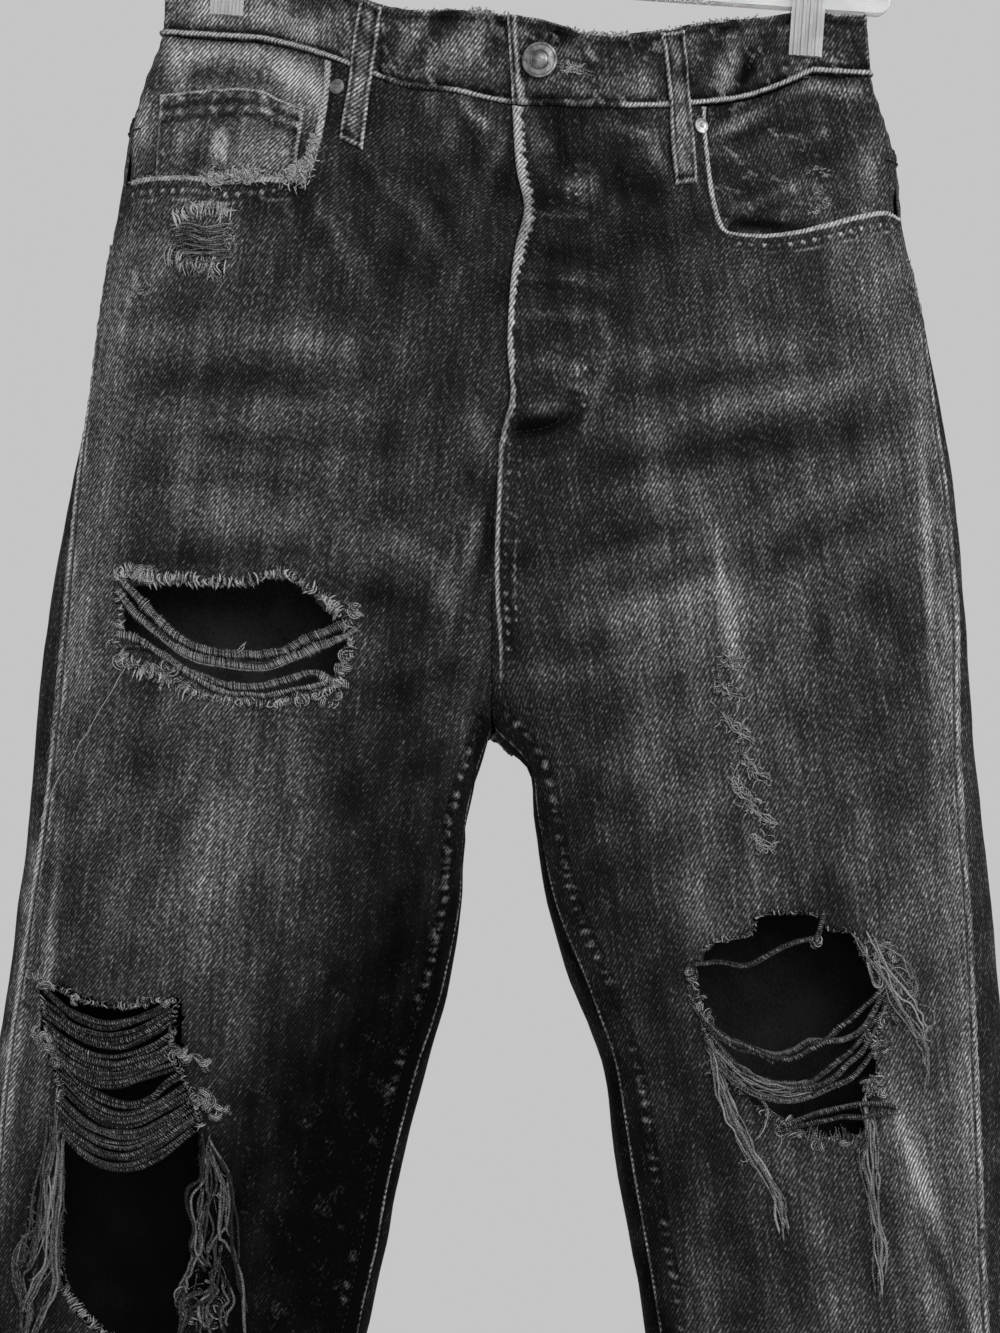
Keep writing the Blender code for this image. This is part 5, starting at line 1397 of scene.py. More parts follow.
def make_mouths():
    """The rolled, worn edges of the front pocket mouths and the sewn band under them."""
    for side, name, table, corner, pitch, worn_width in MOUTHS:
        places = even_path(table[:-3], 0.9)
        path = to_grain("front", side, places[places[:, 1] > 0.8])

        def bumps(run, offset):
            level = ease((run - corner) / 20)
            puckers = (pulses(run, pitch, 1.5, 41 + side) - 0.4) * 0.75
            twist = 0.24 * np.sin(run * 2 * math.pi / 1.9 + offset * 1.6) * bell(offset, 0.1, 1.4)
            uneven = waves(run, offset * 2, 6, 43 + side) * 0.22 * bell(offset, 0, 3)
            return puckers * bell(offset, 6.2, 1.6) * level + twist + uneven

        def rub(run, offset):
            level = ease((run - corner) / 24)
            wear = waves(run, offset * 0.6, 14, 47 + side) * 0.25
            wide = worn_width * (1 - level) + 1.2 * level
            edge = (1.0 + wear) * (1 - ease((offset - wide) / 0.9))
            dots = pulses(run, pitch, 0.95, 41 + side) * bell(offset, 6.2, 1.3)
            low = (0.35 + wear) * bell(offset, 10.6, 0.9)
            return edge + (1.5 * dots + low) * level - 0.35 * level * bell(offset, 4.3, 0.9)

        lay(f"pocket_mouth_{name}",
            [strip("front", side, path, MOUTH_SECTION, bumps, rub, -0.02, side)], [look("trim")])
        low = path[run_of(path) > corner * 0.1]
        for offset, seed in ((4.3, 3), (8.1, 4)):
            sew("front", side, beside(low, offset, side), 0.45, 0.12, seed)


# The fly and the front seam ---------------------------------------------------------------

# Offset into the left front, height: the lap's folded edge and its step down.
FLY_SECTION = (
    (0.8, -1.6), (-0.2, -1.3), (-0.8, -0.6), (-0.9, 0.1), (-0.4, 0.7), (0.4, 0.95), (1.2, 0.9),
    (2.0, 0.6), (2.8, 0.35), (3.8, 0.2), (5.0, 0.05), (6.4, -0.4),
)
# The flat band of the sewn J, from its left to its right: offset, height.
J_SECTION = tuple((-8.0 + 0.75 * k, 0.0) for k in range(24))
J_PATH = (
    (31.9, 1.0), (33.3, 56), (34.6, 100), (36.0, 140), (37.2, 168), (35.5, 182), (29, 191),
    (19, 196), (6, 198), (-2, 199),
)
J_ROWS = (-2.4, 2.2, 6.0)  # the offsets of its rows of stitches
FRONT_SEAM = ((-3.2, 197), (-4.5, 225), (-5.5, 250), (-5.2, 272), (-3.6, 294), (-3.4, 312))
FRONT_SEAM_SECTION = (
    (-1.2, -1.4), (-1.0, -0.4), (-0.6, 0.5), (0.1, 0.95), (1.0, 0.85), (1.8, 0.5), (2.6, 0.75),
    (3.8, 0.95), (5.0, 0.9), (6.2, 0.6), (7.0, 0.35), (7.8, 0.55), (8.8, 0.3), (10, -0.4),
)
PUCKER = 6.4  # the distance between two puckers of a long seam


def make_fly():
    """The folded edge of the fly, its sewn J, and the front seam down to the crotch."""
    downs = np.arange(0.6, 199, 1.0)
    fold = to_grain("front", 1, np.stack([fly_x(downs) + HALF_GAP, downs], axis=1))
    curve = to_grain("front", 1, even_path(J_PATH, 0.9))
    seam = to_grain("front", 1, even_path(FRONT_SEAM, 0.8))

    def tooth(run):
        return np.abs(((run + 1.5 * waves(run, 0 * run, 25, 51)) / PUCKER) % 1 - 0.5) * 2

    def fold_bumps(run, offset):
        return 0.35 * (tooth(run) - 0.5) * bell(offset, 1.2, 2.2)

    def fold_rub(run, offset):
        teeth = tooth(run)
        upper = 1 - ease((run - 92) / 30)
        reach = 0.8 + 1.2 * teeth + (1.5 + 1.2 * teeth) * upper + 0.4 * waves(run, offset, 18, 52)
        thin = 0.72 + 0.28 * np.sin(run / 19.0 + 1)
        return 1.25 * thin * (1 - ease((offset - reach) / 0.9))

    def curve_bumps(run, offset):
        rows = sum(bell(offset, at, 0.8) for at in J_ROWS)
        beat = pulses(run, PUCKER, 1.7, 53) - 0.35
        swell = bell(offset, 0, 1.6) + 0.7 * bell(offset, 4.2, 1.3) + 0.5 * bell(offset, -5, 2)
        sides = ease((np.abs(offset - 0.6) - 6.8) / 1.6)
        return 0.35 - 0.6 * rows + 0.8 * beat * swell - 0.8 * sides

    def curve_rub(run, offset):
        beat, other = pulses(run, PUCKER, 1.3, 53), pulses(run + 3, PUCKER, 1.1, 54)
        where = 0.25 + 0.75 * bell(run, 46, 15) + 0.75 * bell(run, 167, 16)
        where = where + 0.5 * bell(run, 112, 5) + 0.4 * bell(run, 135, 5)
        marks = beat * bell(offset, 0, 1.2) + 0.9 * other * bell(offset, 4.2, 1.0)
        return where * (marks + 0.5 * beat * bell(offset, -4.6, 1.4)) - 0.12

    def seam_bumps(run, offset):
        beat = pulses(run, 6.6, 1.7, 57) - 0.4
        narrow = -0.9 * ease((run - 70) / 30) * ease((offset - 3) / 4)
        return 0.55 * beat * (bell(offset, 4, 1.8) + bell(offset, 9, 1.6)) + narrow

    def seam_rub(run, offset):
        beat = pulses(run, 6.6, 1.2, 57)
        edge = (0.55 + 0.6 * bell(run, 55, 34)) * (1 - ease((offset - 0.5) / 0.9))
        dots = 0.7 * beat * bell(offset, 4, 1.1) + 0.6 * beat * bell(offset, 8.9, 0.9)
        return edge + dots + 0.35 * bell(run, 62, 12) * bell(offset, 9.5, 2)

    for at, seed in zip(J_ROWS, (5, 6, 7)):
        sew("front", 1, beside(curve, at), 0.2, 0.10, seed, 0.9)
    sew("front", 1, beside(seam, 1.8, -1), 0.7, 0.12, 8)
    sew("front", 1, beside(seam, 7.0, -1), 0.55, 0.12, 9)
    lay("fly_edge", [
        strip("front", 1, fold, FLY_SECTION, fold_bumps, fold_rub, 0.0, -1),
        strip("front", 1, curve, J_SECTION, curve_bumps, curve_rub, -0.05),
        strip("front", 1, seam, FRONT_SEAM_SECTION, seam_bumps, seam_rub, -0.06, -1),
    ], [look("trim")])


# The long seams ---------------------------------------------------------------------------


# Offset from the seam, height: the inseam's rolled edge and its two sewn bands.
INSEAM_SECTION = (
    (-1.6, -1.3), (-1.3, -0.5), (-0.7, 0.25), (0.0, 0.6), (0.8, 0.7), (2.2, 0.65), (4.0, 0.7),
    (6.0, 0.75), (8.0, 0.7), (9.2, 0.5), (10.2, 0.2), (11.2, 0.5), (12.4, 0.75), (13.6, 0.7),
    (14.8, 0.35), (16.0, 0.1), (18.0, -0.45),
)
# The outseam's two ridges, and the seam's own groove between them.
OUTSEAM_SECTION = (
    (-4.6, -0.5), (-3.6, 0.2), (-2.6, 0.7), (-1.7, 0.75), (-1.0, 0.3), (-0.5, -0.7), (0.0, -1.2),
    (0.5, -0.7), (1.0, 0.45), (1.7, 0.85), (2.6, 0.75), (3.6, 0.25), (4.8, -0.5),
)
# A felled seam of the seat: its edge, then two rows of stitches with a swell between them.
FELLED_SECTION = (
    (-1.6, -0.5), (-0.9, 0.3), (-0.2, 0.9), (0.8, 1.0), (1.8, 0.7), (3.0, 0.95), (4.6, 1.0),
    (6.2, 0.7), (7.2, 0.95), (8.2, 0.6), (9.2, -0.5),
)
FELLED_ROWS = (1.8, 6.3)
LEG_SEAM_END = 988
LEG_SEAM_STEP = 1.4


def seam_path(side, which, low):
    """A front's outseam or inseam from a down to the hem, as u and down."""
    down = np.arange(low, LEG_SEAM_END, LEG_SEAM_STEP)
    outseam, _, inner = seam_turns(side, down)
    return np.stack([grain_u("front", side, -(outseam if which == "out" else inner), down), down], axis=1)


def make_leg_seams():
    """Outseams and inseams with their puckers."""
    for side, name in ((-1, "right"), (1, "left")):
        inseam = seam_path(side, "in", 332)
        outseam = seam_path(side, "out", 100 if side < 0 else 96)

        def in_bumps(run, offset):
            beat = pulses(run, PUCKER, 1.8, 61 + side) - 0.4
            return 0.8 * beat * bell(offset, 12.6, 2.2) + 0.2 * beat * bell(offset, 5, 3)

        def in_rub(run, offset):
            low = 1 - (0.85 if side < 0 else 0.3) * ease((run - 120) / 110)
            twin = pulses(run, PUCKER, 1.4, 61 + side) + 0.6 * pulses(run + 2.4, 8.3, 0.9, 60 + side)
            line = 1.35 * bell(offset, 0.3, 0.7) * (0.7 + 0.4 * np.sin(run * 2.4))
            line = line * (0.75 + 0.3 * waves(run, 0 * run, 24, 63))
            beads = 0.8 * twin * bell(offset + waves(run, 0 * run, 9, 58), 11.8, 2.8)
            beads = beads * (0.8 + 0.3 * waves(run, 0 * run, 60, 64))
            return line + low * beads - 0.35 * bell(offset, 6, 4)

        def out_bumps(run, offset):
            beat = pulses(run, 9.0, 2.4, 65 + side) - 0.4
            return 0.5 * beat * bell(np.abs(offset), 2.6, 1.3)

        def out_rub(run, offset):
            if side > 0:
                dash = pulses(run, 24, 9, 66) * bell(offset, 1.7, 0.9)
                back = pulses(run + 11, 26, 8, 68) * bell(offset, -1.9, 0.8)
                return 1.1 * dash + 0.9 * back - 0.3 * bell(offset, 0, 0.6)
            line = (0.75 + 0.3 * waves(run, 0 * run, 60, 67)) * bell(offset, 1.6, 1.0)
            top = ease((run - 30) / 50)
            back = (0.5 + 0.5 * waves(run, 0 * run, 40, 69)) * bell(offset, -2.1, 0.8)
            return top * (1.35 * line + back) + 0.35 * (1 - top) * bell(offset, 1.5, 1.2)

        sew("front", side, beside(inseam, 10.2, -side), 0.35, 0.10, 11 + side)
        lay(f"inseam_{name}", [
            strip("front", side, inseam, INSEAM_SECTION, in_bumps, in_rub, -0.16, -side),
            strip("front", side, outseam, OUTSEAM_SECTION, out_bumps, out_rub, -0.02, -side),
        ], [look("trim")])


def make_back_seams():
    """The yoke seams and the centre back seam, felled and sewn twice."""
    seams = []
    for side in (-1, 1):
        x = at_share_x(side, np.linspace(0.02, 0.995, 190))
        path = to_grain("back", side, np.stack([x, yoke_down(x)], axis=1))
        seams.append((side, path, -side, side, 13))
    down = np.arange(1.0, 340, 1.2)
    centre = leg_frame(1, np.minimum(down, CROTCH_DOWN - 1))[2] * 0.999
    seams.append((1, np.stack([grain_u("back", 1, centre, down), down], axis=1), 1, 1, 15))
    strips = []
    for side, path, across, beat_seed, sew_seed in seams:

        def bumps(run, offset):
            return 0.5 * (pulses(run, 6.5, 1.8, 71 + beat_seed) - 0.4) * bell(offset, 4, 2.2)

        def rub(run, offset):
            dots = 0.6 * pulses(run, 6.5, 1.3, 71 + beat_seed) * bell(offset, 4, 1.8)
            return 0.6 * bell(offset, 0.1, 0.8) + dots + 0.35 * bell(offset, 7.4, 0.8)

        strips.append(strip("back", side, path, FELLED_SECTION, bumps, rub, 0.0, across))
        for k, offset in enumerate(FELLED_ROWS):
            sew("back", side, beside(path, offset, across), 0.85, 0.14, sew_seed + k)
    lay("back_seams", strips, [look("trim")])


# Waistband, loops and pockets -------------------------------------------------------------


def band_height(face, x):
    """The waistband's height over its seam."""
    return table_curve(BAND_BACK if face == "back" else BAND_FRONT, x)


# Height above the seam as a fixed part and a share of the band's own height, then how far
# out of the band's middle layer: up the outer side, over the top edge and down the inside.
BAND_SECTION = np.array(
    [(0.15, 0, 0.2), (0.3, 0, 1.3), (0.8, 0, 2.2), (1.5, 0, 2.5), (2.2, 0, 2.2), (2.8, 0, 1.3),
     (3.4, 0, 0.75), (4.2, 0, 0.7), (5.2, 0, 1.05)]
    + [(6.4 - 10.4 * k / 19, k / 19, 1.15) for k in range(20)]
    + [(-3.2, 1, 0.8), (-2.4, 1, 1.1), (-1.6, 1, 1.3), (-0.8, 1, 1.2), (-0.2, 1, 0.7),
       (0, 1, 0), (-0.4, 1, -0.8), (-1.4, 1, -1.1)]
    + [(1.5 - 1.5 * k / 6, 1 - k / 6, -1.1) for k in range(1, 7)]
)


BAND_MIDDLE = -18.0  # the down at which the band's height is read
BAND_OUTSIDE = slice(9, 28)  # the rows of the section up the outer side
BAND_ROWS = (7, 29)  # the rows that its stitches follow
BAND_HALVES = ((0, 250), (250, 524))  # the columns of each stretch of stitches


def make_band():
    """The waistband, its closed section carried from its upper end round to its lower end."""
    fixed, share_up, out = BAND_SECTION[:, :1], BAND_SECTION[:, 1:2], BAND_SECTION[:, 2:]
    middle, half, _ = leg_frame(1, np.zeros(1))
    first, _, _ = seam_turns(1, np.zeros(1))
    last = np.arccos((FLY_EDGE[0][1] - middle) / half)
    under = (math.acos((BAND_UNDER_END - middle[0]) / half[0]) - first) / (last - first)
    pieces = []
    gone = 0.0
    for number, (side, face, start, stop, count) in enumerate((
        (1, "front", None, 0.0, 150), (1, "back", 0.0, 1.0, 100), (-1, "back", 0.992, 0.0, 100),
        (-1, "front", 0.006, 1.0, 150), (1, "front", 0.99, under[0], 24),
    )):
        t = np.linspace(0, 1, count)[None, :]
        if start is None:
            rise = (fixed + share_up * 42) / 42
            end = BAND_END[1] + (BAND_END[0] - BAND_END[1]) * np.clip(rise, 0, 1)
            start = (np.arccos((end - middle) / half) - first) / (last - first)
        share = start + (stop - start) * t + 0 * fixed
        level = np.full(share.shape, BAND_MIDDLE)
        if face == "front":
            x = front_x(side, share, level)
        else:
            mid, wide, _ = leg_frame(side, level)
            x = mid + side * wide * np.cos(back_turn(side, share, level))
        height = band_height(face, x)
        up = fixed + share_up * height
        down = -up
        if face == "front":
            x = front_x(side, share, down)
            points, normals = front_skin(side, x, down)
        else:
            turn = (back_turn(side, share, down) + math.pi) % (2 * math.pi) - math.pi
            mid, wide, _ = leg_frame(side, down)
            x = mid + side * wide * np.cos(turn)
            points, normals = skin(side, turn, down), skin_normal(side, turn, down)
        step = (BAND_CLOTH + SEAM_GAP) / 2
        lift = np.full(x.shape, BAND_PROUD - BAND_CLOTH / 2)
        if number == 0:
            lift = lift + step * (1 - ease((x - 38) / 30))
            out_here = out * (0.55 + 0.45 * ease(t * count * 1.15 / 1.6))
        else:
            out_here = out + 0 * t
        if number > 2:
            lift = lift - step * ease((x + 48) / 34)
        mid_row = points[12]
        steps = np.linalg.norm(np.diff(mid_row, axis=0), axis=1)
        run = gone + np.concatenate([[0], np.cumsum(steps)])[None, :] + 0 * fixed
        gone = run[0, -1]
        pieces.append((points, normals, lift, out_here, x, up, run, height, face, number))
    joined = [np.concatenate([p[k] for p in pieces], axis=1) for k in range(8)]
    points, normals, lift, out, x, up, run, height = joined
    back = np.concatenate([np.full(p[4].shape, p[8] == "back") for p in pieces], axis=1)
    part = np.concatenate([np.full(p[4].shape, p[9]) for p in pieces], axis=1)
    outside = out > 0
    ridge = bell(up, 1.5, 1.3)
    twist = 0.22 * np.sin(run * 2 * math.pi / 1.9 + up * 1.5)
    puckers = (pulses(run, 7.5, 2.2, 81) - 0.4) * (bell(up, 6.5, 2.5) + 0.6 * bell(up, height - 4, 2))
    calm = waves(run, up, 26, 82) * 0.3 + waves(run, up, 10, 83) * 0.12
    fold = np.where(back, creases("band_back", x, -up), creases("band", x, -up))
    lift = lift + out * (1 + 0.25 * waves(run, up * 0, 12, 84) * ridge)
    field = ease(up / 6) * ease((height - up) / 5)
    lift = lift + outside * (ridge * twist + puckers * 0.35 + (calm + fold) * field)
    top_wave = waves(run, 0 * run, 5.5, 85) * 0.22 * ease((up - height + 3) / 3)
    points = points + normals * lift[..., None] + np.array([0, 0, 1.0]) * top_wave[..., None]
    fade_and_shade = np.where(back, 0.30 + spots("band_back", x, -up), 0.04 + spots("band", x, -up))
    fade_and_shade = fade_and_shade + waves(run, up, 24, 86) * 0.10 + waves(run, up, 8, 87) * 0.06
    bright = np.interp(x, (-180, -172, -66, -58, -34, -26, -4, 4, 12, 52, 60, 180),
                       (0.7, 1.15, 1.15, 0.1, 0.1, 0.85, 0.85, 0.1, 0.0, 0.0, 1.0, 1.0))
    bright = np.where(back, 0.7, bright)
    worn = bright * (1 - ease((np.abs(up - 1.6) - 0.8) / 0.7)) * outside
    worn = worn + 0.75 * ease((up - height + 1.7) / 1.0) * (0.55 + 0.45 * waves(run, 0 * run, 14, 88))
    end = run * (part == 0) + 99 * (part != 0)
    foot = 4.6 + 2.5 * ease((14 - up) / 14)
    strip_end = np.where(end < 1.6, 1.0, np.where(end < 2.6, -0.2, 0.9 * (1 - ease((end - foot) / 0.9))))
    worn = np.where(end < 12, np.maximum(worn, strip_end * outside), worn)
    # dark paints shade: darker lines in and just below the grooves of the band's two stitched rows.
    dark = 0.30 * bell(up, 4.0, 1.3) + 0.22 * bell(up, height - 4.4, 1.2)
    rows = len(BAND_SECTION)
    turned = points.transpose(1, 0, 2)
    cols = turned.shape[0]
    faces = grid_faces(cols, rows, ring=True)
    out_n = normals.transpose(1, 0, 2)
    body = grid_faces(cols, BAND_OUTSIDE.stop - BAND_OUTSIDE.start)
    checked = faces_out(turned[:, BAND_OUTSIDE], body, out_n[:, BAND_OUTSIDE])
    flipped = not np.array_equal(checked[0], body[0])
    if flipped:
        faces = faces[:, ::-1]
    caps = []
    for base, turned_over in ((0, not flipped), ((cols - 1) * rows, flipped)):
        for a in range(1, rows // 2):
            quad = [base + a - 1, base + a, base + rows - 1 - a, base + rows - a]
            caps.append(quad[::-1] if turned_over else quad)
    faces = np.concatenate([faces, np.array(caps)])
    add_piece(
        "waistband_cloth", turned, faces, [look("band")], ("waistband",),
        np.stack([run, -up], axis=-1).transpose(1, 0, 2),
        {"fade_and_shade": (fade_and_shade - dark).T.ravel(), "rub": worn.T.ravel()},
    )
    for seed, row in enumerate(BAND_ROWS):
        for low, high in BAND_HALVES:
            sew_line(points[row, low:high], normals[row, low:high], 0.15, 0.08, 91 + seed + low)


def place_patch(name, side, face, x, down, lift, node, shades, rub, fade_and_shade, thickness):
    """A piece of cloth over a grid of places, at this height over the panel."""
    u = place_u(face, side, x, down)
    points, normals = cloth_at(face, side, u, down)
    height = lift + cloth_lift(face, side, x, down, u)[0]
    points = points + normals * height[..., None]
    obj = add_piece(
        name, points, faces_out(points, grid_faces(*x.shape), normals), shades, (node,),
        np.stack([u, down], axis=-1), {"fade_and_shade": washed_and_shaded(face, x, down, u) + fade_and_shade, "rub": rub + 0 * x},
    )
    thicken(obj, thickness)
    return points, normals


def make_facings():
    """The cloth behind the front pocket mouths."""
    shades = [look("facing"), look("inside"), look("torn")]
    for side, low, high, name in ((-1, -186.5, -84, "right"), (1, 92, 194.5, "left")):
        down, across = np.meshgrid(np.arange(0.3, 98, 1.6), np.linspace(0.0, 1, 66), indexing="ij")
        outer = front_x(side, 0.0, down)
        inner = low if side > 0 else high
        x = outer + (inner - outer) * across
        u = place_u("front", side, x, down)
        from_out = np.abs(u - u[:, :1])
        rise = 2.4 * (1 - ease(from_out / 14)) * (1 - ease((down - 52) / 14))
        deep = -2.7 + creases("facing", x, down) + rise
        # light holds the facing's paler patches and also a painted shadow in the fold of the left facing.
        light = spots("facing", x, down)
        place_patch(f"pocket_facing_{name}_cloth", side, "front", x, down, deep,
                    "pocket_facing_" + name, shades, waves(u, down, 14, 92) * 0.12 * (light > 0.1),
                    light - 0.06, POCKET_CLOTH)


# The coin pocket's top edge: x, down.
COIN_TOP = (
    (-174, 29), (-150, 25.3), (-135, 23.8), (-122, 24.2), (-115, 27), (-106, 28.6), (-100, 29.2),
)
COIN_FOOT = 83.0


def make_coin_pocket():
    """The coin pocket, sewn on the wearer's right pocket facing, its top hem puckered."""
    t, s = np.meshgrid(np.linspace(0, 1, 58), np.linspace(0, 1, 74), indexing="ij")
    left, right = -173.6 - 1.8 * t, -101.0 - 4.4 * t
    x = left + (right - left) * s
    upper = np.interp(x, *zip(*COIN_TOP))
    down = upper + (COIN_FOOT - upper) * t
    top, from_left, from_right = down - upper, x - left, right - x
    edge = np.minimum(np.minimum(top, from_left), from_right)
    run = x + 180
    beat, down_beat = pulses(run, 8.5, 2.6, 94) - 0.4, pulses(down, 8.0, 2.4, 95) - 0.4
    lift = -1.1 - 0.6 * (1 - ease(edge / 1.0))
    lift = lift + 0.5 * beat * (bell(top, 3.6, 2.6) + bell(top, 10.6, 2.6))
    lift = lift - 0.45 * bell(top, 7.0, 1.0) - 0.45 * bell(top, 13.8, 1.0)
    lift = lift + 0.35 * down_beat * bell(from_right, 5.5, 2.0) + 0.25 * waves(x, down, 11, 96)
    rub = 0.95 * (1 - ease((top - 0.9 + 0.5 * waves(x, 0 * x, 9, 97)) / 1.0))
    rub = np.maximum(rub, 0.8 * bell(from_left, 0.3, 0.9))
    rub = np.maximum(rub, 0.9 * bell(from_right, 0.3, 1.0) * ease(top / 4))
    rub = rub + 0.85 * pulses(run, 8.5, 2.3, 94) * (bell(top, 3.8, 1.7) + 0.9 * bell(top, 10.6, 2.0))
    rub = rub + 0.5 * pulses(down, 8.0, 2.0, 95) * bell(from_right, 6.0, 1.9)
    worn_spot = 0.85 * ease(1.6 - 1.1 * np.hypot((x + 142.5) / 4.6, (down - 56) / 10.5))
    rub = rub + worn_spot * (1 + 0.4 * waves(x, down, 4, 98))
    # The darkening along the hem's two grooves and beside the right edge's stitches is painted shade in these
    # recesses.
    fade_and_shade = 0.15 - 0.24 * bell(top, 14.2, 1.7) - 0.18 * bell(top, 7.0, 1.3)
    fade_and_shade = fade_and_shade - 0.2 * bell(from_right, 3.0, 1.1) + 0.40 * bell(x, -120, 15) * bell(down, 55, 15)
    fade_and_shade = fade_and_shade + 0.2 * bell(x, -162, 5) * bell(down, 55, 12)
    fade_and_shade = fade_and_shade - 0.22 * bell(x, -160, 10) * bell(down, 64, 10)
    points, normals = place_patch(
        "coin_pocket_cloth", -1, "front", x, down, lift, "coin_pocket",
        [look("facing"), look("inside"), look("torn")], rub, fade_and_shade, 0.8,
    )
    for row in (7, 13):
        sew_line(points[row, 3:-3], normals[row, 3:-3], 0.1, 0.1, row)
    sew_line(points[3:, -4], normals[3:, -4], 0.1, 0.1, 23)
    sew_line(points[3:, 3], normals[3:, 3], 0.1, 0.12, 24)


LOOP_LENGTH = 78.0
LOOP_CLOTH = 1.3
LOOP_OUT = 2.3  # how far a loop lies over the panels
# Half of a belt loop's section, the other half being its mirror image: offset, height.
LOOP_HALF = (
    (5.5, -1.3), (5.45, -0.7), (5.2, -0.1), (4.8, 0.35), (4.3, 0.45), (3.7, 0.2), (3.0, -0.05),
    (2.2, 0.1), (1.1, 0.2),
)
LOOP_ROWS = 60
LOOP_TACKS = (0.043, 0.955)  # how far down the loop its two tacks lie


def make_loops():
    """The belt loops: worn ridges along both edges, and a tack across each end."""
    shades = [look("loop"), look("inside"), look("torn")]
    section = np.array([(-at, height) for at, height in LOOP_HALF] + [(0, 0.22)] + list(LOOP_HALF[::-1]))
    t, off = np.meshgrid(np.linspace(0, 1, LOOP_ROWS), section[:, 0], indexing="ij")
    run = t * LOOP_LENGTH
    from_end = np.minimum(t, 1 - t) * LOOP_LENGTH
    for row in LOOPS:
        loop = dict(zip(LOOP_COLUMNS, row))
        lean = (loop["x1"] - loop["x0"]) / (loop["down1"] - loop["down0"])
        waist = 1 - 0.05 * np.sin(t * 9 + loop["x0"])
        x = loop["x0"] + (loop["x1"] - loop["x0"]) * t + off * waist
        down = loop["down0"] + (loop["down1"] - loop["down0"]) * t - off * lean
        arch = BAND_PROUD * (1 - ease((down - 1) / 9)) + 1.6 * np.sin(math.pi * t) ** 0.7
        lift = LOOP_OUT + arch + section[None, :, 1] + 0.25 * waves(run, off, 12, 101)
        lift = lift - 0.9 * bell(from_end, 3.4, 1.1) - 1.2 * (1 - ease(from_end / 1.1))
        side = 1 if loop["x0"] > CENTRE_X else -1
        bare, normals = skin_at(x, down, loop["face"])
        points = bare + normals * lift[..., None]
        rub = bell(np.abs(off), 4.75, 0.62) * (0.8 + 0.25 * waves(run, off, 9, 102))
        rub = rub + 0.5 * bell(from_end, 1.6, 1.0) + 0.3 * bell(from_end, 9, 5) * bell(off, 0, 2.5)
        rub = rub + 0.35 * bell(t, 0.18, 0.05) * bell(off, 0, 2.2)
        fade_and_shade = 0.28 + 0.16 * waves(run, off, 16, 103) + 0.2 * bell(t, 0.7, 0.25)
        # The darkening beside the tacks and in the grooves inside the edge ridges is painted shade in these
        # recesses.
        fade_and_shade = fade_and_shade - 0.25 * bell(from_end, 4.2, 1.6) - 0.3 * bell(np.abs(off), 3.3, 0.7)
        obj = add_piece(
            loop["name"] + "_cloth", points, faces_out(points, grid_faces(*x.shape), normals), shades,
            (loop["name"],), np.stack([off + side * 60, run], axis=-1), {"fade_and_shade": fade_and_shade, "rub": rub},
        )
        thicken(obj, LOOP_CLOTH)
        for level in LOOP_TACKS:
            end = int(level * (LOOP_ROWS - 1))
            steps = np.linspace(2, len(section) - 3, 14)
            tack = np.stack([np.interp(steps, np.arange(len(section)), points[end, :, k]) for k in range(3)],
                            axis=1)
            out = np.repeat(normals[end, 9][None], 14, axis=0)
            for shift in (-0.5, 0.1, 0.6):
                sew_line(tack + np.array([0, 0, shift]), out, 0.35, 0.3, int(shift * 10) + 40, 1.7, 1.5)


# The rows of stitches round a back pocket, as rows and columns of its grid.
POCKET_ROWS = (
    (slice(4, None), 2), (slice(4, None), -3), (slice(4, None), 9), (slice(4, None), -10),
    (7, slice(3, -3)), (-2, slice(3, -3)), (-6, slice(10, -10)),
)


def make_back_pockets():
    """The back pockets: hemmed at the top, sewn round twice, faded over their middles."""
    shades = [look("panel"), look("inside"), look("torn")]
    size = BACK_POCKET
    for side, name in ((-1, "right"), (1, "left")):
        t, s = np.meshgrid(np.linspace(0, 1, 76), np.linspace(-1, 1, 74), indexing="ij")
        corner = np.where(s < 0, 0.88, 0.84)
        low = corner + (1 - corner) * (1 - np.abs(s) / 0.94).clip(0, 1)
        high = -0.04 * s
        v = high + (low - high) * t
        a = s * (1 - 0.06 * t)
        x = CENTRE_X + side * (size["x"] + a * size["half"])
        down = size["top"] + v * size["height"]
        top, foot = (v - high) * size["height"], (low - v) * size["height"]
        aside = (1 - np.abs(s)) * size["half"]
        edge = np.minimum(np.minimum(top, foot), aside)
        below = top > 5
        down_beat, x_beat = pulses(down, 7.5, 2.3, 111) - 0.4, pulses(x + 300, 7.5, 2.3, 112) - 0.4
        lift = 1.2 - 0.9 * (1 - ease(edge / 1.2)) - 0.4 * bell(edge, 2.2, 0.7) * below
        lift = lift - 0.4 * bell(np.minimum(foot, aside), 8.4, 0.7) * below - 0.45 * bell(top, 13.5, 0.9)
        lift = lift + 0.4 * down_beat * bell(aside, 5.2, 2.4)
        lift = lift + 0.4 * x_beat * (bell(top, 7, 4) + bell(foot, 5.2, 2.4))
        rub = 0.75 * (1 - ease((edge - 0.7) / 0.9)) * (0.7 + 0.4 * waves(x, down, 14, 113))
        rub = rub + 0.4 * pulses(x + 300, 7.5, 2.0, 112) * bell(top, 7, 3.5)
        rub = rub + 0.4 * pulses(down, 7.5, 2.0, 111) * bell(aside, 5.2, 1.8)
        middle = CENTRE_X + side * size["x"]
        # Its darkening just below the top hem's groove is painted shade.
        fade_and_shade = 0.16 * bell(x, middle, 40) * bell(down, 170, 50) - 0.12 * bell(top, 15, 2)
        points, normals = place_patch(
            f"back_pocket_{name}_cloth", side, "back", x, down, lift, "back_pocket_" + name, shades,
            rub, fade_and_shade, POCKET_CLOTH,
        )
        for seed, line in enumerate(POCKET_ROWS, 31):
            sew_line(points[line], normals[line], 0.1, 0.14, seed)


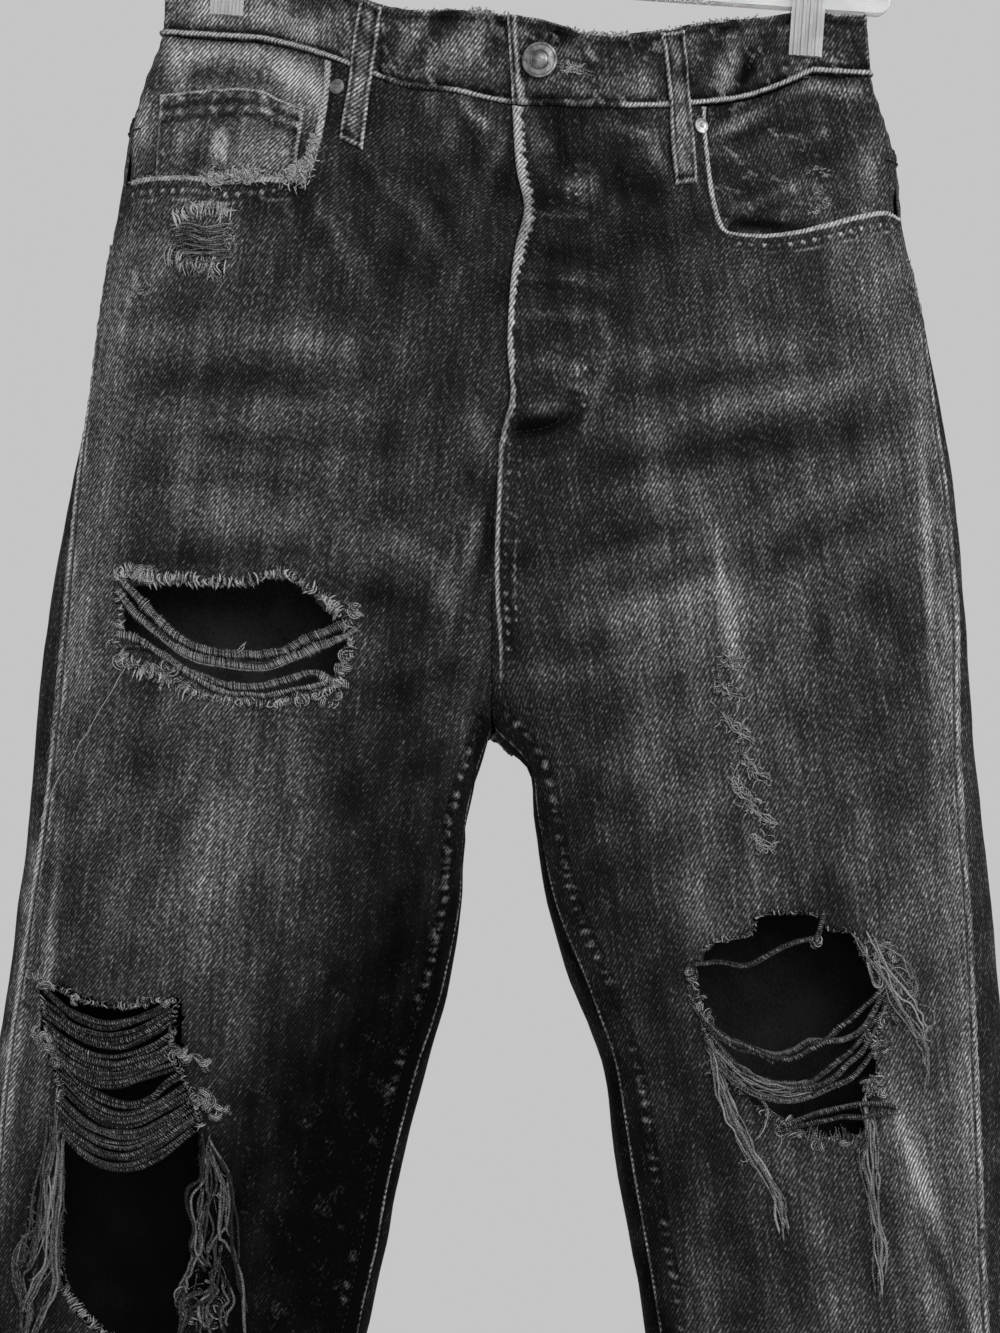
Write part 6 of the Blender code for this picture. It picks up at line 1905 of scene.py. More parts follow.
HEM_COLUMNS = 420
HEM_ROPE = 13.0  # the distance between two ridges of the roping
HEM_OUTSIDE = slice(2, 9)  # the rows of the section on the outer side
# The hem's closed section, over its seam: depth below the seam, height.
HEM_SECTION = np.array([
    (0.15, 0.3), (0.5, 0.9), (1.2, 1.1), (2.0, 0.7), (3.2, 0.95), (5, 1.1), (7, 1.1), (9, 1.05),
    (10.4, 0.95), (11.3, 0.6), (11.85, -0.1), (11.7, -1.0), (10, -1.5), (7, -1.6), (4, -1.6),
    (1.5, -1.6), (0.2, -1.2),
])


def make_hems():
    """The turned-up hem round each leg opening, roped with wear along its edge."""
    turns = np.linspace(0, 2 * math.pi, HEM_COLUMNS, endpoint=False)
    deep, high = HEM_SECTION[:, :1], HEM_SECTION[:, 1:]
    down = HEM_DOWN - HEM_HEIGHT + deep + 0 * turns
    turn = (turns + math.pi) % (2 * math.pi) - math.pi + 0 * down
    run = turns * 80 + 0 * down
    slant = np.sin(run * 2 * math.pi / HEM_ROPE + deep * 0.55)
    for side, name in ((-1, "right"), (1, "left")):
        points, normals = skin(side, turn, down), skin_normal(side, turn, down)
        lift = high + slant * 0.5 * (high > 0.5)
        points = points + normals * lift[..., None]
        fade_and_shade = 0.30 + 0.14 * slant + waves(run, down, 16, 121) * 0.06
        edge = 0.9 * ease((deep - 10.2) / 1.0) * (0.6 + 0.4 * waves(run, down, 10, 122))
        rub = edge * (high > -1.2) + 0.25 * bell(deep, 1.0, 0.8)
        grid, out = points.transpose(1, 0, 2), normals.transpose(1, 0, 2)
        index = np.arange(grid.shape[0] * grid.shape[1]).reshape(grid.shape[:2])
        index = np.concatenate([index, index[:1]], axis=0)
        faces = quads_of(np.concatenate([index, index[:, :1]], axis=1))
        plain = grid_faces(HEM_COLUMNS, HEM_OUTSIDE.stop - HEM_OUTSIDE.start)
        checked = faces_out(grid[:, HEM_OUTSIDE], plain, out[:, HEM_OUTSIDE])
        if not np.array_equal(checked[0], plain[0]):
            faces = faces[:, ::-1]
        add_piece(
            f"hem_{name}_cloth", grid, faces, [look("trim")], ("hem_" + name,),
            np.stack([run, down], axis=-1).transpose(1, 0, 2), {"fade_and_shade": fade_and_shade.T, "rub": rub.T},
        )
        for low in range(0, HEM_COLUMNS, HEM_COLUMNS // 4):
            part = slice(low, low + HEM_COLUMNS // 4)
            sew_line(points[3, part], normals[3, part], 0.1, 0.14, low + 5)


# The placket's edge on the wearer's left: down, x.
PLACKET_EDGE = ((0, 37.5), (160, 37.5), (176, 35.5), (187, 29.5), (193, 19), (196, 8))


def make_placket():
    """The placket behind the fly."""
    t, s = np.meshgrid(np.linspace(0, 1, 90), np.linspace(0, 1, 20), indexing="ij")
    down = 0.6 + 194 * t
    right = np.interp(down, *zip(*PLACKET_EDGE))
    x = fly_x(down) + 0.6 + (right - fly_x(down) - 0.6) * s
    place_patch("fly_placket_cloth", 1, "front", x, down, -1.55, "fly_placket",
                [look("inside")], 0.0, 0.0, POCKET_CLOTH)


def sew_line(points, normals, lift, tone, seed, pitch=None, long=None):
    """Stitches along a line of points, each a short bowed thread on the cloth."""
    threads = bpy.context.scene.jeans_threads
    pitch, long = pitch or threads.stitch_pitch / MM, long or threads.stitch_length / MM
    run = run_of(points)
    rng = np.random.default_rng(seed)
    starts = np.arange(pitch / 2, run[-1] - pitch / 2, pitch)
    along = starts[:, None] + np.linspace(-0.5, 0.5, len(STITCH_BOW)) * long
    place = np.stack([np.interp(along, run, points[:, k]) for k in range(3)], axis=-1)
    out = np.stack([np.interp(along, run, normals[:, k]) for k in range(3)], axis=-1)
    tones = tone + rng.uniform(-0.08, 0.1, len(starts))
    STITCHES.append((place + out * (lift + STITCH_BOW)[:, None], threads.stitch_radius / MM, tones))


def make_stitches():
    """All the rows of stitches, as one piece."""
    thread_piece("stitches", STITCHES, [look("sewing")], share=1.0)
    STITCHES.clear()


# Rips, loose threads and hardware ---------------------------------------------------------


def over_front(places, lift, side):
    """Points over the front at places given as (x, down), and the normals there."""
    places = np.asarray(places, float)
    x, down = places[..., 0], places[..., 1]
    u = place_u("front", side, x, down)
    bare, normals = cloth_at("front", side, u, down)
    return bare + normals * np.broadcast_to(np.asarray(lift, float), x.shape)[..., None], normals


def wander(rng, count, steps, size, slow):
    """Smooth random sideways shifts for many threads: a few random turns, joined by cosines."""
    knots = rng.normal(0, size, (count, slow + 2))
    t = np.linspace(0, slow + 1, steps)
    i = np.minimum(t.astype(int), slow)
    blend = (1 - np.cos((t - i) * math.pi)) / 2
    return knots[:, i] * (1 - blend) + knots[:, i + 1] * blend


def strands(side, path, count, spread, lift, seed, radius, tone, shake, rough, steps, ends=1.6,
            sag=0.0):
    """Threads that run together along a path of (x, down), each wandering on its own.

    spread is how far apart the outer ones lie, lift gives the height over the cloth at each
    step, ends says how far the threads' ends run on past the path's, and sag how far the
    threads hang below it.
    """
    rng = np.random.default_rng(seed)
    line = smooth_path(path, steps)
    ahead, across = sides_of(line)
    run = np.linspace(0, 1, steps)
    offset = (np.linspace(-0.5, 0.5, count) if count > 1 else np.zeros(1))[:, None] * spread
    offset = offset * (0.8 + 0.35 * np.sin(run * math.pi)[None, :])
    offset = offset + wander(rng, count, steps, shake * 0.6, 4)
    offset = offset + wander(rng, count, steps, rough, max(4, steps // 4))
    slide = rng.normal(0, ends, (count, 1)) * (2 * run - 1)[None, :] ** 3
    places = line[None] + across[None] * offset[..., None] + ahead[None] * slide[..., None]
    places[..., 1] += sag * np.sin(run * math.pi) * rng.uniform(0.2, 1.0, (count, 1))
    height = np.broadcast_to(np.asarray(lift, float), (steps,))[None] + wander(rng, count, steps, 0.5, 4)
    height = height + rng.uniform(-0.5, 0.7, (count, 1)) * np.sin(run * math.pi)[None]
    points, _ = over_front(places, height, side)
    thick = radius * rng.uniform(0.75, 1.25, (count, 1)) * (1 + 0.18 * wander(rng, count, steps, 0.8, 8))
    return points, np.clip(thick, 0.12, None), tone + rng.normal(0, 0.14, count)


def swag_lift(low, high, steps):
    """Height over the cloth along a hanging thread: low at its ends, high in its middle."""
    run = np.linspace(0, 1, steps)
    return low + (high - low) * np.sin(math.pi * run) ** 0.8


def curls(side, path, count, length, seed, width, lift, radius, tone, lean=(0, 0), steps=7):
    """Short curled ends of thread along a path of (x, down).

    Each starts near the path and turns as it goes: its heading changes at a steady rate of
    its own, so it draws an arc or a small loop over the cloth.
    """
    rng = np.random.default_rng(seed)
    line = even_path(path, 0.5) if len(path) > 2 else np.linspace(*path, 60)
    start = line[rng.integers(0, len(line), count)] + rng.normal(0, width, (count, 2))
    heading = rng.uniform(0, 2 * math.pi, count)
    turn = rng.normal(0, 0.55, count) + rng.choice([-0.35, 0.35], count)
    size = length * rng.uniform(0.4, 1.2, count) / steps
    along = np.arange(steps)
    angles = heading[:, None] + turn[:, None] * along[None]
    step = np.stack([np.cos(angles), np.sin(angles)], axis=-1) * size[:, None, None]
    step = step + np.asarray(lean, float) * size[:, None, None]
    places = start[:, None] + np.cumsum(step, axis=1)
    rise = lift * (0.1 + np.sin(np.linspace(0.1, 2.6, steps))[None] * rng.uniform(0.3, 1.5, (count, 1)))
    points, _ = over_front(places, rise, side)
    thick = radius * rng.uniform(0.7, 1.3, count)[:, None] * np.linspace(1.1, 0.75, steps)[None]
    return points, thick, tone + rng.normal(0, 0.16, count)


def fringe(side, path, gap, length, seed, into, radius, tone, lift=0.2, steps=7):
    """Ends of yarn that stand out from a torn edge into the hole, one every gap or so."""
    rng = np.random.default_rng(seed)
    line = even_path(path, gap)
    count = len(line)
    ahead, across = sides_of(line)
    inward = across * into
    reach = length * rng.uniform(0.3, 1.25, count) * (0.75 + 0.4 * np.sin(np.arange(count) * 0.37 + seed))
    t = np.linspace(-0.25, 1, steps)
    places = line[:, None] + inward[:, None] * (t[None] * reach[:, None])[..., None]
    places = places + ahead[:, None] * (wander(rng, count, steps, 0.55, 2))[..., None]
    places[..., 1] += (np.clip(t, 0, 1) ** 2)[None] * reach[:, None] * 0.25
    points, _ = over_front(places, lift + wander(rng, count, steps, 0.4, 2) + 0.3 * t[None], side)
    thick = radius * rng.uniform(0.7, 1.2, count)[:, None] * np.linspace(1.1, 0.5, steps)[None]
    return points, thick, tone + rng.normal(0, 0.16, count)


def rope(side, path, width, lift, seed, tone, pitch=1.0, radius=0.27, core=2, heart=0.2):
    """Fuzzy weft yarn along a path: dark core threads under short turns of fibre across them.

    core is how many threads the core has, and heart their radius as a share of the width. Each
    turn is a low arch, height = lift + 0.28 width cos(pi t) over the width, and leans
    forward by a fixed slant.
    """
    rng = np.random.default_rng(seed)
    line = even_path(path, pitch)
    count = len(line)
    line = line + wander(rng, 2, count, 0.3, max(3, count // 9)).T
    ahead, across = sides_of(line)
    t = np.linspace(-0.5, 0.5, 4)
    wide = width * (1 + 0.14 * wander(rng, 1, count, 1.0, max(3, count // 8)).T)
    wide = wide * rng.uniform(0.8, 1.2, (count, 1))
    slant = t[None] * 1.1 + rng.normal(0, 0.15, (count, 1))
    places = line[:, None] + across[:, None] * (t[None] * wide)[..., None]
    places = places + ahead[:, None] * slant[..., None]
    run = np.linspace(0, 1, count)
    low = np.interp(run, np.linspace(0, 1, np.size(lift)), np.atleast_1d(lift))
    height = low[:, None] + width * 0.28 * np.cos(t * math.pi)[None] + rng.normal(0, 0.12, (count, 1))
    points, _ = over_front(places, height, side)
    shade = tone + rng.normal(0, 0.17, count) + 0.07 * wander(rng, 1, count, 1.0, max(3, count // 6))[0]
    turns = points, radius * rng.uniform(0.8, 1.2, (count, 1)) * np.ones((1, 4)), shade
    steps = max(8, count // 2)
    under = np.interp(np.linspace(0, 1, steps), run, low - 0.2)
    inner = strands(side, line[:: max(1, count // 12)], core, width * 0.5, under, seed + 7000,
                    width * heart, -0.15, 0.05, 0.03, steps, 1.0)
    return [turns, inner]


def tufts(side, path, gap, reach, seed, into, radius, tone, steps=7, vary=0.38):
    """A row of short hooked ends over a torn edge.

    Each runs from behind the edge to just past it along a C: straight across the edge plus a
    sideways sine, rising off the cloth in its middle.
    """
    rng = np.random.default_rng(seed)
    line = even_path(path, gap)
    count = len(line)
    ahead, across = sides_of(line)
    t = np.linspace(0, 1, steps)
    long = reach * rng.uniform(0.5, 1.2, count) * (1 + 0.25 * np.sin(np.arange(count) * 0.5 + seed))
    bow = rng.normal(0.0, 0.9, count) + 1.0 * np.sin(np.arange(count) * 0.3 + seed * 1.7)
    lean = rng.normal(0.5, 0.5, count)
    places = line[:, None] + across[:, None] * into * ((t[None] - 0.6) * long[:, None])[..., None]
    places = places + ahead[:, None] * (
        np.sin(t * math.pi * 1.3)[None] * bow[:, None] + t[None] * lean[:, None]
    )[..., None]
    rise = 0.2 + np.sin(t * math.pi)[None] * rng.uniform(0.6, 2.2, (count, 1))
    points, _ = over_front(places, rise, side)
    thick = radius * rng.uniform(0.75, 1.25, (count, 1)) * (0.75 + 0.4 * np.sin(t * math.pi))[None]
    return points, thick, tone + rng.normal(0, vary, count)


def locks(side, centres, count, length, seed, radius, tone, width, steps=9, lean=0.0, threads=4,
          tight=0.36):
    """Locks of curled yarn: each is several threads side by side along the same arc."""
    rng = np.random.default_rng(seed)
    centres = np.asarray(centres, float)
    start = centres[rng.integers(0, len(centres), count)] + rng.normal(0, width, (count, 2))
    heading = rng.uniform(0, 2 * math.pi, count)
    turn = rng.choice([-1, 1], count) * rng.uniform(0.3, 1.0, count) * tight
    size = length * rng.uniform(0.6, 1.2, count) / steps
    angles = heading[:, None] + turn[:, None] * (np.arange(steps) - steps / 2)[None]
    step = np.stack([np.cos(angles), np.sin(angles)], axis=-1) * size[:, None, None]
    step[..., 1] += lean * size[:, None]
    middle = start[:, None] + np.cumsum(step, axis=1) - step.sum(axis=1, keepdims=True) / 2
    across = np.stack([-np.sin(angles), np.cos(angles)], axis=-1)
    t = np.linspace(0, 1, steps)
    apart = (np.arange(threads) - (threads - 1) / 2) * radius * 3.3
    fan = (0.6 + 0.5 * np.sin(t * math.pi))[None, None, :, None]
    places = middle[:, None] + across[:, None] * apart[None, :, None, None] * fan
    rise = 0.4 + np.sin(t * math.pi)[None, None] * rng.uniform(0.6, 2.4, (count, 1, 1)) \
        + rng.normal(0, 0.35, (count, threads, 1))
    points, _ = over_front(places.reshape(-1, steps, 2), rise.reshape(-1, steps), side)
    thick = radius * np.broadcast_to((0.6 + 0.5 * np.sin(t * math.pi))[None], (count * threads, steps))
    return points, thick, tone + rng.normal(0, 0.36, count * threads)


# The cords of weft across the thigh's hole: x, down.
THIGH_UPPER = (
    (-189, 262), (-178, 273), (-169, 283.5), (-157.5, 292), (-144, 297.5), (-126, 299),
    (-111, 298), (-98, 292.5), (-74, 282.5),
)
THIGH_MIDDLE = (
    (-190, 268), (-179, 280.5), (-169, 289), (-155.5, 298.5), (-138.5, 303), (-115.5, 304.5),
    (-99, 298.5), (-84.5, 292), (-73, 286.5),
)
THIGH_LOWER = (
    (-190, 289), (-178, 293), (-167, 299.5), (-155.5, 306.5), (-138.5, 313.5), (-122, 314.5),
    (-107, 311.5), (-94, 307.5), (-86.5, 311.5), (-78, 314),
)
# The places of each rope of weft over the right knee, from the top one down.
KNEE_WEFT = (
    ((-227, 463), (-211, 473), (-196, 478.5), (-184, 476.5), (-171, 471.5), (-163, 468)),
    ((-227, 469), (-217, 475.5), (-205.5, 481.5), (-194, 484), (-181, 482), (-168.5, 475.5), (-162, 471.5)),
    ((-226, 474), (-209.5, 482.5), (-196.5, 487.5), (-184, 487), (-171, 480.5), (-162, 474.5)),
    ((-225, 480), (-214.5, 486.5), (-196.5, 494), (-184, 493.5), (-171, 488), (-162, 481.5)),
    ((-224, 485), (-209.5, 493), (-196.5, 498), (-184, 497.5), (-171, 492.5), (-162, 488)),
    ((-223, 490), (-207, 499), (-196.5, 502.3), (-184, 501.5), (-172, 496.7), (-161.5, 491.5)),
    ((-220, 494.5), (-205.5, 502.7), (-196.5, 506.4), (-186, 506), (-176, 502.3), (-168, 499.5), (-161, 497.5)),
    ((-219, 497), (-205.5, 507.5), (-194, 514), (-184, 516.3), (-173.5, 514), (-165, 506.5), (-157, 501)),
    ((-219, 502), (-204, 513), (-191.5, 520.5), (-180, 520.7), (-166, 514), (-155, 506)),
    ((-218.5, 508.5), (-203.5, 518.7), (-191.5, 525), (-178.5, 524.6), (-165, 517.7), (-152.5, 511)),
    ((-219, 513.5), (-203.5, 525), (-191.5, 529.8), (-177.5, 529.5), (-163.5, 522.3), (-152, 514.7)),
    ((-219, 520), (-203.5, 530.5), (-191.5, 535), (-177.5, 534.5), (-161, 525), (-151, 519)),
    ((-219, 524.5), (-204, 535.7), (-191.5, 540.3), (-178, 540), (-163.5, 531.4), (-151.5, 523)),
    ((-219, 528), (-205.5, 539.5), (-192.5, 545.3), (-178.5, 545), (-165, 538.2), (-151.5, 528)),
)
KNEE_GROUPS = (1, 1, 1, 2, 2, 2, 2, 3, 3, 3, 4, 4, 4, 4)  # the solid that each rope lies on
# The yarns of the right knee's three tassels.
OUTER_TASSEL = (
    ((-220.5, 521), (-222.5, 537), (-226, 556), (-228.5, 578), (-232, 593), (-237, 601),
     (-234.5, 616), (-236, 634)),
    ((-220, 523), (-220.5, 543), (-226.5, 565), (-228, 577.5), (-235, 584.5), (-238.5, 597.5), (-235.5, 610),
     (-232, 619.5), (-236.5, 634)),
    ((-218, 530), (-217, 552), (-220, 573), (-220.5, 589.5), (-228, 605), (-233.5, 616), (-236, 634)),
    ((-217, 537), (-215.5, 558), (-218, 574.5), (-219, 594.5), (-221, 608.5), (-226.5, 619), (-232, 634)),
    ((-219, 526), (-224, 552), (-222.5, 571), (-229.5, 588), (-233.5, 597)),
    ((-217, 545), (-222.5, 566), (-224, 583.5), (-218, 602)),
)
INNER_TASSEL = (
    ((-146, 530), (-147, 550), (-151.5, 561), (-150.5, 575), (-152.5, 585), (-146, 595.5)),
    ((-145.5, 535), (-143.5, 556), (-146, 571), (-147.5, 585), (-145.5, 596)),
    ((-146, 556), (-149, 575), (-151, 590), (-155.5, 601), (-158.5, 610)),
    ((-140, 584.5), (-141, 597), (-144.5, 606), (-154, 611.5), (-157, 618), (-158.5, 630)),
    ((-141, 597), (-135.5, 609.5), (-138.5, 618.5), (-136, 630)),
    ((-146, 596), (-142, 606), (-147.5, 613.5), (-146, 630)),
)
SHORT_TASSEL = (
    ((-145, 533), (-136, 547.5), (-133, 562.5), (-132, 581), (-130.5, 600), (-128, 618)),
    ((-144.5, 536), (-138.5, 551), (-136, 564), (-139.5, 578.5), (-145, 586)),
    ((-143.5, 540), (-137.5, 556), (-138.5, 576), (-136, 583.5), (-131, 598.5), (-128.5, 630)),
)


TASSEL_STEPS = 44


def tassel(side, paths, seed, count, spread, tone, high=4.0, thick=0.5):
    """Loose yarns that hang together: a few wavy threads along each of the paths."""
    bunches = []
    for k, path in enumerate(paths):
        lift = swag_lift(1.2, high - 0.6 * (k % 3), TASSEL_STEPS)
        bunches.append(strands(side, path, count, spread, lift, seed + k, thick,
                               tone + 0.10 * (k % 3), 1.6, 0.45, TASSEL_STEPS, 3.0))
    return bunches


def make_thigh_rip():
    """The thigh's hole: curled yarn round its edge and two cords of weft sagging across it."""
    shades = [look("yarn")]
    upper = rope(-1, THIGH_UPPER, 5.2, swag_lift(0.9, 1.6, 9), 201, 0.36, 0.8, 0.3, 3, 0.13) \
        + rope(-1, THIGH_MIDDLE, 5.0, swag_lift(1.2, 2.6, 9), 202, 0.48, 0.8, 0.3, 3, 0.13) \
        + rope(-1, ((-187, 265), (-178, 273), (-171, 280), (-164, 287)), 2.2, 1.0, 203, 0.2, 1.0)
    upper.append(strands(-1, [(x, d + 1.5) for x, d in THIGH_MIDDLE], 1, 0.1, swag_lift(1.6, 3.0, 60), 204,
                         0.36, 0.34, 0.4, 0.3, 60))
    thread_piece("thigh_cord_upper", upper, shades, ("thigh_threads_upper",))
    lower = rope(-1, THIGH_LOWER, 4.6, swag_lift(0.9, 0.9, 9), 205, 0.42, 0.8, 0.3, 3, 0.13) \
        + rope(-1, ((-160, 305), (-143, 314.5), (-130, 317.5), (-115.5, 318.3), (-101, 315.2), (-88, 312.5)),
               3.2, 1.1, 206, 0.44, 0.85, 0.3, 2, 0.15) \
        + rope(-1, ((-188, 295), (-180, 295.5), (-172.5, 296), (-162, 301)), 2.4, 1.0, 207, 0.25, 1.0)
    thread_piece("thigh_cord_lower", lower, shades, ("thigh_threads_lower",))
    top = ((-190, 262), (-186, 259), (-175, 262.5), (-160, 263), (-144, 264.5), (-127, 264.5), (-118, 261.5),
           (-107.5, 260.7), (-100, 265), (-92, 270.5), (-86, 275), (-82, 280))
    low = ((-188, 298), (-181, 304), (-172, 308), (-160, 313), (-148, 318), (-127, 321.5), (-112, 322),
           (-97, 319), (-86, 315.5), (-80, 308))
    right = ((-79, 284), (-76.5, 293), (-79, 302), (-82, 310))
    left = ((-190, 268), (-188.5, 277), (-188.5, 288))
    fray = [
        tufts(-1, top, 1.15, 6.6, 211, 1, 0.42, 0.62), tufts(-1, top, 1.5, 6.8, 230, 1, 0.34, 0.05),
        tufts(-1, top[:4], 1.1, 9.5, 232, 1, 0.44, 0.66), tufts(-1, top[-3:], 0.8, 7.5, 233, 1, 0.32, 0.5),
        tufts(-1, low, 1.3, 5.0, 212, -1, 0.32, 0.36), tufts(-1, low, 1.7, 5.4, 231, -1, 0.32, 0.1),
        tufts(-1, low[:5], 1.0, 9.0, 234, -1, 0.42, 0.6), tufts(-1, low[-4:], 0.9, 6.5, 235, -1, 0.32, 0.4),
        tufts(-1, right, 0.8, 5.4, 213, 1, 0.32, 0.4), tufts(-1, left, 1.0, 5.0, 214, -1, 0.32, 0.35),
        locks(-1, ((-189, 260), (-185, 258), (-180, 257.5), (-175, 260)), 10, 9, 215, 0.28, 0.45, 1.3),
        locks(-1, ((-84, 279), (-79, 277.5), (-73, 277)), 8, 7, 217, 0.28, 0.4, 1.1),
        locks(-1, ((-192, 294), (-190, 299), (-186, 302), (-183, 304)), 12, 9, 218, 0.28, 0.4, 1.4),
        locks(-1, ((-175, 307), (-170, 305), (-165, 307)), 10, 9, 219, 0.28, 0.36, 1.6),
        locks(-1, ((-160, 311), (-154, 313.5)), 5, 6, 216, 0.26, 0.3, 1.2),
        locks(-1, ((-126, 321), (-112, 322), (-100, 320)), 7, 5, 220, 0.26, 0.35, 1.0),
        locks(-1, ((-92, 318), (-87, 321), (-81, 318)), 8, 7, 221, 0.27, 0.28, 1.3),
        locks(-1, ((-79, 292), (-77.5, 300), (-80, 306)), 8, 6, 222, 0.26, 0.35, 1.0),
        strands(-1, ((-184, 302), (-189, 311), (-201, 330), (-211, 347), (-220, 358), (-227, 376),
                     (-229, 384)), 1, 0.1, swag_lift(1.0, 1.6, 50), 223, 0.26, 0.62, 0.5, 0.4, 50),
        strands(-1, ((-130, 298), (-128, 296), (-126.5, 293)), 2, 0.8, 2.6, 224, 0.26, 0.6, 0.2, 0.1, 10),
    ]
    thread_piece("thigh_fray", fray, shades)


def make_right_knee_rip():
    """The wearer's right knee: rows of hanging weft, thicker below, and tassels at both sides."""
    shades = [look("yarn")]
    groups = {1: [], 2: [], 3: [], 4: []}
    for k, (group, path) in enumerate(zip(KNEE_GROUPS, KNEE_WEFT)):
        lift = swag_lift(0.9, 1.4 + 0.36 * k, 9)
        for n, (shift, tone) in enumerate(((-1.1, 0.12), (1.15, 0.0))):
            line = [(x, down + shift) for x, down in path]
            groups[group] += rope(-1, line, 2.4, lift + 0.3 * (1 - n), 232 + 2 * k + n,
                                  tone - 0.1 * (k < 3), 1.1, 0.29)
    for group, bunches in groups.items():
        thread_piece(f"right_knee_weft_{group}", bunches, shades, (f"right_knee_threads_{group}",))
    thread_piece("right_knee_tassel_outer_yarn", tassel(-1, OUTER_TASSEL, 262, 5, 3.4, 0.06), shades,
                 ("right_knee_tassel_outer",))
    inner = tassel(-1, INNER_TASSEL, 270, 3, 2.8, -0.12, 4.0, 0.72)
    inner.append(locks(-1, ((-154, 612), (-148, 614), (-142, 613), (-150, 622), (-140, 624)), 16, 14,
                       279, 0.42, -0.1, 2.6, 14, 0.3, 3))
    thread_piece("right_knee_tassel_inner_yarn", inner, shades, ("right_knee_tassel_inner",))
    thread_piece("right_knee_tassel_short_yarn", tassel(-1, SHORT_TASSEL, 295, 2, 2.2, -0.06, 4.0, 0.75),
                 shades, ("right_knee_tassel_short",))
    edge = ((-232, 457), (-226, 461), (-219, 462), (-204, 467.5), (-184, 469.5), (-172, 466.5), (-160, 466.5))
    left = ((-227, 466), (-225, 482), (-221, 497), (-217.5, 520))
    far = ((-217, 532), (-216.5, 556), (-217, 590), (-213, 610))
    low = ((-216, 606), (-209, 615), (-201, 623), (-192, 630))
    right = ((-161, 469), (-163, 490), (-158, 502), (-152, 514), (-149, 528))
    low_right = ((-149, 540), (-148, 560), (-149, 590), (-155, 622))
    fray = [
        tufts(-1, edge, 1.1, 3.8, 281, 1, 0.30, 0.4), tufts(-1, edge, 1.5, 4.6, 282, 1, 0.28, 0.1),
        tufts(-1, left, 1.2, 3.6, 283, -1, 0.30, 0.22), tufts(-1, right, 1.0, 4.6, 280, 1, 0.30, 0.12),
        fringe(-1, far, 1.1, 2.0, 284, -1, 0.26, 0.1), fringe(-1, low_right, 1.1, 2.0, 285, 1, 0.26, 0.1),
        tufts(-1, low, 0.9, 6.5, 278, -1, 0.34, 0.45, vary=0.2),
        locks(-1, ((-232, 456), (-228, 459), (-224, 462)), 9, 7, 286, 0.26, 0.45, 1.1),
        locks(-1, ((-210, 467), (-200, 469), (-176, 467), (-166, 467)), 10, 5, 287, 0.24, 0.4, 0.8),
        locks(-1, ((-229, 484), (-226, 487), (-222, 491)), 11, 7, 288, 0.26, 0.5, 1.1),
        locks(-1, ((-220, 497), (-218, 505), (-217, 513)), 10, 6, 289, 0.26, 0.35, 1.0),
        locks(-1, ((-161, 491), (-155, 493), (-148, 494), (-145, 497)), 13, 7, 290, 0.25, 0.4, 1.4),
        locks(-1, ((-148, 514), (-144, 517), (-141, 521), (-145, 526)), 15, 9, 291, 0.27, 0.35, 1.5),
        curls(-1, ((-226, 545), (-231, 575), (-235, 610)), 14, 22, 292, 3.0, 2.5, 0.24, 0.3, (0, 0.6), 14),
        curls(-1, ((-143, 545), (-141, 575), (-145, 610)), 10, 14, 293, 3.0, 2.5, 0.24, 0.25, (0, 0.6), 14),
    ]
    thread_piece("right_knee_fray", fray, shades)


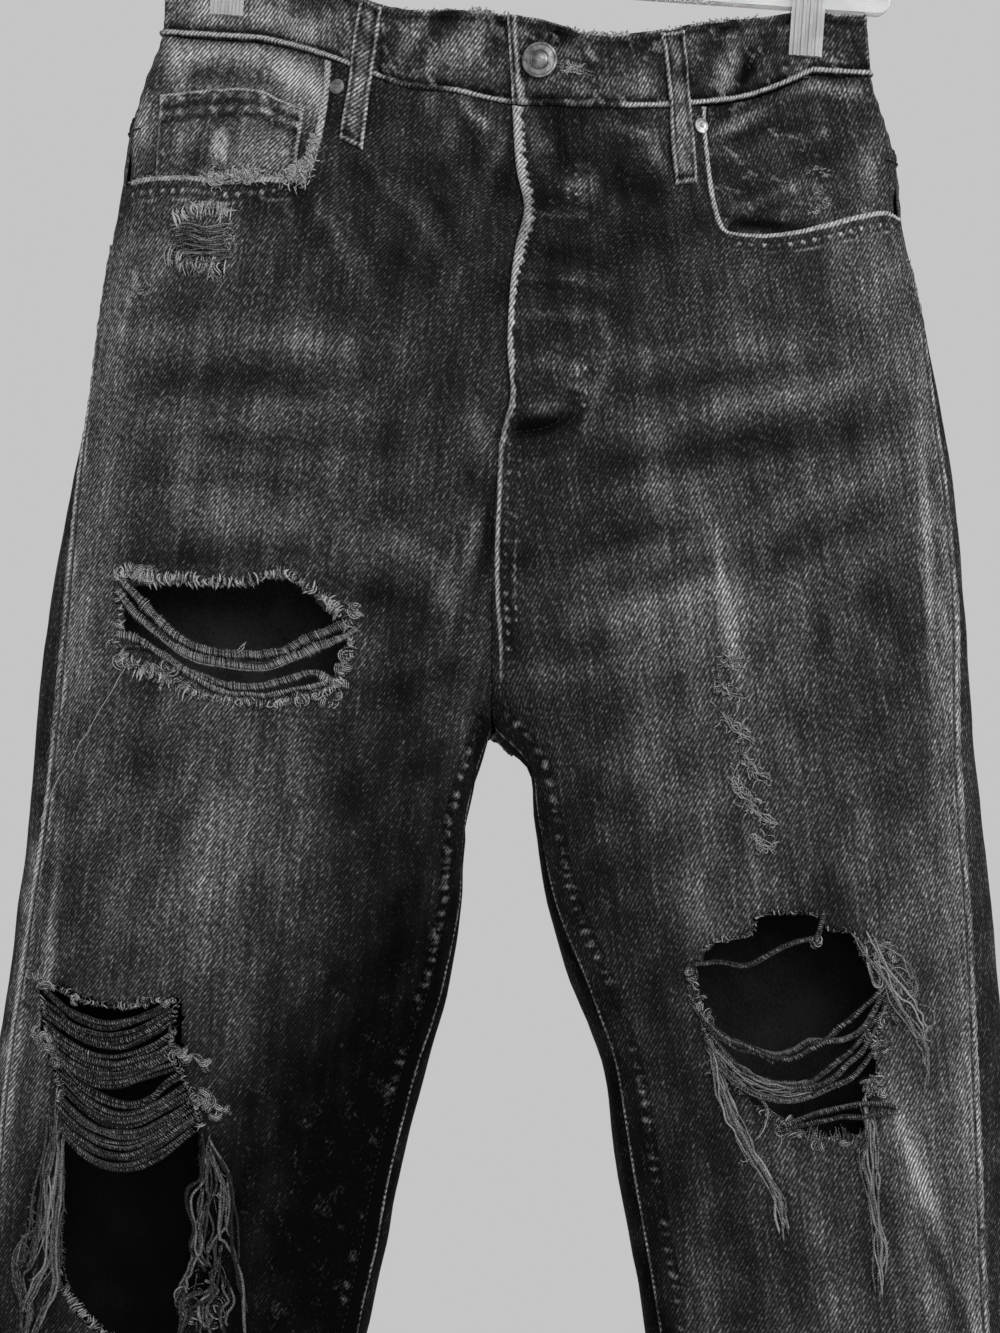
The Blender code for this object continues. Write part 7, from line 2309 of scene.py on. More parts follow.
def make_left_knee_rip():
    """The wearer's left knee: three hanging swags, a knotted strand above and loose tassels."""
    shades = [look("yarn")]
    one = ((88, 464), (94, 472), (102, 481), (110, 486), (119.5, 489), (128, 493), (137.5, 493.5), (145, 489),
           (152, 486), (158, 480), (166, 474.5), (176, 465), (183, 456))
    over = ((90, 470), (97, 475.5), (104, 483.5), (113, 487), (126.5, 491.5), (137, 490), (143, 485.5),
            (151.5, 485), (163, 484), (173, 477.5), (182, 462))
    thread_piece("left_knee_swag_1", rope(1, one, 2.9, swag_lift(0.9, 3.2, 9), 301, 0.2)
                 + rope(1, over, 2.9, swag_lift(0.9, 2.6, 9), 302, 0.15)
                 + rope(1, [(x, d + 2.6) for x, d in one[:6]], 2.2, swag_lift(0.9, 1.8, 9), 303, 0.1),
                 shades, ("left_knee_threads_1",))
    two = ((94, 478), (98, 487), (103, 496), (109, 504.5), (117, 509.5), (129.5, 513.5), (139, 513),
           (151.5, 509), (164, 504), (172, 496), (180, 484))
    second = ((97, 482), (102.5, 488), (110, 497), (118, 503), (132, 507.5), (143, 508), (154.5, 504),
              (164, 496), (171, 489), (180, 476))
    third = ((100, 488), (107, 495), (115.5, 501), (126.5, 504.5), (138, 505.5), (146, 504), (154.5, 498.5),
             (163, 491.5), (170, 485), (180, 472))
    weft = [part for k, path in enumerate((two, second, third))
            for part in rope(1, path, 3.0, swag_lift(0.9, 3.6 - 0.5 * k, 9), 304 + k, 0.2 - 0.03 * k)]
    weft.append(strands(1, ((98, 487), (108, 499), (120, 507), (134, 510), (148, 508)), 12, 8.0,
                        swag_lift(1.0, 3.6, 44), 307, 0.42, 0.26, 0.8, 0.3, 44, 3.0))
    thread_piece("left_knee_swag_2", weft, shades, ("left_knee_threads_2",))
    thread_piece("left_knee_swag_3",
                 rope(1, ((130, 526.5), (140.5, 522.5), (152, 519), (164, 516.5), (174, 516), (189, 518.5)), 3.0,
                      swag_lift(2.6, 4.2, 9), 308, 0.16)
                 + rope(1, ((131, 529), (149, 524), (160, 522), (173, 521.8), (188, 521)), 2.6,
                        swag_lift(2.4, 3.6, 9), 309, 0.1)
                 + [locks(1, ((131, 528), (136, 526)), 8, 6, 310, 0.28, 0.25, 1.4)],
                 shades, ("left_knee_threads_3",))
    top = ((88, 449), (93, 448), (100, 447), (107, 448), (114, 449.5), (120, 447), (126.5, 443), (135, 438.5),
           (143, 436.5), (147.5, 437), (150, 431), (152, 422))
    thread_piece("left_knee_top_strand", rope(1, top, 2.7, swag_lift(0.9, 1.6, 9), 311, 0.1)
                 + [locks(1, ((147, 438), (149, 436)), 4, 5, 312, 0.26, 0.15, 0.8)],
                 shades, ("left_knee_strand_top",))
    inner = (
        ((98, 485), (100, 499), (104, 511), (108.5, 524), (114, 534), (118.5, 547)),
        ((100, 496), (107, 514.5), (113, 527), (119.5, 541), (126.5, 553), (131.5, 564), (135.5, 579)),
        ((102, 499), (106, 517), (110, 526), (117, 538), (124, 549), (129.5, 560), (132, 575)),
    )
    thread_piece("left_knee_tassel_inner_yarn", tassel(1, inner, 313, 4, 2.2, 0.3), shades,
                 ("left_knee_tassel_inner",))
    outer = (
        ((166, 433), (173, 444.5), (180, 454), (188.5, 468.5), (196, 478.5), (201.5, 488.5), (203.5, 498),
         (203, 511)),
        ((174, 433), (181, 448.5), (188.5, 461.5), (194, 468.5), (200, 477), (202.5, 484)),
        ((170, 438), (177, 457), (180, 456.5), (177, 445.5), (185.5, 453), (194, 464.5)),
        ((180, 436), (188.5, 443), (195.5, 453), (196.5, 461.5), (191.5, 471), (193, 479)),
        ((175.5, 440), (180, 450), (187, 464), (194, 481), (200, 489.5), (203, 499)),
    )
    thread_piece("left_knee_tassel_outer_yarn", tassel(1, outer, 320, 2, 1.6, 0.3, 3.4), shades,
                 ("left_knee_tassel_outer",))
    drop = (
        ((172.5, 519), (174, 534), (171.5, 543.5), (175.5, 562), (178, 580), (179, 604)),
        ((175, 519), (176.5, 534), (177, 550.5), (178.5, 569), (180.5, 587), (179.5, 602)),
    )
    thread_piece("left_knee_tassel_drop_yarn", tassel(1, drop, 330, 5, 2.2, 0.26, 3.2), shades,
                 ("left_knee_tassel_drop",))
    top_edge = ((92, 449), (95, 441), (102, 437), (117, 434), (120.5, 425.5), (132, 423.5), (149, 425),
                (155, 432), (166, 433.5), (172.5, 447), (180, 461))
    side_edge = ((181, 462), (182, 470), (179, 478), (176, 488), (178.5, 498), (177, 511))
    low_edge = ((170, 532), (153, 533), (141, 531))
    left_edge = ((133, 525), (116, 514.5), (103, 496), (95, 478), (91, 457))
    thread_piece("left_knee_fray", [
        tufts(1, top_edge, 1.4, 2.6, 341, 1, 0.26, 0.22), tufts(1, side_edge, 1.2, 4.4, 342, 1, 0.28, 0.2),
        fringe(1, low_edge, 0.8, 11.0, 343, 1, 0.28, 0.35, 0.6, 9),
        tufts(1, left_edge, 1.3, 3.6, 344, 1, 0.28, 0.2),
        locks(1, ((88, 453), (90, 460), (94, 468), (97, 474)), 14, 6, 345, 0.26, 0.3, 1.2),
        locks(1, ((180, 476), (176, 484), (182, 488), (187, 474)), 16, 7, 346, 0.26, 0.22, 1.8),
        locks(1, ((181, 440), (186, 443), (188, 447)), 9, 7, 347, 0.26, 0.5, 1.3),
        locks(1, ((174, 507), (178, 505), (181, 511)), 12, 8, 348, 0.27, 0.35, 1.2),
        locks(1, ((133, 527), (140, 533), (150, 537), (164, 534)), 12, 6, 349, 0.25, 0.3, 1.3),
        curls(1, ((172, 434), (184, 446), (194, 462), (200, 480)), 36, 18, 350, 2.6, 2.6, 0.22, 0.4,
              (0.2, 0.5), 14),
        curls(1, ((100, 494), (107, 514), (118, 536), (129, 558)), 18, 12, 351, 1.6, 2.6, 0.22, 0.35,
              (0.2, 0.6), 12),
        strands(1, ((119.5, 511), (125, 518), (124, 526), (121, 532)), 2, 0.6, swag_lift(1.0, 1.8, 20), 352,
                0.3, 0.35, 0.3, 0.1, 20),
        strands(1, ((119, 512), (126.5, 518), (131.5, 524)), 1, 0.3, swag_lift(1.0, 1.8, 20), 353, 0.3, 0.3,
                0.3, 0.1, 20),
        strands(1, ((131, 527), (132, 533), (130, 539)), 1, 0.3, swag_lift(1.0, 1.4, 16), 354, 0.28, 0.4, 0.3,
                0.1, 16),
    ], shades)


def make_small_wear():
    """The frayed pocket mouth, the scuffed patches, the distress marks and the band's frays."""
    shades = [look("yarn")]
    thread_piece("pocket_mouth_fray", [
        locks(-1, ((-95, 47), (-96, 55), (-99, 62), (-105, 67)), 26, 4.6, 347, 0.28, 0.8, 0.9, 8, 0, 4, 0.6),
        locks(-1, ((-124, 70.5), (-132, 71), (-142, 71.5)), 22, 4.6, 348, 0.28, 0.78, 1.1, 8, 0, 4, 0.6),
        curls(-1, ((-94.6, 46), (-96, 54), (-98, 61), (-104, 67), (-112, 70.5)), 210, 4.2, 341, 0.9, 1.8,
              0.34, 0.72),
        curls(-1, ((-97, 66), (-101, 69), (-107, 71)), 60, 6, 342, 1.6, 2.0, 0.34, 0.66),
        curls(-1, ((-122, 70), (-130, 71), (-140, 72), (-146, 70.5)), 170, 4.6, 343, 1.5, 2.0, 0.34, 0.7),
        curls(-1, ((-112, 70.5), (-122, 71)), 40, 3, 344, 0.6, 1.2, 0.3, 0.66),
        curls(-1, ((-146, 72), (-166, 71), (-188, 72)), 70, 3, 345, 0.5, 1.2, 0.28, 0.62),
        curls(-1, ((-145, 60), (-142, 65), (-136, 67)), 30, 4, 346, 0.9, 1.0, 0.3, 0.25),
    ], shades)
    weft = []
    rng = np.random.default_rng(351)
    for k in range(13):
        down = 94 + 1.25 * k
        shift = rng.normal(0, 1.0, 2)
        weft.append(strands(-1, ((-164 + shift[0], down), (-156, down + rng.normal(0, 0.7)),
                                 (-147, down + 1 + rng.normal(0, 0.8)), (-135 + shift[1], down - 0.6)),
                            2, 0.9, swag_lift(0.5, 1.3, 22), 352 + k, 0.38, 0.12 + 0.3 * (k % 3 == 1), 0.5, 0.3, 22))
    weft += [
        tufts(-1, ((-164, 90), (-152, 85), (-135, 88)), 0.62, 9.0, 371, -1, 0.36, 0.7, 9, 0.35),
        tufts(-1, ((-163, 88), (-150, 84), (-137, 87)), 0.9, 7.0, 374, -1, 0.34, 0.35, 9, 0.35),
        tufts(-1, ((-167, 108), (-152, 113), (-138, 115)), 0.62, 9.5, 372, 1, 0.38, 0.6, 9, 0.4),
        tufts(-1, ((-164, 111), (-152, 115), (-140, 118)), 0.9, 7.0, 375, 1, 0.34, 0.3, 9, 0.35),
        curls(-1, ((-136, 94), (-134, 104)), 30, 5, 373, 1.2, 1.6, 0.3, 0.5),
    ]
    thread_piece("pocket_scuff", weft, shades)
    marks = []
    for k, (x0, d0, x1, d1) in enumerate((
        (99, 311, 112, 318.5), (102.5, 327, 119, 341), (112, 347, 126, 360), (107, 357, 119, 370),
        (115, 370, 129, 380), (104, 300, 112, 305), (118, 386, 128, 392),
    )):
        half = (x0 + x1) / 2, (d0 + d1) / 2 + 1.5
        marks.append(curls(1, ((x0, d0), half, (x1, d1)), 34, 6, 381 + k, 1.5, 1.8, 0.32, 0.5))
        marks.append(strands(1, ((x0, d0), half, (x1, d1)), 4, 3.0, swag_lift(0.6, 1.8, 16), 391 + k,
                             0.34, 0.42, 0.8, 0.5, 16))
    marks += [
        curls(1, ((148, 54), (152, 52), (156, 56)), 26, 4, 401, 1.0, 1.4, 0.28, 0.5),
        curls(1, ((152, 62), (155, 66), (153, 69)), 20, 4, 402, 0.9, 1.2, 0.28, 0.45),
        curls(1, ((148, 75), (154, 73), (158, 71)), 26, 4, 403, 1.0, 1.3, 0.28, 0.55),
        curls(-1, ((-176, 121), (-180, 124), (-184, 124)), 24, 4, 404, 1.4, 1.2, 0.28, 0.5),
    ]
    thread_piece("small_scuffs", marks, shades)


# Where the waistband's top edge is frayed: from x, to x, how many ends, their length.
TOP_FRAY = (
    (-18, -8, 60, 3.2), (30, 58, 70, 2.6), (98, 124, 36, 2.0), (40, 50, 14, 4.0),
    (-56, 10, 40, 1.6), (60, 120, 40, 1.6),
)
BUTTONHOLE = ((23.2, -19.4), (30, -18.4), (36, -16.6), (42.1, -15.2))
HAIR = 0.26  # the radius of a single loose end


def make_top_fray():
    """The frayed bits along the waistband's top edge and round its buttonhole."""
    rng = np.random.default_rng(411)
    bunches = []
    steps = 6
    for low, high, count, size in TOP_FRAY:
        x = rng.uniform(low, high, count)
        bare, normals = skin_at(x, -band_height("front", x), "front")
        out = BAND_PROUD - BAND_CLOTH / 2 + 0.8 * (x > -2) + rng.uniform(-1.0, 0.6, count)
        angle = rng.uniform(0, 2 * math.pi, count)[:, None]
        angle = angle + rng.normal(0, 0.6, count)[:, None] * np.arange(steps)
        step = np.stack([np.cos(angle), 0.35 * np.sin(angle * 1.3), np.sin(angle) + 0.15], axis=-1)
        step = step * (size * rng.uniform(0.3, 1.1, count) / steps)[:, None, None]
        path = (bare + normals * out[:, None])[:, None] + np.cumsum(step, axis=1)
        bunches.append((path, HAIR, 0.55 + rng.normal(0, 0.14, count)))
    slit = even_path(BUTTONHOLE, 0.7)
    for offset in (-0.9, 0.9):
        bare, normals = skin_at(slit[:, 0], slit[:, 1] + offset, "front")
        bunches.append(((bare + normals * (BAND_PROUD + 1.6))[None], 0.55, 0.12))
    count, steps = 60, 7
    x, down = rng.normal(31.0, 2.4, count), rng.normal(-18.6, 1.3, count)
    bare, normals = skin_at(x, down, "front")
    angle = rng.uniform(0, 6.3, count)[:, None] + rng.normal(0, 0.7, count)[:, None] * np.arange(steps)
    step = np.stack([np.cos(angle), -0.1 + 0 * angle, np.sin(angle)], axis=-1) * 0.55
    path = (bare + normals * (BAND_PROUD + 1.5))[:, None] + np.cumsum(step, axis=1)
    bunches.append((path, HAIR, 0.7 + rng.normal(0, 0.12, count)))
    thread_piece("waistband_fray", bunches, [look("yarn")])


# Hardware finishes ------------------------------------------------------------------------


def clouds(tree, scale, detail=2.0):
    """Noise in the round, from 0 to 1, over the object's own coordinates."""
    place = tree.nodes.new("ShaderNodeTexCoord")
    node = tree.nodes.new("ShaderNodeTexNoise")
    node.inputs["Scale"].default_value = scale
    node.inputs["Detail"].default_value = detail
    put(tree, node.inputs["Vector"], place.outputs["Object"])
    return node.outputs["Fac"]


def metal(name, colour, dark, roughness):
    """Aged metal: fine grain, and tarnish gathered in soft patches."""
    material, tree, shader = new_look(name, Metallic=1.0)
    mixed = calc(tree, "MULTIPLY_ADD", clouds(tree, 1400.0), 0.35, clouds(tree, 260.0, 3.0))
    put(tree, shader.inputs["Base Color"], tinted(tree, ramp(tree, mixed, 0.45, 0.95, dark, 1), colour))
    put(tree, shader.inputs["Roughness"], ramp(tree, mixed, 0.4, 0.95, roughness + 0.2, roughness))
    bump(tree, shader, mixed, 0.08, 0.35)
    return material


def clear_plastic(colour):
    """Clear moulded plastic, a little clouded."""
    material, tree, shader = new_look("clear plastic", IOR=1.46, Transmission_Weight=0.55)
    cloud = clouds(tree, 40.0)
    put(tree, shader.inputs["Base Color"], tinted(tree, ramp(tree, cloud, 0.3, 0.7, 0.82, 1), colour))
    put(tree, shader.inputs["Roughness"], ramp(tree, cloud, 0.3, 0.7, 0.16, 0.28))
    return material


def finish_hardware():
    """The button, the rivets, the hook and the hanger keep their solids and get their finishes."""
    finishes = {
        "waist_button": look("button"), "rivet_right": look("button"), "rivet_left": look("rivet"),
        "hanger_bar": look("plastic"), "hook_collar": look("plastic"), "hanger_hook": look("steel"),
    }
    for name in ("right", "left"):
        finishes[f"clip_{name}_jaw_front"] = look("plastic")
        finishes[f"clip_{name}_jaw_back"] = look("plastic")
        finishes[f"clip_{name}_spring"] = look("steel")
    for name, finish in finishes.items():
        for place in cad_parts[name].material_slots:
            place.material = finish


# Stage ------------------------------------------------------------------------------------


def aim(obj, at, towards):
    """Puts a lamp or the camera at a place, looking towards another."""
    obj.location = at
    obj.rotation_euler = (Vector(towards) - Vector(at)).to_track_quat("-Z", "Y").to_euler()


FLOOR_Z = -1190.0
FLOOR_HALF = 1300.0


def make_floor(colour):
    """The pale floor under the legs, a flat square."""
    floor_look, tree, shader = new_look("pale floor", Roughness=0.9)
    place = tree.nodes.new("ShaderNodeTexCoord")
    grain = noise(tree, place.outputs["Object"], (3, 3), 0, 3.0)
    put(tree, shader.inputs["Base Color"], tinted(tree, ramp(tree, grain, -1, 1, 0.94, 1), colour))
    corners = [(x * FLOOR_HALF, y * FLOOR_HALF, FLOOR_Z) for x, y in ((-1, -1), (1, -1), (1, 1), (-1, 1))]
    mesh = bpy.data.meshes.new("floor")
    mesh.from_pydata((np.array(corners) * MM).tolist(), [], [(0, 1, 2, 3)])
    mesh.materials.append(floor_look)
    floor = bpy.data.objects.new("floor", mesh)
    bpy.context.scene.collection.objects.link(floor)


def make_room(colour, strength):
    """The pale surroundings: one colour where they are seen, and soft white light."""
    world = bpy.data.worlds.new("pale room")
    bpy.context.scene.world = world
    world.use_nodes = True
    tree = world.node_tree
    tree.nodes.clear()
    path = tree.nodes.new("ShaderNodeLightPath")
    seen = calc(tree, "MAXIMUM", path.outputs["Is Camera Ray"], path.outputs["Is Glossy Ray"])
    seen = calc(tree, "MAXIMUM", seen, path.outputs["Is Transmission Ray"])
    lit, shown = tree.nodes.new("ShaderNodeBackground"), tree.nodes.new("ShaderNodeBackground")
    lit.inputs["Color"].default_value = (1, 1, 1, 1)
    lit.inputs["Strength"].default_value = strength
    shown.inputs["Color"].default_value = (*colour, 1)
    shown.inputs["Strength"].default_value = 1.0
    mix = tree.nodes.new("ShaderNodeMixShader")
    out = tree.nodes.new("ShaderNodeOutputWorld")
    tree.links.new(seen, mix.inputs[0])
    tree.links.new(lit.outputs[0], mix.inputs[1])
    tree.links.new(shown.outputs[0], mix.inputs[2])
    tree.links.new(mix.outputs[0], out.inputs["Surface"])


# The lamps: name, place, what it shines on, width, share of the front lamp's power.
LAMPS = (
    ("lamp front", (0.5, -2.3, 0.7), (0, 0, -0.45), 2.0, 1.0),
    ("lamp right", (2.2, -1.0, 0.2), (0.1, 0, -0.5), 1.4, 14 / 34),
    ("lamp back", (-1.0, 2.3, 0.5), (0, 0, -0.5), 2.0, 20 / 34),
)
VIEW_X, VIEW_Z = -0.004, -0.4235  # the middle of the view, in metres


def make_stage():
    """The floor, the surroundings, the soft lamps and the camera."""
    scene = bpy.context.scene
    stage = scene.jeans_stage
    make_floor(stage.floor_colour)
    make_room(stage.backdrop_colour, stage.room_strength)
    for name, at, towards, size, share in LAMPS:
        lamp = bpy.data.lights.new(name, "AREA")
        lamp.shape = "SQUARE"
        lamp.size = size
        lamp.energy = stage.lamp_power * share
        obj = bpy.data.objects.new(name, lamp)
        scene.collection.objects.link(obj)
        aim(obj, at, towards)
    camera = bpy.data.cameras.new("camera")
    camera.sensor_width = 36.0
    camera.lens = stage.camera_lens
    obj = bpy.data.objects.new("camera", camera)
    scene.collection.objects.link(obj)
    aim(obj, (VIEW_X, -stage.camera_distance, VIEW_Z), (VIEW_X, 0.0, VIEW_Z))
    scene.camera = obj
    scene.view_settings.view_transform = "Standard"


# Finishes by name, slots and sheets ---------------------------------------------------------

LOOKS = {}


def look(name):
    """The finish of this name, made when it is first asked for."""
    scene = bpy.context.scene
    threads, trims = scene.jeans_threads, scene.jeans_trims
    recipes = {
        "panel": (denim, "denim panel", 0.12),
        "trim": (denim, "denim trim", 0.2),
        "band": (denim, "denim band", 0.45),
        "facing": (denim, "denim facing", 0.4),
        "loop": (denim, "denim loop", 0.2),
        "inside": (lining,),
        "torn": (torn,),
        "sewing": (yarn, "sewing thread", threads.sewing_colour, 0.08),
        "yarn": (yarn, "loose yarn", threads.yarn_colour, 0.022),
        "button": (metal, "aged pewter", trims.button_colour, 0.29, 0.34),
        "rivet": (metal, "worn steel", trims.rivet_colour, 0.4, 0.30),
        "steel": (metal, "polished steel", trims.steel_colour, 0.68, trims.steel_roughness),
        "plastic": (clear_plastic, trims.plastic_colour),
    }
    if name not in LOOKS:
        make, *settings = recipes[name]
        LOOKS[name] = make(*settings)
    return LOOKS[name]


# The record's slot of each piece that stands for no solid of its own.
SLOTS = {
    "pocket_mouth_right": "front_right", "pocket_mouth_left": "front_left",
    "fly_edge": "front_left", "inseam_right": "front_right", "inseam_left": "front_left",
    "back_seams": "back_right", "stitches": "front_right", "thigh_fray": "thigh_threads_upper",
    "right_knee_fray": "right_knee_threads_1", "left_knee_fray": "left_knee_threads_1",
    "pocket_mouth_fray": "front_right", "pocket_scuff": "front_right",
    "small_scuffs": "front_left", "waistband_fray": "waistband",
}

# Each sheet of cloth: its cut's width and length in metres, its flat area in square metres,
# what it hangs from, and the pieces on it.
SHEETS = {
    "waistband_cloth": (0.776, 0.044, 0.0312, ("clip_right_jaw_front", "clip_left_jaw_front"),
                        ("waistband_fray",)),
    "denim_front_right": (0.243, 0.992, 0.188, ("waistband_cloth",), (
        "pocket_mouth_right", "inseam_right", "stitches", "pocket_mouth_fray", "pocket_scuff",
        "thigh_cord_upper", "thigh_cord_lower", "thigh_fray", "right_knee_weft_1",
        "right_knee_weft_2", "right_knee_weft_3", "right_knee_weft_4",
        "right_knee_tassel_outer_yarn", "right_knee_tassel_inner_yarn",
        "right_knee_tassel_short_yarn", "right_knee_fray",
    )),
    "denim_front_left": (0.259, 0.992, 0.176, ("waistband_cloth",), (
        "pocket_mouth_left", "fly_edge", "inseam_left", "small_scuffs", "left_knee_swag_1",
        "left_knee_swag_2", "left_knee_swag_3", "left_knee_top_strand",
        "left_knee_tassel_inner_yarn", "left_knee_tassel_outer_yarn",
        "left_knee_tassel_drop_yarn", "left_knee_fray",
    )),
    "denim_yoke_right": (0.197, 0.083, 0.0126, ("waistband_cloth",), ()),
    "denim_yoke_left": (0.217, 0.083, 0.0127, ("waistband_cloth",), ()),
    "denim_back_right": (0.300, 0.944, 0.235, ("denim_yoke_right",), ("back_seams", "hem_right_cloth")),
    "denim_back_left": (0.310, 0.948, 0.242, ("denim_yoke_left",), ("hem_left_cloth",)),
    "pocket_facing_right_cloth": (0.121, 0.098, 0.0112, ("waistband_cloth",), ()),
    "pocket_facing_left_cloth": (0.115, 0.098, 0.0098, ("waistband_cloth",), ()),
    "coin_pocket_cloth": (0.078, 0.060, 0.0046, ("pocket_facing_right_cloth",), ()),
    "back_pocket_right_cloth": (0.154, 0.156, 0.0196, ("denim_back_right",), ()),
    "back_pocket_left_cloth": (0.154, 0.156, 0.0186, ("denim_back_left",), ()),
    "fly_placket_cloth": (0.040, 0.194, 0.0056, ("waistband_cloth",), ()),
}
SHEETS.update({
    row[0] + "_cloth": (0.0115, 0.080, 0.00092, ("waistband_cloth",), ()) for row in LOOPS
})


# Settings ---------------------------------------------------------------------------------


def colour_setting(name, description, default):
    """A colour that a user can pick."""
    return FloatVectorProperty(name=name, description=description, subtype="COLOR", size=3,
                               min=0.0, max=1.0, default=default)


def length_setting(name, description, default, low, high):
    """A length that a user can set, in metres."""
    return FloatProperty(name=name, description=description, unit="LENGTH", precision=5,
                         default=default, min=low, max=high)


class JeansCloth(bpy.types.PropertyGroup):
    """The denim."""

    thickness: length_setting("Thickness", "How thick the panels' cloth is", 0.0012, 0.0004, 0.003)
    grid: length_setting("Grid step", "The step of the grid that the fronts are made on", 0.0032,
                         0.002, 0.01)
    twill: length_setting("Twill pitch", "The distance between two lines of the twill", 0.00155,
                          0.0008, 0.004)
    creasing: FloatProperty(name="Creasing", description="How high the small creases stand",
                            subtype="FACTOR", default=1.0, min=0.0, max=2.0)
    # Fading also scales the spots of painted shade in the same tables.
    fading: FloatProperty(name="Fading", description="How strongly the dye has washed out in places",
                          subtype="FACTOR", default=1.0, min=0.0, max=1.5)
    weft_colour: colour_setting("Weft", "The bare yarn that shows between the dyed ones",
                                (0.56, 0.56, 0.56))
    warp_colour: colour_setting("Warp", "The dyed yarn where the wash has greyed it",
                                (0.026, 0.026, 0.026))
    rubbed_colour: colour_setting("Rubbed", "Cloth worn pale, as along a seam", (0.60, 0.60, 0.60))
    inside_colour: colour_setting("Inside", "The cloth's inner side", (0.0085, 0.0085, 0.0085))


class JeansThreads(bpy.types.PropertyGroup):
    """The sewing thread and the loose yarn."""

    stitch_pitch: length_setting("Stitch pitch", "From one stitch to the next", 0.0033, 0.0015, 0.008)
    stitch_length: length_setting("Stitch length", "The part of a stitch that shows", 0.0025, 0.001,
                                  0.006)
    stitch_radius: length_setting("Stitch radius", "Half the sewing thread's thickness", 0.00027,
                                  0.0001, 0.001)
    yarn_thickness: FloatProperty(name="Yarn thickness", subtype="FACTOR", default=1.0, min=0.4,
                                  max=2.0, description="The loose yarn's thickness, as a share of its own")
    sewing_colour: colour_setting("Sewing thread", "The palest turns of the sewing thread",
                                  (0.10, 0.10, 0.10))
    yarn_colour: colour_setting("Loose yarn", "The palest turns of the loose yarn", (0.55, 0.55, 0.55))


class JeansTrims(bpy.types.PropertyGroup):
    """The metal trims and the hanger."""

    button_colour: colour_setting("Button", "The button and the rivet on the wearer's right",
                                  (0.34, 0.34, 0.34))
    rivet_colour: colour_setting("Rivet", "The rivet on the wearer's left", (0.55, 0.55, 0.55))
    steel_colour: colour_setting("Steel", "The hanger's hook and the clips' springs", (0.66, 0.66, 0.66))
    steel_roughness: FloatProperty(name="Steel roughness", subtype="FACTOR", default=0.18, min=0.0,
                                   max=1.0, description="How dull the steel is")
    plastic_colour: colour_setting("Plastic", "The hanger's clear bar and its clips", (0.88, 0.88, 0.88))


class JeansStage(bpy.types.PropertyGroup):
    """The surroundings."""

    backdrop_colour: colour_setting("Backdrop", "The surroundings where they are seen",
                                    (0.56, 0.56, 0.56))
    floor_colour: colour_setting("Floor", "The floor", (0.64, 0.64, 0.64))
    room_strength: FloatProperty(name="Room light", default=0.42, min=0.0, max=2.0,
                                 description="The strength of the light that comes from all round")
    lamp_power: FloatProperty(name="Lamp power", unit="POWER", default=34.0, min=0.0, max=500.0,
                              description="The power of the front lamp; the others follow it")
    camera_distance: length_setting("Camera distance", "From the camera to the hook's plane", 1.2, 0.5,
                                    8.0)
    camera_lens: FloatProperty(name="Lens", unit="CAMERA", default=36.0 * 1200.0 / 666.5, min=10.0,
                               max=400.0, description="The camera's focal length, in millimetres")


# Operators ----------------------------------------------------------------------------------


def done(*names):
    """The operators' answer, once every piece they make is there; otherwise an error."""
    missing = [name for name in names if name not in bpy.data.objects]
    if missing:
        raise RuntimeError("not made: " + ", ".join(missing))
    return {"FINISHED"}


class JEANS_OT_stage(bpy.types.Operator):
    """Makes the floor, the surroundings, the lamps and the camera"""

    bl_idname = "jeans.stage"
    bl_label = "Stage"

    def execute(self, context):
        make_stage()
        return done("floor", "camera")


class JEANS_OT_panels(bpy.types.Operator):
    """Makes the fronts with their holes, the yokes and the backs"""

    bl_idname = "jeans.panels"
    bl_label = "Panels"

    def execute(self, context):
        make_panels()
        return done("denim_front_right", "denim_front_left", "denim_back_right", "denim_back_left")


class JEANS_OT_pocket_mouths(bpy.types.Operator):
    """Makes the rolled and sewn edges of the front pockets"""

    bl_idname = "jeans.pocket_mouths"
    bl_label = "Pocket mouths"

    def execute(self, context):
        make_mouths()
        return done("pocket_mouth_right", "pocket_mouth_left")


class JEANS_OT_fly(bpy.types.Operator):
    """Makes the fly's folded edge, its sewn curve and the front seam"""

    bl_idname = "jeans.fly"
    bl_label = "Fly"

    def execute(self, context):
        make_fly()
        return done("fly_edge")


class JEANS_OT_seams(bpy.types.Operator):
    """Makes the puckered seams of the legs, the yokes and the seat"""

    bl_idname = "jeans.seams"
    bl_label = "Seams"

    def execute(self, context):
        make_leg_seams()
        make_back_seams()
        return done("inseam_right", "inseam_left", "back_seams")


class JEANS_OT_waistband(bpy.types.Operator):
    """Makes the waistband from end to end"""

    bl_idname = "jeans.waistband"
    bl_label = "Waistband"

    def execute(self, context):
        make_band()
        return done("waistband_cloth")


class JEANS_OT_facings(bpy.types.Operator):
    """Makes the cloth behind the front pockets"""

    bl_idname = "jeans.facings"
    bl_label = "Pocket facings"

    def execute(self, context):
        make_facings()
        return done("pocket_facing_right_cloth", "pocket_facing_left_cloth")


class JEANS_OT_coin_pocket(bpy.types.Operator):
    """Makes the coin pocket"""

    bl_idname = "jeans.coin_pocket"
    bl_label = "Coin pocket"

    def execute(self, context):
        make_coin_pocket()
        return done("coin_pocket_cloth")


class JEANS_OT_belt_loops(bpy.types.Operator):
    """Makes the five belt loops"""

    bl_idname = "jeans.belt_loops"
    bl_label = "Belt loops"

    def execute(self, context):
        make_loops()
        return done(*(row[0] + "_cloth" for row in LOOPS))


class JEANS_OT_back_pockets(bpy.types.Operator):
    """Makes the two back pockets"""

    bl_idname = "jeans.back_pockets"
    bl_label = "Back pockets"

    def execute(self, context):
        make_back_pockets()
        return done("back_pocket_right_cloth", "back_pocket_left_cloth")


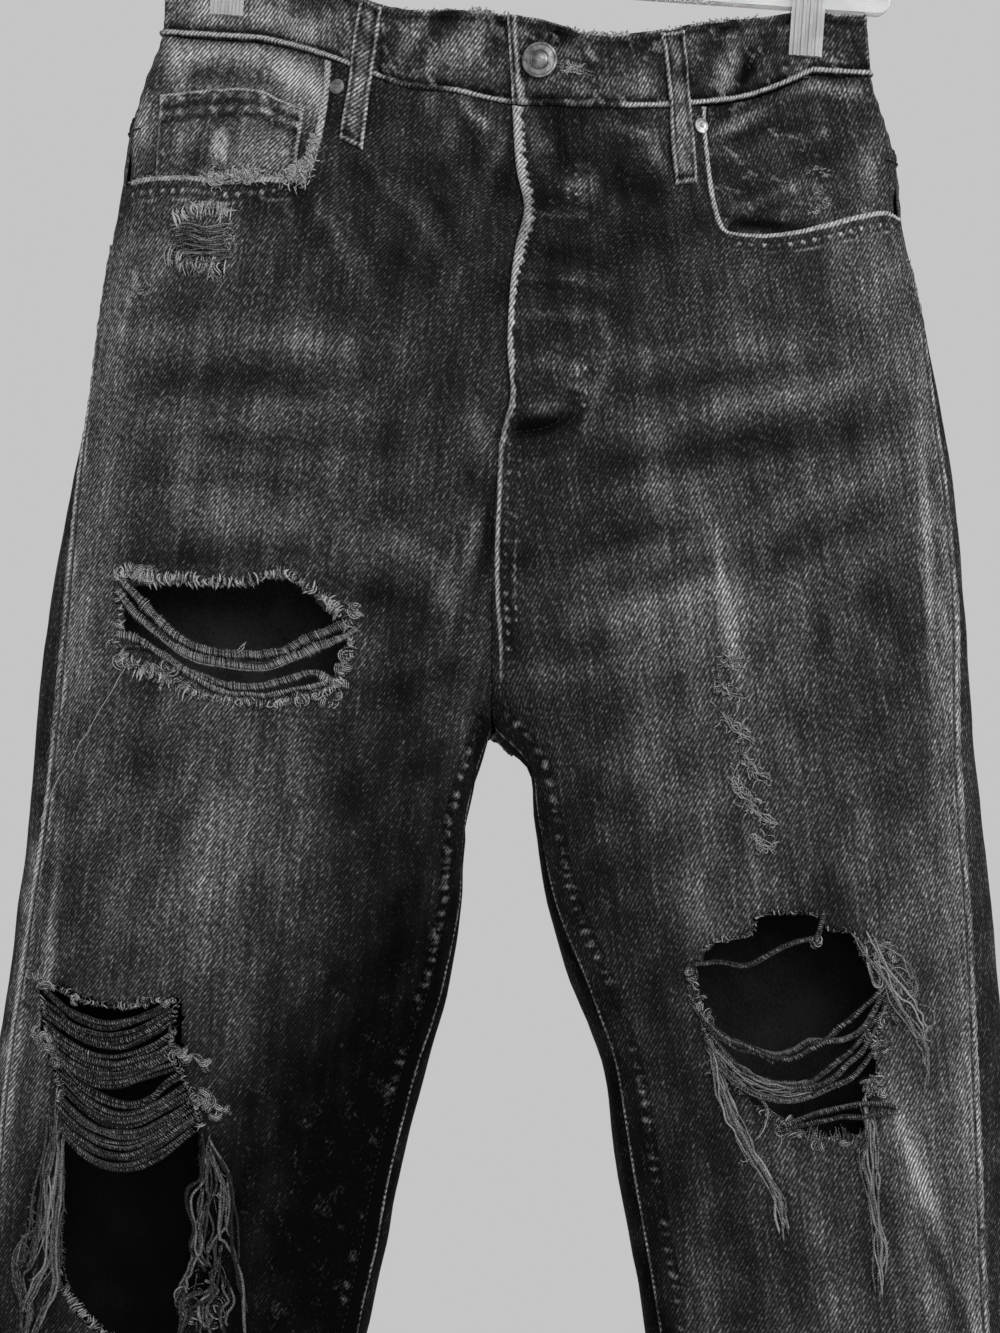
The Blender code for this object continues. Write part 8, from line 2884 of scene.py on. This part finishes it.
class JEANS_OT_hems(bpy.types.Operator):
    """Makes the turned-up hems"""

    bl_idname = "jeans.hems"
    bl_label = "Hems"

    def execute(self, context):
        make_hems()
        return done("hem_right_cloth", "hem_left_cloth")


class JEANS_OT_placket(bpy.types.Operator):
    """Makes the placket behind the fly"""

    bl_idname = "jeans.placket"
    bl_label = "Placket"

    def execute(self, context):
        make_placket()
        return done("fly_placket_cloth")


class JEANS_OT_stitches(bpy.types.Operator):
    """Sews the rows that the other pieces have set out"""

    bl_idname = "jeans.stitches"
    bl_label = "Stitches"

    def execute(self, context):
        make_stitches()
        return done("stitches")


class JEANS_OT_thigh_rip(bpy.types.Operator):
    """Makes the cords across the thigh's hole and its frayed edge"""

    bl_idname = "jeans.thigh_rip"
    bl_label = "Thigh rip"

    def execute(self, context):
        make_thigh_rip()
        return done("thigh_cord_upper", "thigh_cord_lower", "thigh_fray")


class JEANS_OT_right_knee(bpy.types.Operator):
    """Makes the weft, the tassels and the frayed edge of the right knee"""

    bl_idname = "jeans.right_knee"
    bl_label = "Right knee rip"

    def execute(self, context):
        make_right_knee_rip()
        return done("right_knee_weft_1", "right_knee_weft_4", "right_knee_fray")


class JEANS_OT_left_knee(bpy.types.Operator):
    """Makes the swags, the tassels and the frayed edge of the left knee"""

    bl_idname = "jeans.left_knee"
    bl_label = "Left knee rip"

    def execute(self, context):
        make_left_knee_rip()
        return done("left_knee_swag_1", "left_knee_top_strand", "left_knee_fray")


class JEANS_OT_small_wear(bpy.types.Operator):
    """Makes the frayed pocket mouth, the scuffed patch and the small worn marks"""

    bl_idname = "jeans.small_wear"
    bl_label = "Small wear"

    def execute(self, context):
        make_small_wear()
        return done("pocket_mouth_fray", "pocket_scuff", "small_scuffs")


class JEANS_OT_top_fray(bpy.types.Operator):
    """Makes the frayed bits along the waistband and the buttonhole"""

    bl_idname = "jeans.top_fray"
    bl_label = "Waistband fray"

    def execute(self, context):
        make_top_fray()
        return done("waistband_fray")


class JEANS_OT_hardware(bpy.types.Operator):
    """Gives the button, the rivets and the hanger their finishes"""

    bl_idname = "jeans.hardware"
    bl_label = "Metal and hanger"

    def execute(self, context):
        finish_hardware()
        return done("waist_button", "hanger_bar", "hanger_hook")


class JEANS_OT_sheets(bpy.types.Operator):
    """Checks that every sheet of cloth named in SHEETS has been made"""

    bl_idname = "jeans.sheets"
    bl_label = "Cut sizes"

    def execute(self, context):
        return done(*SHEETS)


OPERATORS = (
    JEANS_OT_stage, JEANS_OT_panels, JEANS_OT_pocket_mouths, JEANS_OT_fly, JEANS_OT_seams,
    JEANS_OT_waistband, JEANS_OT_facings, JEANS_OT_coin_pocket, JEANS_OT_belt_loops,
    JEANS_OT_back_pockets, JEANS_OT_hems, JEANS_OT_placket, JEANS_OT_stitches,
    JEANS_OT_thigh_rip, JEANS_OT_right_knee, JEANS_OT_left_knee, JEANS_OT_small_wear,
    JEANS_OT_top_fray, JEANS_OT_hardware, JEANS_OT_sheets,
)
SETTINGS = (
    ("jeans_cloth", JeansCloth), ("jeans_threads", JeansThreads), ("jeans_trims", JeansTrims),
    ("jeans_stage", JeansStage),
)


class JEANS_PT_panel(bpy.types.Panel):
    """The settings, and a button for each group of pieces"""

    bl_label = "Ripped jeans"
    bl_idname = "JEANS_PT_panel"
    bl_space_type = "VIEW_3D"
    bl_region_type = "UI"
    bl_category = "Jeans"

    def draw(self, context):
        for name, group in SETTINGS:
            box = self.layout.box()
            box.label(text=group.__name__.replace("Jeans", ""))
            for setting in group.__annotations__:
                box.prop(getattr(context.scene, name), setting)
        column = self.layout.column(align=True)
        for operator in OPERATORS:
            column.operator(operator.bl_idname)


def register():
    """Adds the settings, the operators and the panel."""
    for name, group in SETTINGS:
        bpy.utils.register_class(group)
        setattr(bpy.types.Scene, name, PointerProperty(type=group))
    for operator in OPERATORS:
        bpy.utils.register_class(operator)
    bpy.utils.register_class(JEANS_PT_panel)


def unregister():
    """Takes them away again."""
    bpy.utils.unregister_class(JEANS_PT_panel)
    for operator in reversed(OPERATORS):
        bpy.utils.unregister_class(operator)
    for name, group in reversed(SETTINGS):
        delattr(bpy.types.Scene, name)
        bpy.utils.unregister_class(group)


def main():
    """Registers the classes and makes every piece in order."""
    register()
    for operator in OPERATORS:
        group, name = operator.bl_idname.split(".")
        getattr(getattr(bpy.ops, group), name)()


if __name__ == "__main__":
    main()
